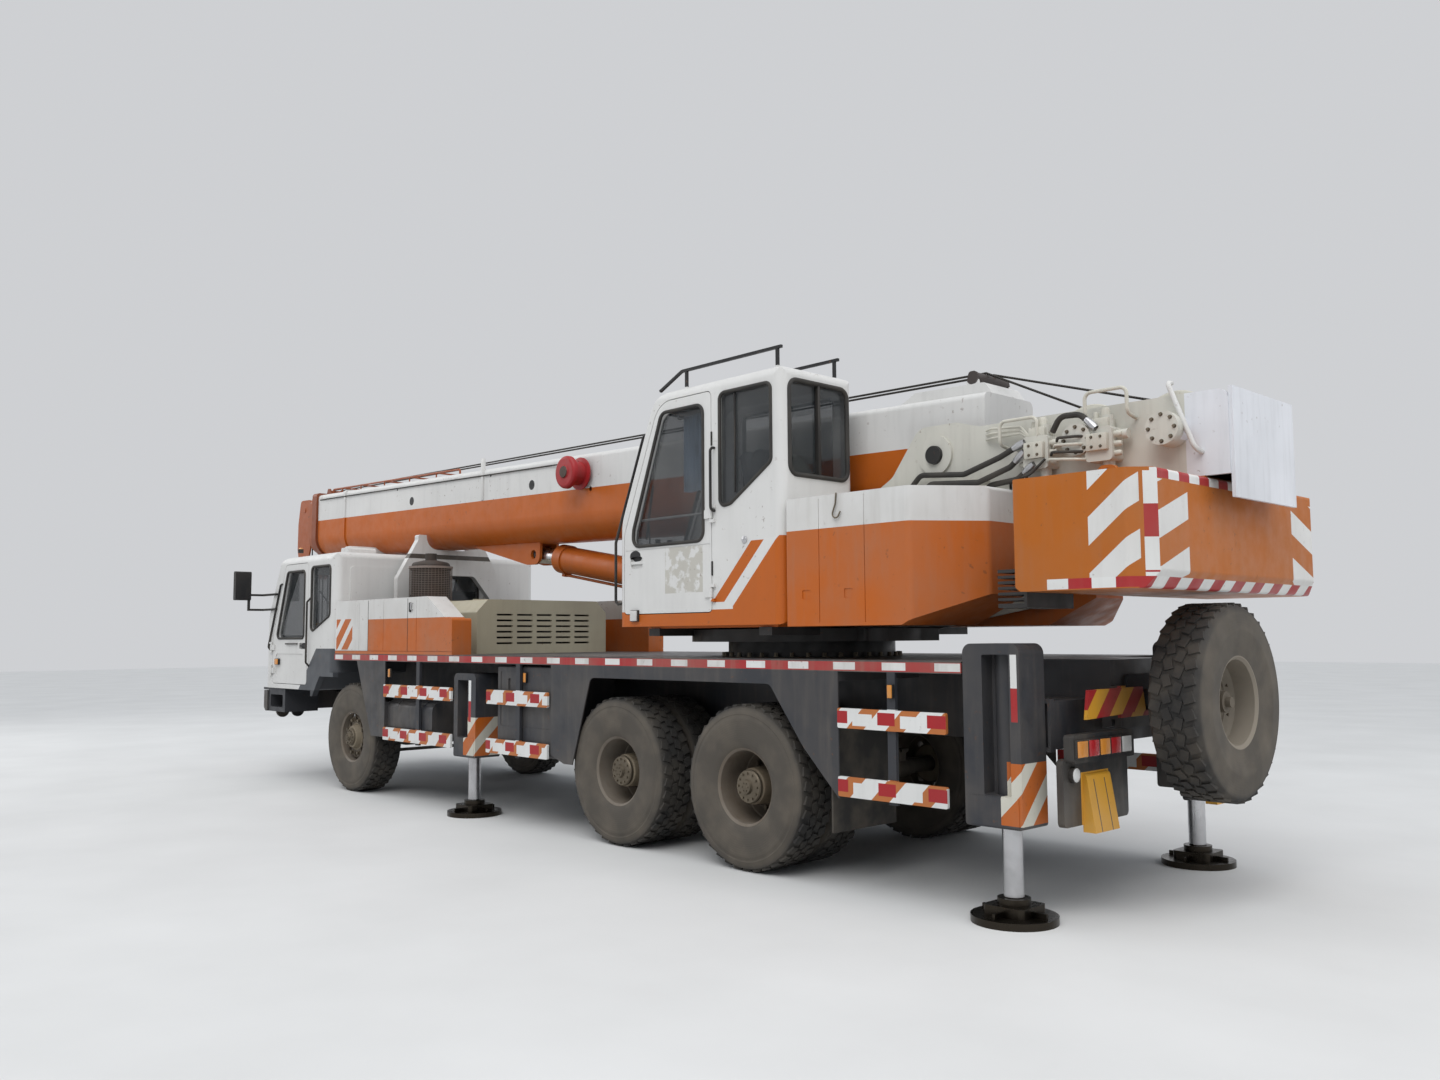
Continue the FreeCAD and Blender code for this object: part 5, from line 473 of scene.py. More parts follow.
def tread_recipe():
    """Four rings of slanting lugs round a tyre whose axle lies along Z."""
    r = Recipe("tyre_tread", Count=38, Reach=0.548, Deep=0.02, Slant=0.3)
    joined = r.tree.nodes.new("GeometryNodeJoinGeometry")
    # Rings: distance from the tyre's middle, lug width, lug length, turn of the ring, way the lugs slant
    for out, wide, long, turn, way in ((-0.093, 0.060, 0.058, 0.0, 1), (-0.031, 0.046, 0.066, 0.5, -1),
                                       (0.031, 0.046, 0.066, 0.0, 1), (0.093, 0.060, 0.058, 0.5, -1)):
        ring = r.add("MeshCircle", {"Vertices": r.given["Count"], "Radius": 1.0})
        at = r.add("InputPosition", {})
        spread = r.tree.nodes.new("ShaderNodeSeparateXYZ")
        r.tree.links.new(at, spread.inputs[0])
        angle = r.math("ARCTAN2", spread.outputs[1], spread.outputs[0])
        lug = r.add("MeshCube", {"Size": r.vector(r.given["Deep"], long, wide)})
        lean_by = r.vector(x=r.math("MULTIPLY", r.given["Slant"], float(way)))
        lug = r.add("Transform", {"Geometry": lug, "Rotation": lean_by})
        half = r.math("SUBTRACT", r.given["Reach"], r.math("MULTIPLY", r.given["Deep"], 0.5))
        inner = r.add("Transform", {"Geometry": ring, "Scale": r.vector(half, half, 1.0)})
        lugs = r.repeat(inner, lug, Rotation=r.vector(z=angle))
        step = r.math("DIVIDE", 2 * math.pi * turn, r.given["Count"])
        moved = r.add("Transform", {"Geometry": lugs, "Translation": (0, 0, out), "Rotation": r.vector(z=step)})
        r.tree.links.new(moved, joined.inputs[0])
    return r.close(joined.outputs[0])


def winding_recipe():
    """Rope wound side by side on a drum whose axle lies along Z."""
    r = Recipe("rope_winding", Turns=40.0, Drum=0.2, Across=0.7, Rope=0.008)
    coil = r.add("CurveSpiral", {"Resolution": 28, "Rotations": r.given["Turns"], "Start Radius": r.given["Drum"],
                                 "End Radius": r.given["Drum"], "Height": r.given["Across"]})
    coil = r.add("Transform", {"Geometry": coil,
                               "Translation": r.vector(z=r.math("MULTIPLY", r.given["Across"], -0.5))})
    ring = r.add("CurvePrimitiveCircle", {"Resolution": 6, "Radius": r.given["Rope"]})
    return r.close(r.add("CurveToMesh", {"Curve": coil, "Profile Curve": ring, "Fill Caps": True}))


def lattice_recipe():
    """Wire mesh round an upright drum."""
    r = Recipe("wire_guard", Around=40, Rows=44, Radius=0.2, Height=0.9, Wire=0.0022)
    drum = r.add("MeshCylinder", {"Vertices": r.given["Around"], "Side Segments": r.given["Rows"],
                                  "Radius": r.given["Radius"], "Depth": r.given["Height"]}, fill_type="NONE")
    wires = r.add("MeshToCurve", {"Mesh": drum})
    ring = r.add("CurvePrimitiveCircle", {"Resolution": 3, "Radius": r.given["Wire"]})
    return r.close(r.add("CurveToMesh", {"Curve": wires, "Profile Curve": ring}))


@functools.cache
def recipe(name):
    """Each recipe's tree is built once."""
    return {"tube": tube_recipe, "bolts": bolt_recipe, "tread": tread_recipe, "winding": winding_recipe,
            "lattice": lattice_recipe}[name]()


def tube(points, radius, bend=0.04, closed=False, sides=10):
    return recipe("tube").grow(path_mesh(points, closed), Radius=radius, Bend=bend, Sides=sides)


def facing(centre, axis):
    """Matrix that takes the Z axis to a direction and the origin to a place."""
    turn = Z.rotation_difference(Vector(axis)).to_matrix().to_4x4()
    return Matrix.Translation(centre) @ turn


def bolts(centre, axis, count, ring, bolt=0.012, height=0.015, phase=0.0):
    return recipe("bolts").grow(None, facing(centre, axis), Count=count, Ring=ring, Bolt=bolt, Height=height,
                                Phase=phase)


class Piece:
    """One finished piece on a body, gathered from meshes with their own finishes."""

    def __init__(self, name, body, slot):
        self.name, self.body, self.slot = name, body, slot
        self.bm = bmesh.new()
        self.looks = []

    def put(self, look, *meshes):
        """Adds meshes with one finish, given by its name or as a material."""
        look = finish(look) if isinstance(look, str) else look
        if look not in self.looks:
            self.looks.append(look)
        for mesh in meshes:
            before = len(self.bm.faces)
            self.bm.from_mesh(mesh)
            self.bm.faces.ensure_lookup_table()
            for face in self.bm.faces[before:]:
                face.material_index = self.looks.index(look)
            bpy.data.meshes.remove(mesh)
        return self

    def place(self, *replaced, bend=None):
        """Finishes the piece. bend: (other body, start, end) where the piece runs from its body to another; only
        whether it is given is read, and then the piece is put on no body, its place baked into its mesh.
        """
        mesh = bpy.data.meshes.new(self.name)
        self.bm.to_mesh(mesh)
        self.bm.free()
        for look in self.looks:
            mesh.materials.append(look)
        mesh.polygons.foreach_set("use_smooth", [True] * len(mesh.polygons))
        mesh.set_sharp_from_angle(angle=math.radians(32))
        piece = bpy.data.objects.new(self.name, mesh)
        bpy.context.scene.collection.objects.link(piece)
        if bend:
            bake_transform(piece)
        else:
            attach(piece, self.body)
        if replaced:
            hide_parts(*replaced)
        return piece


# Marks, as masks over a paint's coordinates

def bands(direction, period, share, offset=0.0, **room):
    """Equal bands across a direction, kept to an upright box."""
    way = Vector(direction).normalized()
    return lambda p: p.both(p.block(**room), p.stripes(way, period, share, offset))


def field(**room):
    return lambda p: p.block(**room)


def lean(normal, low, high, **room):
    """One slanting band between two distances along a normal, kept to an upright box."""
    way = Vector(normal).normalized()
    return lambda p: p.both(p.block(**room), p.within(way, low, high))


def spot(centre, radius, keep=(1, 1, 1)):
    return lambda p: p.math("LESS_THAN", p.off(centre, keep), radius)


def span(side, low, high):
    """Limits along Y on the machine's left (1) or right (-1) side."""
    return tuple(sorted((side * low, side * high)))


def tape(way, period, offset, base=TAPE_WHITE, band=RED, **room):
    """Warning tape: bands half a period wide on a base."""
    return [(field(**room), base), (bands(way, period, 0.5, offset, **room), band)]


def guard_marks():
    """Orange slants under red and white tape on the rails of the side guards."""
    marks = []
    for level in (0.64, 1.05):
        rail = (level - 0.064, level + 0.064)
        marks += [(field(z=rail), TAPE_WHITE), (bands(X + Z, 0.21, 0.45, z=rail), (0.46, 0.15, 0.04)),
                  (bands(X, 0.36, 0.42, z=(level - 0.042, level + 0.030)), TAPE_WHITE),
                  (bands(X, 0.36, 0.36, 0.17, z=(level - 0.030, level + 0.044)), RED)]
    return marks


def cover_marks(orange):
    """Orange lower field, white panel and slanting stripes on the tool covers."""
    return [(field(x=(0.4, 2.12), z=(1.43, 1.742)), orange),
            (lean(X + Z, -9, 9, x=(2.46, 2.82), z=(1.44, 1.752)), orange),
            (bands(X + Z, 0.165, 0.40, 0.04, x=(2.45, 2.83), z=(1.43, 1.76)), WHITE),
            (field(x=(0.4, 2.9), z=(1.39, 1.43)), orange)]


def operator_marks(orange):
    """Orange sill and the slanting stripes at the rear of the operator's cab."""
    slant = (0.725, 0, 0.689)
    return [(field(z=(1.5, 1.735)), orange),
            (lean(slant, -1.017, -0.848, z=(1.735, 2.19), y=(0.9, 1.3)), orange),
            (lean(slant, -9, -1.017, z=(1.735, 2.21)), orange),
            (lean(slant, -1.017, -0.934, z=(1.735, 2.20), y=(0.9, 1.3)), WHITE),
            (field(x=(-3.07, -1.7), z=(1.735, 1.785)), WHITE)]


def wheel_marks():
    """Dark dish and greasy hub of each wheel inside the lighter edge of its rim."""
    marks = []
    for _, x in AXLES:
        marks += [(spot((x, 0, WHEEL_Z), 0.235, (1, 0, 1)), (0.085, 0.070, 0.052)),
                  (spot((x, 0, WHEEL_Z), 0.138, (1, 0, 1)), (0.20, 0.165, 0.115))]
    return marks


def ballast_marks():
    """White slants over the rear corners, warning tape below, at the corner and along the top."""
    marks = []
    for side in (1, -1):
        corner = dict(x=(-6.1, -5.92), y=span(side, 1.03, 1.085))
        marks += [(bands((0.642, 0, 0.766), 0.2245, 0.51, 2.117, x=(-5.985, -5.69), y=span(side, 1.10, 1.2),
                         z=(1.83, 2.5)), WHITE),
                  (bands((0, side * 0.334, 0.943), 0.273, 0.5, -2.26, x=(-6.1, -5.9), y=span(side, 0.70, 1.04),
                         z=(1.84, 2.34)), WHITE),
                  (field(z=(1.80, 2.38), **corner), TAPE_WHITE),
                  (bands(Z, 0.34, 0.5, z=(1.86, 2.32), **corner), RED)]
    for side in (1, -1):
        marks += tape(X, 0.27, 0.03, z=(1.785, 1.84), x=(-5.97, -5.44), y=span(side, 1.10, 1.2))
    return (marks + tape(Y, 0.27, 0.05, z=(1.775, 1.84), x=(-6.1, -5.94), y=(-1.11, 1.11))
            + tape(Y, 0.24, 0.05, z=(2.345, 2.397), x=(-6.1, -5.95), y=(-0.3, 1.06)))


def board_marks():
    """Red and yellow slants on the upper lamp boards, yellow chocks below them."""
    marks = []
    for side in (1, -1):
        marks += tape((0, side, 1), 0.20, 0.02, YELLOW, x=(-5.48, -5.44), y=span(side, 0.1, 0.9), z=(1.07, 1.26))
        marks.append((field(x=(-5.60, -5.455), y=span(side, 0.6, 0.9), z=(0.45, 0.80)), YELLOW))
        marks += [(field(x=(-5.60, -5.46), y=span(side, low, low + 0.009), z=(0.47, 0.76)), GRIME)
                  for low in (0.688, 0.803)]
    return marks


def beam_marks(x, top):
    """Orange plate with slants, and red and white tape, on both sides of a jack housing."""
    marks = []
    for side in (1, -1):
        plate = dict(x=(x - 0.30, x - 0.02), z=(0.53, 0.86), y=span(side, 1.0, 1.6))
        marks += [(field(**plate), ORANGE), (bands(X + Y * side + Z, 0.16, 0.42, 0.02, **plate), CREAM)]
    for side in (1, -1):
        strip = dict(x=(x - 0.135, x - 0.095), y=span(side, 1.235, 1.3))
        marks += [(field(z=(top - 0.42, top - 0.06), **strip), RED),
                  (field(z=(top - 0.24, top - 0.06), **strip), TAPE_WHITE)]
    return marks


class CraneLooks(bpy.types.PropertyGroup):
    """Sizes and colours that a user would change."""
    white: bpy.props.FloatVectorProperty(name="White", description="Main paint of cabs and boom", subtype="COLOR",
                                         size=3, min=0, max=1, default=WHITE)
    orange: bpy.props.FloatVectorProperty(name="Orange", description="Second paint", subtype="COLOR",
                                          size=3, min=0, max=1, default=ORANGE)
    slate: bpy.props.FloatVectorProperty(name="Slate", description="Paint of the carrier", subtype="COLOR",
                                         size=3, min=0, max=1, default=SLATE)
    rope: bpy.props.FloatProperty(name="Rope", description="Half the hoist rope's thickness", subtype="DISTANCE",
                                  unit="LENGTH", default=0.008, min=0.004, max=0.015)
    lugs: bpy.props.IntProperty(name="Tread lugs", description="Lugs in each ring of a tyre's tread", default=38,
                                min=20, max=60)
    seal: bpy.props.FloatProperty(name="Window seal", description="Half the window rubber's thickness",
                                  subtype="DISTANCE", unit="LENGTH", default=0.013, min=0.005, max=0.03)


FINISHES = {
    "seal": lambda: rubber("window_seal", dust=0.25),
    "black": lambda: painted("black_fitting", BLACK, rough=(0.4, 0.7), amount=0.35, chips=0.2),
    "white": lambda: painted("white_fitting", WHITE),
    "cream": lambda: painted("cream_fitting", CREAM, GRIME, amount=0.6, high=3.2),
    "rusted": lambda: painted("rusted_fitting", (0.30, 0.075, 0.025), RUST, amount=0.6),
    "steel": lambda: bare_metal("bright_steel"),
    "greased": lambda: bare_metal("greased_steel", (0.20, 0.17, 0.13), (0.45, 0.75)),
    "rope": lambda: bare_metal("wire_rope", (0.075, 0.07, 0.065), (0.45, 0.65), marks=(
        (lambda p: p.stripes((X + Y + Z).normalized(), 0.014, 0.4), (0.03, 0.028, 0.026)),)),
    "hose": lambda: rubber("hose_rubber", dust=0.35),
    "rusty": lambda: painted("rusty_wire", (0.25, 0.21, 0.185), RUST, amount=0.6, rough=(0.6, 0.9)),
    "amber": lambda: lens("amber_lens", AMBER),
    "red": lambda: lens("red_lens", (0.45, 0.015, 0.02)),
    "clear": lambda: lens("clear_lens", (0.70, 0.70, 0.68)),
    "pane": lambda: glass("door_pane"),
    "curtain": lambda: fabric("curtain_cloth", (0.50, 0.62, 0.78), 2400.0),
    "seat": lambda: fabric("seat_cloth", (0.045, 0.05, 0.06)),
    "flap": lambda: rubber("flap_rubber", dust=0.8),
}


@functools.cache
def finish(name):
    """Each small part's finish is made once."""
    return FINISHES[name]()


# The photo's viewpoint: place in metres, heading, pitch and roll in degrees, focal length in mm
VIEW_PLACE, VIEW_ANGLES, VIEW_LENS = (-8.762, 6.707, 1.544), (-43.442, 4.772, -0.362), 29.093
FLOOR_HALF = 60


class CRANE_OT_stage(bpy.types.Operator):
    """Lays the floor, the soft lights and the camera"""
    bl_idname = "crane.stage"
    bl_label = "Stage"

    def execute(self, context):
        scene = context.scene
        scene.view_settings.view_transform = "Standard"
        mesh = bpy.data.meshes.new("floor")
        corners = ((-1, -1), (1, -1), (1, 1), (-1, 1))
        mesh.from_pydata([(u * FLOOR_HALF, v * FLOOR_HALF, 0) for u, v in corners], [], [(0, 1, 2, 3)])
        floor = bpy.data.objects.new("floor", mesh)
        scene.collection.objects.link(floor)
        paint = Paint("floor_finish", rough=0.9)
        mesh.materials.append(paint.done(paint.mix(paint.noise(0.8, 4, low=0.3, high=0.7), (0.60, 0.60, 0.59),
                                                   (0.65, 0.65, 0.64))))

        world = scene.world or bpy.data.worlds.new("studio")
        scene.world = world
        world.use_nodes = True
        tree = world.node_tree
        light = tree.nodes["Background"]
        light.inputs["Color"].default_value = (0.80, 0.86, 0.95, 1)
        light.inputs["Strength"].default_value = 0.50
        shown = tree.nodes.new("ShaderNodeBackground")
        shown.inputs["Color"].default_value = (0.62, 0.63, 0.65, 1)
        shown.inputs["Strength"].default_value = 1.0
        path = tree.nodes.new("ShaderNodeLightPath")
        seen = path.outputs["Is Camera Ray"]
        for ray in ("Is Glossy Ray", "Is Transmission Ray"):
            either = tree.nodes.new("ShaderNodeMath")
            either.operation = "MAXIMUM"
            tree.links.new(seen, either.inputs[0])
            tree.links.new(path.outputs[ray], either.inputs[1])
            seen = either.outputs[0]
        choice = tree.nodes.new("ShaderNodeMixShader")
        tree.links.new(seen, choice.inputs[0])
        tree.links.new(light.outputs[0], choice.inputs[1])
        tree.links.new(shown.outputs[0], choice.inputs[2])
        tree.links.new(choice.outputs[0], tree.nodes["World Output"].inputs["Surface"])

        # Lamps: name, place, aimed at, size, power
        for name, place, target, size, power in (
            ("key", (-9, 12, 13), (0, 0, 1.5), 9, 800),
            ("fill", (-14, -4, 8), (0, 0, 1.5), 8, 350),
            ("front", (13, 6, 9), (0, 0, 1.5), 8, 400),
        ):
            data = bpy.data.lights.new(name, "AREA")
            data.size = size
            data.energy = power
            lamp = bpy.data.objects.new(name, data)
            lamp.location = place
            lamp.rotation_mode = "QUATERNION"
            lamp.rotation_quaternion = (Vector(target) - Vector(place)).to_track_quat("-Z", "Y")
            scene.collection.objects.link(lamp)
        data = bpy.data.lights.new("sky", "SUN")
        data.energy = 1.6
        data.angle = math.radians(70)
        sky = bpy.data.objects.new("sky", data)
        sky.rotation_euler = (math.radians(-18), math.radians(-14), 0)
        scene.collection.objects.link(sky)

        yaw, pitch, roll = (math.radians(a) for a in VIEW_ANGLES)
        ahead = Vector((math.cos(yaw) * math.cos(pitch), math.sin(yaw) * math.cos(pitch), math.sin(pitch)))
        right = Vector((math.sin(yaw), -math.cos(yaw), 0))
        up = right.cross(ahead)
        right, up = (right * math.cos(roll) + up * math.sin(roll), up * math.cos(roll) - right * math.sin(roll))
        data = bpy.data.cameras.new("viewpoint")
        data.sensor_width, data.lens = 36, VIEW_LENS
        data.clip_end = 400
        camera = bpy.data.objects.new("viewpoint", data)
        turn = Matrix((right, up, -ahead)).transposed().to_4x4()
        camera.matrix_world = Matrix.Translation(VIEW_PLACE) @ turn
        scene.collection.objects.link(camera)
        scene.camera = camera
        return {"FINISHED"}


class CRANE_OT_carrier_paint(bpy.types.Operator):
    """Paints the carrier, its cab and its outriggers"""
    bl_idname = "crane.carrier_paint"
    bl_label = "Carrier paint"

    def execute(self, context):
        looks = context.scene.crane_looks
        white, orange, slate = (tuple(c) for c in (looks.white, looks.orange, looks.slate))
        tail = [mark for side in (1, -1) for mark in tape(
            Y, 0.30, 0.05, RED, TAPE_WHITE, x=(-5.45, -5.0), y=span(side, 0.5, 1.2), z=(1.305, 1.362))]
        dress(painted("slate_paint", slate, amount=0.45, high=1.8, marks=tail), "chassis_frame", "side_boxes",
              "front_bumper")
        dress(painted("deck_paint", slate, amount=0.9, high=2.2, marks=(
            (field(z=(1.335, 1.392)), RED), (bands(X, 0.38, 0.46, z=(1.342, 1.388)), TAPE_WHITE))), "deck")
        for end, x, top in JACKS:
            dress(painted(f"{end}_beam_paint", slate, amount=0.45, high=1.8, marks=beam_marks(x, top)),
                  *pair(f"{end}_beam"))
        dress(painted("axle_paint", (0.03, 0.03, 0.032), amount=0.9, high=1.6), "front_axle", "rear_axles",
              *pair("knuckle"), "tie_rod", "engine")
        dress(painted("guard_paint", slate, GRIME, amount=0.25, high=1.6, chips=0.8, marks=guard_marks()),
              "side_guards")
        dress(painted("cover_paint", white, marks=cover_marks(orange)), "tool_covers")
        dress(painted("hood_paint", BEIGE), "engine_hood")
        dress(painted("silencer_paint", (0.05, 0.045, 0.04), RUST, rough=(0.6, 0.85)), "muffler")
        dress(painted("rest_paint", white, marks=((field(z=(2.42, 2.47)), (0.08, 0.07, 0.06)),)), "boom_rest")
        trim = (0.075, 0.08, 0.088)
        arch = lean((0.725, 0, 0.689), -9, 3.39, x=(2.8, 3.8), z=(0.7, 1.45))
        dress(painted("cab_paint", white, GRIME, amount=0.22, high=2.2, marks=(
            (arch, trim), (field(z=(0.7, 1.005)), slate))), "driver_cab")
        dress(painted("door_paint", white, GRIME, amount=0.22, high=2.2, marks=(
            (spot((3.65, 0, 1.477), 0.075, (1, 0, 2.2)), BLACK),)), *pair("driver_door"))
        dress(painted("trim_black", BLACK, rough=(0.4, 0.7), amount=0.3, chips=0.1), "driver_cab_interior", "mirrors",
              "operator_interior")
        dress(glass("window_glass"), "driver_cab_glass", "operator_cab_glass")
        dress(painted("rim_paint", (0.19, 0.165, 0.135), (0.10, 0.07, 0.045), amount=0.9, high=2.0,
                      rough=(0.55, 0.85), marks=wheel_marks()),
              *pair("front_rim"), *pair("middle_rims"), *pair("rear_rims"))
        dress(rubber("spare_rubber", SPARE, marks=(
            (spot(SPARE, 0.262, (0, 1, 1)), (0.22, 0.19, 0.15)),
            (spot(SPARE, 0.205, (0, 1, 1)), (0.115, 0.095, 0.07)),
            (field(x=(-5.66, -5.3)), SLATE))), "spare_wheel")
        dress(painted("lamp_board_paint", (0.022, 0.023, 0.025), marks=board_marks()), "lamp_boards")
        dress(bare_metal("jack_steel", marks=((field(z=(-1, 0.135)), (0.045, 0.038, 0.03)),)),
              *pair("front_jack"), *pair("rear_jack"))
        return {"FINISHED"}


class CRANE_OT_upper_paint(bpy.types.Operator):
    """Paints the turntable, the operator's cab, the boom and the counterweight"""
    bl_idname = "crane.upper_paint"
    bl_label = "Upper paint"

    def execute(self, context):
        looks = context.scene.crane_looks
        white, orange = tuple(looks.white), tuple(looks.orange)
        tilt = Vector((-math.sin(math.radians(1.33)), 0, math.cos(math.radians(1.33))))
        dark = (0.035, 0.034, 0.033)
        dress(painted("table_paint", (0.61, 0.595, 0.53), GRIME, amount=0.4, marks=(
            (field(x=(-9, -5.9), y=(-0.5, 0.5), z=(2.2, 3.0)), (0.72, 0.73, 0.76)),
            (field(z=(1.3, 1.615)), dark),
            (field(x=(-5.2, -4.97), y=(0.425, 1.2), z=(1.6, 1.95)), dark),
            (spot(BOOM_PIN, 0.062, (1, 0, 1)), (0.02, 0.02, 0.02)),
        )), "turntable")
        dress(painted("operator_paint", white, GRIME, amount=0.18, high=3.0, marks=operator_marks(orange) + [
            (field(z=(3.365, 4)), BLACK)]), "operator_cab")
        dress(painted("operator_door_paint", white, GRIME, amount=0.18, high=3.0, marks=(
            (spot((-2.025, 1.2, 2.15), 0.062, (1, 0, 1.5)), BLACK),
            (lambda p: p.both(p.block(x=(-2.77, -2.365), z=(1.86, 2.19)), p.noise(14, 5, low=0.42, high=0.5)),
             (0.50, 0.48, 0.43)),
        )), "operator_door")
        dress(painted("side_cover_paint", white, marks=((field(z=(1.5, 2.225)), orange),)), "upper_covers")
        faded = (orange[0] * 0.93, orange[1] * 1.12, orange[2])
        dress(painted("ballast_paint", faded, amount=0.35, marks=ballast_marks()), "counterweight")
        dress(painted("boom_paint", white, GRIME, amount=0.3, marks=(
            (lambda p: p.math("LESS_THAN", p.along(tilt), 2.922), orange),
            *[(spot((x, 0, z), r, (1, 0, 1)), BLACK) for x, z, r in (
                (3.044, 3.087, 0.048), (0.680, 3.035, 0.048), (3.378, 3.246, 0.012), (1.417, 3.206, 0.014))],
            (field(x=(5.44, 6.2)), (0.24, 0.062, 0.022)),
            (spot(TAIL_ROLLER, 0.047, (1, 0, 1)), (0.05, 0.04, 0.037)),
        )), "boom_base")
        dress(painted("section_paint", (0.34, 0.09, 0.03), RUST, amount=0.5, chips=0.8), "boom_second", "boom_third",
              "boom_fourth")
        dress(painted("reel_paint", RED, (0.06, 0.03, 0.02), amount=0.8, marks=(
            (spot((-0.17, 0, 3.05), 0.055, (1, 0, 1)), (0.05, 0.03, 0.02)),)), "cable_reel")
        dress(painted("hook_paint", YELLOW, GRIME, marks=(
            (bands(X + Z, 0.16, 0.5, z=(1.35, 1.75)), (0.02, 0.02, 0.02)),
            (field(z=(1.765, 2.6)), (0.045, 0.042, 0.038)))), "hook_block")
        dress(painted("cylinder_paint", orange, GRIME, amount=0.4), "luff_barrel")
        dress(bare_metal("rod_steel"), "luff_rod")
        dress(painted("drum_paint", CREAM, GRIME, rough=(0.4, 0.7)), "main_winch_drum", "auxiliary_winch_drum")
        return {"FINISHED"}


# Half a tyre's section: distance from the axle, distance from its middle
TYRE_HALF = [(0.2573, 0.130), (0.272, 0.140), (0.300, 0.1475), (0.340, 0.1540), (0.395, 0.1572), (0.440, 0.1560),
             (0.462, 0.1555), (0.466, 0.1530), (0.480, 0.1520), (0.484, 0.1535), (0.505, 0.1480), (0.526, 0.1400),
             (0.536, 0.118)]
TYRE_PROFILE = [(r, -y) for r, y in TYRE_HALF] + TYRE_HALF[::-1]


class CRANE_OT_tyres(bpy.types.Operator):
    """Makes the tyres with their treads, and the wheel nuts and hub caps"""
    bl_idname = "crane.tyres"
    bl_label = "Tyres"

    def execute(self, context):
        looks = context.scene.crane_looks
        for axle, x in AXLES:
            material = rubber(f"{axle}_tyre_rubber", (x, 0, WHEEL_Z))
            for name, side in SIDES:
                single = axle == "front"
                outer = FRONT_WHEEL_Y if single else OUTER_WHEEL_Y
                body = f"front_wheel_{name}" if single else f"{axle}_wheels_{name}"
                node = f"front_tyre_{name}" if single else f"{axle}_tyres_{name}"
                tyres = Piece(f"{axle}_treaded_tyres_{name}", body, "tyre_rubber")
                for y in (outer,) if single else (outer, outer - TWIN_SPACING):
                    centre = (x, side * y, WHEEL_Z)
                    tyres.put(material, lathe(TYRE_PROFILE, centre, Y, 72),
                              recipe("tread").grow(None, facing(centre, Y), Count=looks.lugs))
                tyres.place(node)
                self.hub(axle, name, side, Vector((x, side * outer, WHEEL_Z)), body)
        tread = Piece("spare_tyre_tread", "carrier", "tyre_rubber")
        tread.put(rubber("spare_lugs_rubber", SPARE),
                  recipe("tread").grow(None, facing(SPARE, X), Count=looks.lugs, Reach=0.561))
        tread.put("greased", bolts(SPARE + Vector((0.04, 0, 0)), -X, 8, 0.225, 0.012, 0.02, math.pi / 8))
        tread.place()
        return {"FINISHED"}

    def hub(self, axle, name, side, centre, body):
        """Nuts on the disc, and the cap of the hub with its ring of bolts."""
        out = Y * side
        piece = Piece(f"{axle}_hub_cap_{name}", body, "rim_paint")
        if axle == "front":
            disc, end, reach, ring = 0.084, 0.135, 0.085, 0.176
        else:
            disc, end, reach, ring = -0.1595, 0.075, 0.112, 0.178
        cap = [(reach * k, end + out_by) for k, out_by in (
            (0, 0.052), (0.40, 0.050), (0.46, 0.030), (0.94, 0.022), (1, 0.012), (1, -0.004), (0, -0.004))]
        piece.put("greased", lathe(cap, centre, out, 36),
                  bolts(centre + out * disc, out, 8, ring, 0.017, 0.026, math.pi / 8),
                  bolts(centre + out * (end + 0.022), out, 12, reach * 0.78, 0.008, 0.012),
                  bolts(centre + out * (end + 0.050), out, 6, reach * 0.24, 0.005, 0.006))
        valve = centre + out * (disc + 0.02) + Z * 0.236
        piece.put("steel", tube([valve - Z * 0.03, valve, valve + out * 0.05], 0.004, 0.01, sides=6))
        piece.place()


CAB_DOOR_WINDOW = ((3.61, 1.56), (4.33, 1.56), (4.06, 2.30), (3.61, 2.30))
CAB_QUARTER_WINDOW = ((2.98, 1.80), (3.44, 1.62), (3.44, 2.33), (2.98, 2.33))
OPERATOR_DOOR_WINDOW = ((-2.78, 2.22), (-1.995, 2.22), (-2.008, 2.35), (-2.33, 3.19), (-2.78, 3.19))
OPERATOR_SIDE_WINDOW = ((-3.447, 2.71), (-3.06, 2.46), (-2.95, 2.44), (-2.95, 3.24), (-3.447, 3.24))
OPERATOR_INNER_WINDOW = ((-3.387, 2.52), (-2.45, 2.52), (-2.45, 3.24), (-3.387, 3.24))


def round_seal(radius, points, y, side=1, bend=0.05):
    """Rubber round a window that lies in a wall along the machine's side."""
    return tube(upright(points, y, side), radius, bend, True)


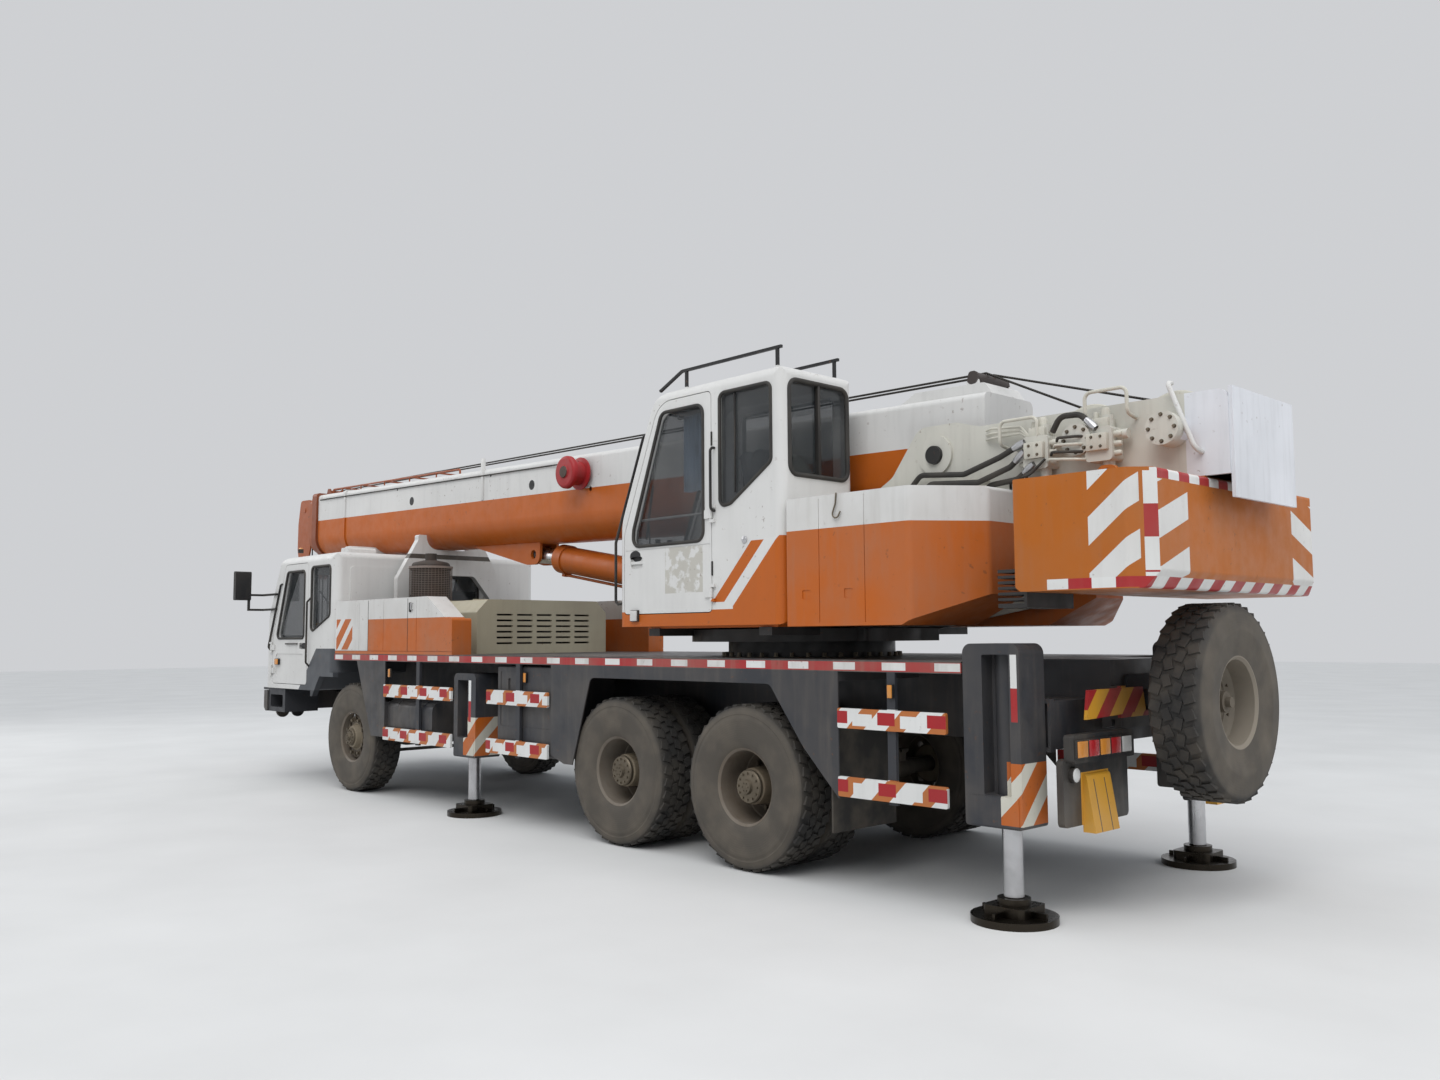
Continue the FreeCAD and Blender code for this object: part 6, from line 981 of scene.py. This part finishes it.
class CRANE_OT_windows(bpy.types.Operator):
    """Glazes the doors and lays rubber seals and wipers on the windows"""
    bl_idname = "crane.windows"
    bl_label = "Windows"

    def execute(self, context):
        seal = context.scene.crane_looks.seal
        carrier = Piece("cab_window_seals", "carrier", "black_trim")
        for name, side in SIDES:
            door = f"driver_door_{name}"
            Piece(f"driver_door_pane_{name}", door, "glass").put(
                "pane", slab(upright(CAB_DOOR_WINDOW, CAB_SIDE - 0.033, side), 0.005, 0)).place()
            frame_piece = Piece(f"driver_door_seal_{name}", door, "black_trim")
            frame_piece.put("seal", round_seal(seal, CAB_DOOR_WINDOW, CAB_SIDE, side))
            frame_piece.put("black", tube([(4.06, side * 1.262, 1.50), (3.76, side * 1.262, 1.50)], 0.008, 0.01))
            frame_piece.place()
            carrier.put("seal", round_seal(seal, CAB_QUARTER_WINDOW, CAB_SIDE, side))
        rear = [(CAB_REAR, y, z) for y, z in ((-0.48, 1.75), (0.48, 1.75), (0.48, 2.30), (-0.48, 2.30))]
        screen = [on_cab_screen(y, z) for y, z in ((-1.10, 1.58), (1.10, 1.58), (1.04, 2.34), (-1.04, 2.34))]
        carrier.put("seal", tube(rear, seal, 0.06, True), tube(screen, seal * 1.3, 0.07, True))
        carrier.place()

        wipers = Piece("cab_wipers", "carrier", "black_trim")
        for y in (-0.75, 0.15):
            foot, tip = on_cab_screen(y, 1.55) + X * 0.02, on_cab_screen(y + 0.42, 1.95) + X * 0.015
            along = (tip - foot).normalized()
            wipers.put("black", tube([foot - X * 0.03, foot, tip], 0.006, 0.02, sides=8),
                       tube([tip - along * 0.28 + Z * 0.03, tip + along * 0.22 + Z * 0.03], 0.009, 0.01, sides=6),
                       lathe([(0, 0.03), (0.018, 0.025), (0.022, 0), (0, 0)], foot - X * 0.02, X, 16))
        wipers.place()

        Piece("operator_door_pane", "operator_door", "glass").put(
            "pane", slab(upright(OPERATOR_DOOR_WINDOW, OPERATOR_SIDE - 0.030), 0.005, 0)).place()
        frame_piece = Piece("operator_door_seal", "operator_door", "black_trim")
        frame_piece.put("seal", round_seal(seal, OPERATOR_DOOR_WINDOW, OPERATOR_SIDE, bend=0.07))
        frame_piece.put("white", tube([(-2.77, 1.145, 2.42), (-2.03, 1.145, 2.42)], 0.009, 0.01))
        frame_piece.place()
        seals = Piece("operator_window_seals", "turntable", "black_trim")
        rear = [(OPERATOR_REAR, y, z) for y, z in ((0.53, 2.62), (1.12, 2.62), (1.12, 3.26), (0.53, 3.26))]
        screen = [on_operator_screen(y, z) for y, z in (
            (0.525, 2.0), (0.525, 2.27), (0.525, 3.22), (1.135, 3.22), (1.135, 2.27), (1.135, 2.0))]
        seals.put("seal", round_seal(seal, OPERATOR_SIDE_WINDOW, OPERATOR_SIDE),
                  round_seal(seal, OPERATOR_INNER_WINDOW, 0.46), tube(rear, seal * 1.25, 0.07, True),
                  tube(screen, seal, 0.05, True))
        low, high = (on_operator_screen(y, z) + X * 0.03 for y, z in ((0.83, 2.02), (0.95, 2.5)))
        seals.put("black", block((OPERATOR_REAR - 0.008, OPERATOR_REAR + 0.03), (0.812, 0.838), (2.63, 3.25)),
                  tube([(-3.09, 1.19, 2.53), (-3.09, 1.19, 3.22)], 0.007, 0.01), tube([low, high], 0.006, 0.01),
                  tube([high - Z * 0.2 + X * 0.02, high + Z * 0.22 - X * 0.06], 0.009, 0.01))
        seals.place()
        return {"FINISHED"}


def cushion(centre, size, turn, crown=0.16, steps=14):
    """Stuffed pad: crowned faces, sides that pull in between the corners, a welt and sewn channels."""
    bm = bmesh.new()
    bmesh.ops.create_cube(bm, size=2)
    bmesh.ops.subdivide_edges(bm, edges=bm.edges, cuts=steps, use_grid_fill=True)
    half = Vector(size) / 2
    for v in bm.verts:
        u, w, h = v.co
        dome = (1 - abs(u) ** 3) * (1 - abs(w) ** 3)
        pull = 1 - 0.035 * (1 - u * u) - 0.06 * abs(h)
        waist = 1 - 0.035 * (1 - w * w) - 0.06 * abs(h)
        channel = 0.10 * math.exp(-((abs(u) - 0.36) / 0.05) ** 2) + 0.05 * math.exp(-(u / 0.05) ** 2)
        height = h * (0.80 + crown * dome - channel * (h > 0.5) * (1 - abs(w) ** 6))
        v.co = Vector((u * waist * half.x, w * pull * half.y, height * half.z))
    bmesh.ops.smooth_vert(bm, verts=bm.verts, factor=0.5, use_axis_x=True, use_axis_y=True, use_axis_z=True)
    bmesh.ops.transform(bm, matrix=Matrix.Translation(centre) @ Matrix.Rotation(turn, 4, "Y"), verts=bm.verts)
    return from_bmesh(bm)


class CRANE_OT_seats(bpy.types.Operator):
    """Covers the seats of both cabs with stuffed cushions"""
    bl_idname = "crane.seats"
    bl_label = "Seats"

    def execute(self, context):
        # Name, body, centre, size, turn about the side axis in degrees
        rows = [(f"driver_seat_{part}_{name}", "carrier", (x, side * 0.63, z), size, turn)
                for part, x, z, size, turn in (("pad", 3.82, 1.425, (0.50, 0.53, 0.17), -4),
                                               ("back", 3.595, 1.80, (0.66, 0.52, 0.15), -76))
                for name, side in SIDES]
        rows += [("operator_seat_pad", "turntable", (-2.80, 0.83, 2.125), (0.56, 0.53, 0.17), -3),
                 ("operator_seat_back", "turntable", (-3.145, 0.83, 2.50), (0.68, 0.52, 0.16), -77)]
        for name, body, centre, size, turn in rows:
            pad = Piece(name, body, "cab_trim").put("seat", cushion(centre, size, math.radians(turn))).place()
        return {"FINISHED"}


def pleated(low, high, y, top, bottom, folds=9, deep=0.017, thick=0.0015):
    """Hanging cloth in soft folds that open towards its hem: the mesh, and the width it was cut to."""
    across, rows = folds * 12, 26
    bm = bmesh.new()
    grid, wide = [], 0.0
    for r in range(rows + 1):
        fall = r / rows
        line = []
        for k in range(across + 1):
            u = k / across
            wave = math.sin(2 * math.pi * folds * u + 0.5 * math.sin(5 * u + 2 * fall))
            wave *= 0.75 + 0.25 * math.sin(11 * u + 1.5)
            drift = 0.010 * math.sin(3.1 * u + 2.2 * fall) * fall
            line.append(Vector((low + (high - low) * (u + 0.006 * math.sin(9 * u) * fall),
                                y + deep * wave * (0.9 + 0.1 * fall) + drift,
                                top + (bottom - top) * fall + 0.004 * math.sin(14 * u) * fall)))
        wide += sum((b - a).length for a, b in zip(line, line[1:])) / (rows + 1)
        grid.append(line)
    sides = [[[bm.verts.new(p + Y * shift) for p in line] for line in grid] for shift in (-thick / 2, thick / 2)]
    for verts in sides:
        for a, b in zip(verts, verts[1:]):
            for k in range(across):
                bm.faces.new((a[k], a[k + 1], b[k + 1], b[k]))
    rim = [(0, k) for k in range(across + 1)] + [(r, across) for r in range(1, rows + 1)]
    rim += [(rows, k) for k in range(across - 1, -1, -1)] + [(r, 0) for r in range(rows - 1, 0, -1)]
    for (r, k), (s, m) in zip(rim, rim[1:] + rim[:1]):
        bm.faces.new((sides[0][r][k], sides[0][s][m], sides[1][s][m], sides[1][r][k]))
    return from_bmesh(bm), wide


class CRANE_OT_curtain(bpy.types.Operator):
    """Hangs the curtain behind the window of the operator's door"""
    bl_idname = "crane.curtain"
    bl_label = "Curtain"

    def execute(self, context):
        low, high, y, top, bottom = -2.79, -2.43, 1.075, 3.15, 2.60
        rail = Piece("curtain_rail", "turntable", "dark_steel")
        rod = [(low - 0.08, y, 3.31), (low - 0.08, y, top), (high + 0.06, y, top), (high + 0.06, y, 3.31)]
        rail.put("steel", tube(rod, 0.005, 0.02, sides=8))
        rail.place()
        mesh, wide = pleated(low, high, y, top + 0.012, bottom)
        curtain = Piece("door_curtain", "turntable", "cab_trim").put("curtain", mesh).place()
        return {"FINISHED"}


class CRANE_OT_ropes(bpy.types.Operator):
    """Winds the drums and leads the hoist ropes over the boom"""
    bl_idname = "crane.ropes"
    bl_label = "Ropes"

    def execute(self, context):
        rope = context.scene.crane_looks.rope
        drum, layer = 0.195, 0.203
        mouth, head = on_boom(9.74, 0, 0.467), on_boom(10.23, 0, 0.255)
        for name, x, lane in WINCHES:
            centre = Vector((x, 0, WINCH_Z))
            winding = Piece(f"{name}_rope_winding", f"{name}_winch", "dark_steel")
            winding.put("rope", lathe([(0.16, -0.368), (drum, -0.368), (drum, 0.368), (0.16, 0.368)], centre, Y, 48),
                        recipe("winding").grow(None, facing(centre, Y), Turns=0.72 / (rope * 2.05), Drum=layer,
                                               Across=0.72, Rope=rope))
            winding.place()
            lead = Piece(f"{name}_rope_lead", "turntable", "dark_steel")
            start = centre + Vector((0.06, lane * 3, (layer + rope) * 0.985))
            over = TAIL_ROLLER + Vector((-0.012, lane, 0.05))
            long, bend_start, rings = (over - start).length, start, [0.0, 1.0]
            if name == "auxiliary":
                # This rope lies on the front winch's when the boom stands up, so it has a ring there, and its bend
                # start is set further along
                bend_start, rings = start.lerp(over, 0.2), [0.0, 0.325, 1.0]
            profile = [(0, 0.0), *[(rope, long * k) for k in rings], (0, long)]
            lead.put("rope", lathe(profile, start, over - start, 10))
            lead.place(bend=("boom", bend_start, over))
            path = [over, TAIL_ROLLER + Vector((0.02, lane, 0.05)), mouth + Vector((0, lane, 0.034))]
            Piece(f"{name}_boom_rope", "boom", "dark_steel").put("rope", tube(path, rope, 0.05)).place()
            path = [mouth + Vector((0.002, lane, 0.034)), head + Vector((-0.05, lane, 0.124))]
            path += [head + Vector((math.cos(a) * 0.128, lane, math.sin(a) * 0.128)) for a in
                     (math.radians(d) for d in (80, 60, 40, 20, 0, -15))]
            path.append(on_boom(10.36, lane, -0.42))
            Piece(f"{name}_head_rope", "boom_fourth", "dark_steel").put("rope", tube(path, rope, 0.03)).place()
        return {"FINISHED"}


class CRANE_OT_hydraulics(bpy.types.Operator):
    """Lays the fixed pipes and short hoses of the upper works and the carrier"""
    bl_idname = "crane.hydraulics"
    bl_label = "Hydraulics"

    def execute(self, context):
        upper = Piece("upper_pipes_and_hoses", "turntable", "black_trim")
        hose, pipe = "hose", "cream"
        # Thick hoses along the cheek to the valve blocks, each with a steel end
        end = [(0, -0.09), (0.020, -0.09), (0.024, -0.06), (0.024, -0.02), (0.018, 0.0), (0, 0)]
        for path in (
            ((-4.02, 0.46, 2.52), (-4.14, 0.50, 2.60), (-4.50, 0.53, 2.565), (-4.78, 0.55, 2.64),
             (-4.97, 0.57, 2.71)),
            ((-4.10, 0.46, 2.46), (-4.24, 0.53, 2.53), (-4.62, 0.55, 2.50), (-4.86, 0.56, 2.57),
             (-4.97, 0.575, 2.65)),
            ((-4.60, 0.47, 2.40), (-4.66, 0.50, 2.48), (-4.90, 0.55, 2.49), (-5.03, 0.57, 2.57)),
            ((-5.12, 0.50, 2.76), (-5.19, 0.53, 2.84), (-5.33, 0.55, 2.83), (-5.44, 0.57, 2.73)),
        ):
            upper.put(hose, tube(path, 0.018, 0.09))
            upper.put("steel", lathe(end, path[-1], Vector(path[-1]) - Vector(path[-2]), 16))
        # Thin hoses from the side cover and between the blocks
        for k in range(5):
            foot = Vector((-4.80 - 0.035 * k, 0.47 + 0.012 * k, 2.42))
            top = Vector((-5.06 - 0.012 * k, 0.575, 2.55 + 0.01 * k))
            upper.put(hose, tube([foot - Z * 0.03, foot + Vector((-0.02, 0.03, 0.08)),
                                  top + Vector((0.04, 0.03, -0.05)), top], 0.008, sides=8))
        for k in range(4):
            foot, top = Vector((-5.12 - 0.02 * k, 0.56, 2.57 + 0.04 * k)), Vector((-5.36, 0.56, 2.56 + 0.045 * k))
            upper.put(hose if k % 2 else pipe, tube([foot, foot + Vector((-0.03, 0.04, 0.01)),
                                                     top + Vector((0.03, 0.04, 0)), top], 0.009, 0.03, sides=8))
        # Bent steel pipes over each block and along the cheek
        for x, z in ((-4.92, 2.86), (-5.50, 2.95)):
            bends = ((0.14, 0.44, -0.16), (0.14, 0.545, -0.14), (0.14, 0.545, 0), (-0.12, 0.545, 0),
                     (-0.12, 0.545, -0.15), (-0.12, 0.44, -0.17))
            upper.put(pipe, tube([(x + u, y, z + v) for u, y, v in bends], 0.011))
        for z in (2.47, 2.515):
            upper.put(pipe, tube([(-3.62, 0.445, z), (-3.70, 0.475, z), (-4.55, 0.475, z + 0.01),
                                  (-4.63, 0.445, z + 0.01)], 0.013))
        for k in range(3):
            upper.put(pipe, tube([(-4.62, 0.445, 2.78 + 0.03 * k), (-4.68, 0.48, 2.78 + 0.03 * k),
                                  (-4.90, 0.50, 2.78 + 0.02 * k), (-4.99, 0.52, 2.73)], 0.008, sides=8))
        # Spools, caps and relief valves on the blocks
        big = [(0, 0.07), (0.020, 0.066), (0.026, 0.05), (0.026, 0), (0, 0)]
        small = [(0, 0.05), (0.014, 0.046), (0.018, 0.03), (0.018, 0), (0, 0)]
        spool = [(0, 0.045), (0.012, 0.042), (0.018, 0.03), (0.018, 0), (0, 0)]
        top = 2.74
        for low, high in ((-5.12, -4.95), (-5.53, -5.36)):
            mid = (low + high) / 2
            upper.put(pipe, block((mid - 0.055, mid + 0.055), (0.45, 0.545), (top - 0.01, top + 0.055), 0.006),
                      block((low + 0.02, high - 0.02), (0.558, 0.590), (2.60, 2.70), 0.006),
                      lathe(big, (mid - 0.02, 0.50, top + 0.05), Z, 20),
                      lathe(small, (mid + 0.04, 0.50, top + 0.05), Z, 16),
                      *[lathe(spool, (x, 0.525, z), way, 16) for z in (2.58, 2.635, 2.69)
                        for x, way in ((low, -X), (high, X))])
            upper.put("greased", bolts((mid, 0.590, 2.65), Y, 4, 0.040, 0.007, 0.008, math.pi / 4))
        # Slanting pipe on the rear of the cheek and the bolts of the winch motors
        upper.put("white", tube([(-5.83, 0.43, 2.95), (-5.84, 0.50, 2.94), (-5.98, 0.50, 2.56), (-5.99, 0.43, 2.54)],
                                0.014, sides=12))
        upper.put("greased", *[bolts((x, 0.574, WINCH_Z), Y, 8, 0.075, 0.009, 0.014) for _, x, _ in WINCHES])
        upper.place()

        lower = Piece("carrier_hoses", "carrier", "black_trim")
        for side in (1, -1):
            lower.put(hose, tube([(0.42, side * 0.46, 1.34), (0.47, side * 0.60, 1.22),
                                  (0.47, side * 0.86, 1.20), (0.36, side * 0.93, 1.10)], 0.012, 0.06, sides=8))
        lower.put("steel", tube([(1.05, 0.74, 0.97), (1.05, 0.74, 1.06), (1.30, 0.60, 1.08)], 0.010, 0.03, sides=8))
        lower.place()
        return {"FINISHED"}


def lamp(piece, centre, axis, radius, deep, colour):
    """Round lamp: black body with a rim and a coloured lens that bulges a little."""
    piece.put("black", lathe([(0, -0.004), (radius, -0.004), (radius, deep * 0.75), (radius * 0.86, deep * 0.8),
                              (0, deep * 0.8)], centre, axis, 28))
    piece.put(colour, lathe([(0, deep * 1.15), (radius * 0.5, deep * 1.08), (radius * 0.84, deep * 0.8),
                             (0, deep * 0.7)], centre, axis, 28))


def square_lamp(piece, centre, axis, wide, high, deep, colour):
    """Square lamp: black body and a coloured lens."""
    for look, w, h, low, top in (("black", wide, high, -0.004, deep * 0.7),
                                 (colour, wide * 0.9, high * 0.86, deep * 0.6, deep)):
        mesh = block((-h / 2, h / 2), (-w / 2, w / 2), (low, top))
        mesh.transform(facing(centre, axis))
        piece.put(look, mesh)


class CRANE_OT_lamps(bpy.types.Operator):
    """Adds the lamps and side markers"""
    bl_idname = "crane.lamps"
    bl_label = "Lamps"

    def execute(self, context):
        piece = Piece("carrier_lamps", "carrier", "black_trim")
        bumper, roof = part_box("front_bumper")[1][0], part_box("driver_cab")[1][2]
        for side in (1, -1):
            # Tail lamps in the bar: outer amber, then red, amber, red and a clear one
            for y, colour in ((0.99, "amber"), (0.87, "red"), (0.75, "amber"), (0.63, "red"), (0.51, "clear")):
                square_lamp(piece, (-5.512, side * y, 0.935), -X, 0.112, 0.10, 0.022, colour)
            lamp(piece, (-5.462, side * 0.985, 0.795), -X, 0.045, 0.03, "clear")
            # Side markers on the guards, the splash panels and the beam housings
            for x, z, y in ((2.05, 0.98, 1.20), (1.62, 1.22, 1.26), (-4.46, 1.22, 1.26), (-0.62, 1.22, 1.216)):
                square_lamp(piece, (x, side * y, z), Y * side, 0.085, 0.04, 0.020, "amber")
            # Turn lamp at the lower front corner of the cab
            square_lamp(piece, (4.28, side * 1.252, 1.30), Y * side, 0.07, 0.10, 0.025, "amber")
            # Headlamps in the bumper
            for y in (0.98, 0.80):
                lamp(piece, (bumper - 0.002, side * y, 0.72), X, 0.075, 0.03, "clear")
            # Marker lamps at the top corners of the cab
            lamp(piece, (4.20, side * 1.05, roof - 0.006), Z, 0.030, 0.05, "amber")
        piece.place()

        upper = Piece("upper_lamps", "turntable", "black_trim")
        lamp(upper, (-1.805, 1.05, 1.93), X, 0.045, 0.04, "clear")
        square_lamp(upper, (-2.03, 1.198, 1.705), Y, 0.085, 0.085, 0.03, "clear")
        upper.place()
        return {"FINISHED"}


class CRANE_OT_fittings(bpy.types.Operator):
    """Adds bolts, grab rods, mud flaps, the silencer's guard, guide bars and other small ironwork"""
    bl_idname = "crane.fittings"
    bl_label = "Fittings"

    def execute(self, context):
        self.carrier()
        self.upper()
        self.boom()
        return {"FINISHED"}

    def carrier(self):
        # Slewing ring bolts
        ring = Piece("slewing_ring_bolts", "carrier", "dark_steel")
        ring.put("greased", bolts((-2.7, 0, 1.40), Z, 36, 0.675, 0.016, 0.03))
        ring.place()

        # Wire guard of the silencer with its clamps
        guard = Piece("silencer_guard", "carrier", "black_trim")
        guard.put("rusty", recipe("lattice").grow(None, Matrix.Translation((*SILENCER, 1.90)),
                                                  Radius=0.222, Height=0.82))
        for z in (1.50, 1.90, 2.30):
            guard.put("rusty", lathe([(0.220, -0.012), (0.229, -0.012), (0.229, 0.012), (0.220, 0.012)],
                                     (*SILENCER, z), Z, 48))
        guard.place()

        # Handle and seams of the tool covers
        covers = Piece("cover_fittings", "carrier", "white_paint")
        for side in (1, -1):
            covers.put("black", block((1.25, 1.285), (side * 1.249, side * 1.262), (1.80, 1.89), 0.005),
                       *[block((x, x + 0.006), (side * 1.249, side * 1.2515), (1.43, 1.93), 0)
                         for x in (2.118, 1.318)])
            covers.put("steel", tube([(1.222, side * y, z) for y, z in (
                (1.25, 1.82), (1.275, 1.82), (1.275, 1.88), (1.25, 1.88))], 0.006, 0.01, sides=8))
        covers.place()

        # Rubber flaps behind the rear wheels and the bars that hold them
        flaps = Piece("mud_flaps", "carrier", "black_trim")
        for side in (1, -1):
            flaps.put("flap", block((-3.965, -3.950), (side * 0.60, side * 1.22), (0.34, 1.02), 0.004))
            flaps.put("black", block((-3.972, -3.944), (side * 0.58, side * 1.23), (0.99, 1.04), 0.004))
            flaps.put("greased", bolts((-3.972, side * 0.90, 1.015), -X, 2, 0.22, 0.008, 0.01))
        flaps.place()

        # Grab rods of the cab, the two middle points off its wall, and its roof lamp box
        rods = Piece("cab_grab_rods", "carrier", "black_trim")
        for side in (1, -1):
            for (a, b, c, d), off, on, radius in (
                (((4.50, 1.42), (4.53, 1.46), (4.22, 2.18), (4.18, 2.16)), 1.262, 1.235, 0.011),
                (((3.475, 1.25), (3.475, 1.30), (3.475, 1.95), (3.475, 2.0)), 1.285, 1.24, 0.010),
            ):
                path = upright([a], on, side) + upright([b, c], off, side) + upright([d], on, side)
                rods.put("black", tube(path, radius, 0.03))
        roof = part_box("driver_cab")[1][2]
        rods.put("white", block((4.02, 4.14), (-0.55, 0.55), (roof - 0.02, roof + 0.085), 0.015))
        rods.place()

    def upper(self):
        upper = Piece("upper_fittings", "turntable", "white_paint")
        # Round lock and hinges on the side of the operator's cab, handle beside its door
        upper.put("steel", lathe([(0, 0.014), (0.016, 0.013), (0.024, 0.008), (0.026, -0.002), (0, -0.002)],
                                         (-3.19, 1.20, 2.20), Y, 24))
        for z in (2.93, 2.02):
            upper.put("black", block((-2.876, -2.862), (1.198, 1.2075), (z - 0.05, z + 0.05), 0.003))
        handle = [(-2.90, y, z) for y, z in ((1.205, 2.42), (1.245, 2.42), (1.245, 2.86), (1.205, 2.86))]
        upper.put("black", tube(handle, 0.010, 0.03))
        # Hook on the side cover
        upper.put("greased", tube([(-4.01, 1.205, 2.44), (-4.01, 1.214, 2.37), (-3.98, 1.214, 2.30),
                                           (-4.02, 1.214, 2.27), (-4.05, 1.214, 2.32)], 0.005, 0.03, sides=8))
        # Grab rod along the front pillar
        low, mid, top = (on_operator_screen(1.165, z) for z in (1.80, 2.27, 3.06))
        path = [low - X * 0.01, low + X * 0.06, mid + X * 0.06, top + X * 0.06, top - X * 0.01]
        upper.put("black", tube(path, 0.011))
        # Bolts round the ends of the boom's pin
        for side in (1, -1):
            upper.put("greased", bolts(BOOM_PIN + Y * side * CHEEK_SIDE, Y * side, 6, 0.085, 0.011, 0.018))
        upper.place()

    def boom(self):
        """Guide bars along the boom's top, a plate on its side, the cable to its head and the collar's bolts."""
        boom = Piece("boom_fittings", "boom", "white_paint")
        for y in (-0.20, 0.20):
            path = [on_boom(along, y, above) for along, above in (
                (6.4, 0.40), (6.4, 0.475), (9.45, 0.475), (9.45, 0.40))]
            boom.put("rusted", tube(path, 0.011, 0.03, sides=8))
        for along in (6.9, 7.5, 8.1, 8.7, 9.2):
            left, right = on_boom(along, 0.20, 0.475), on_boom(along, -0.20, 0.475)
            boom.put("rusted", tube([right, left], 0.009, 0.01, sides=8),
                     tube([left, on_boom(along, 0.20, 0.405)], 0.008, 0.01, sides=8),
                     tube([right, on_boom(along, -0.20, 0.405)], 0.008, 0.01, sides=8))
        boom.put("white", block((1.545, 1.590), (0.270, 0.302), (2.965, 3.40), 0.004))
        boom.put("hose", tube([(-0.17, 0.36, 3.16), on_boom(4.6, 0.302, 0.345), on_boom(9.4, 0.302, 0.345),
                               on_boom(9.62, 0.29, 0.345)], 0.007, 0.05, sides=8))
        boom.put("greased", *[bolts(on_boom(9.70, side * 0.315, 0), Y * side, 2, 0.20, 0.012, 0.016, math.pi / 2)
                              for side in (1, -1)])
        boom.place()


class CRANE_PT_sidebar(bpy.types.Panel):
    """Panel with the crane's looks"""
    bl_label = "Truck Crane"
    bl_idname = "CRANE_PT_sidebar"
    bl_space_type = "VIEW_3D"
    bl_region_type = "UI"
    bl_category = "Crane"

    def draw(self, context):
        looks = context.scene.crane_looks
        for name in ("white", "orange", "slate", "rope", "lugs", "seal"):
            self.layout.prop(looks, name)
        for operator in OPERATORS:
            self.layout.operator(operator.bl_idname)


OPERATORS = (CRANE_OT_stage, CRANE_OT_carrier_paint, CRANE_OT_upper_paint, CRANE_OT_tyres, CRANE_OT_windows,
             CRANE_OT_seats, CRANE_OT_curtain, CRANE_OT_ropes, CRANE_OT_hydraulics, CRANE_OT_lamps, CRANE_OT_fittings)
CLASSES = (CraneLooks, *OPERATORS, CRANE_PT_sidebar)


def register():
    for each in CLASSES:
        bpy.utils.register_class(each)
    bpy.types.Scene.crane_looks = bpy.props.PointerProperty(type=CraneLooks)


def unregister():
    del bpy.types.Scene.crane_looks
    for each in reversed(CLASSES):
        bpy.utils.unregister_class(each)


def main():
    register()
    for operator in OPERATORS:
        group, name = operator.bl_idname.split(".")
        getattr(getattr(bpy.ops, group), name)()


if __name__ == "__main__":
    main()
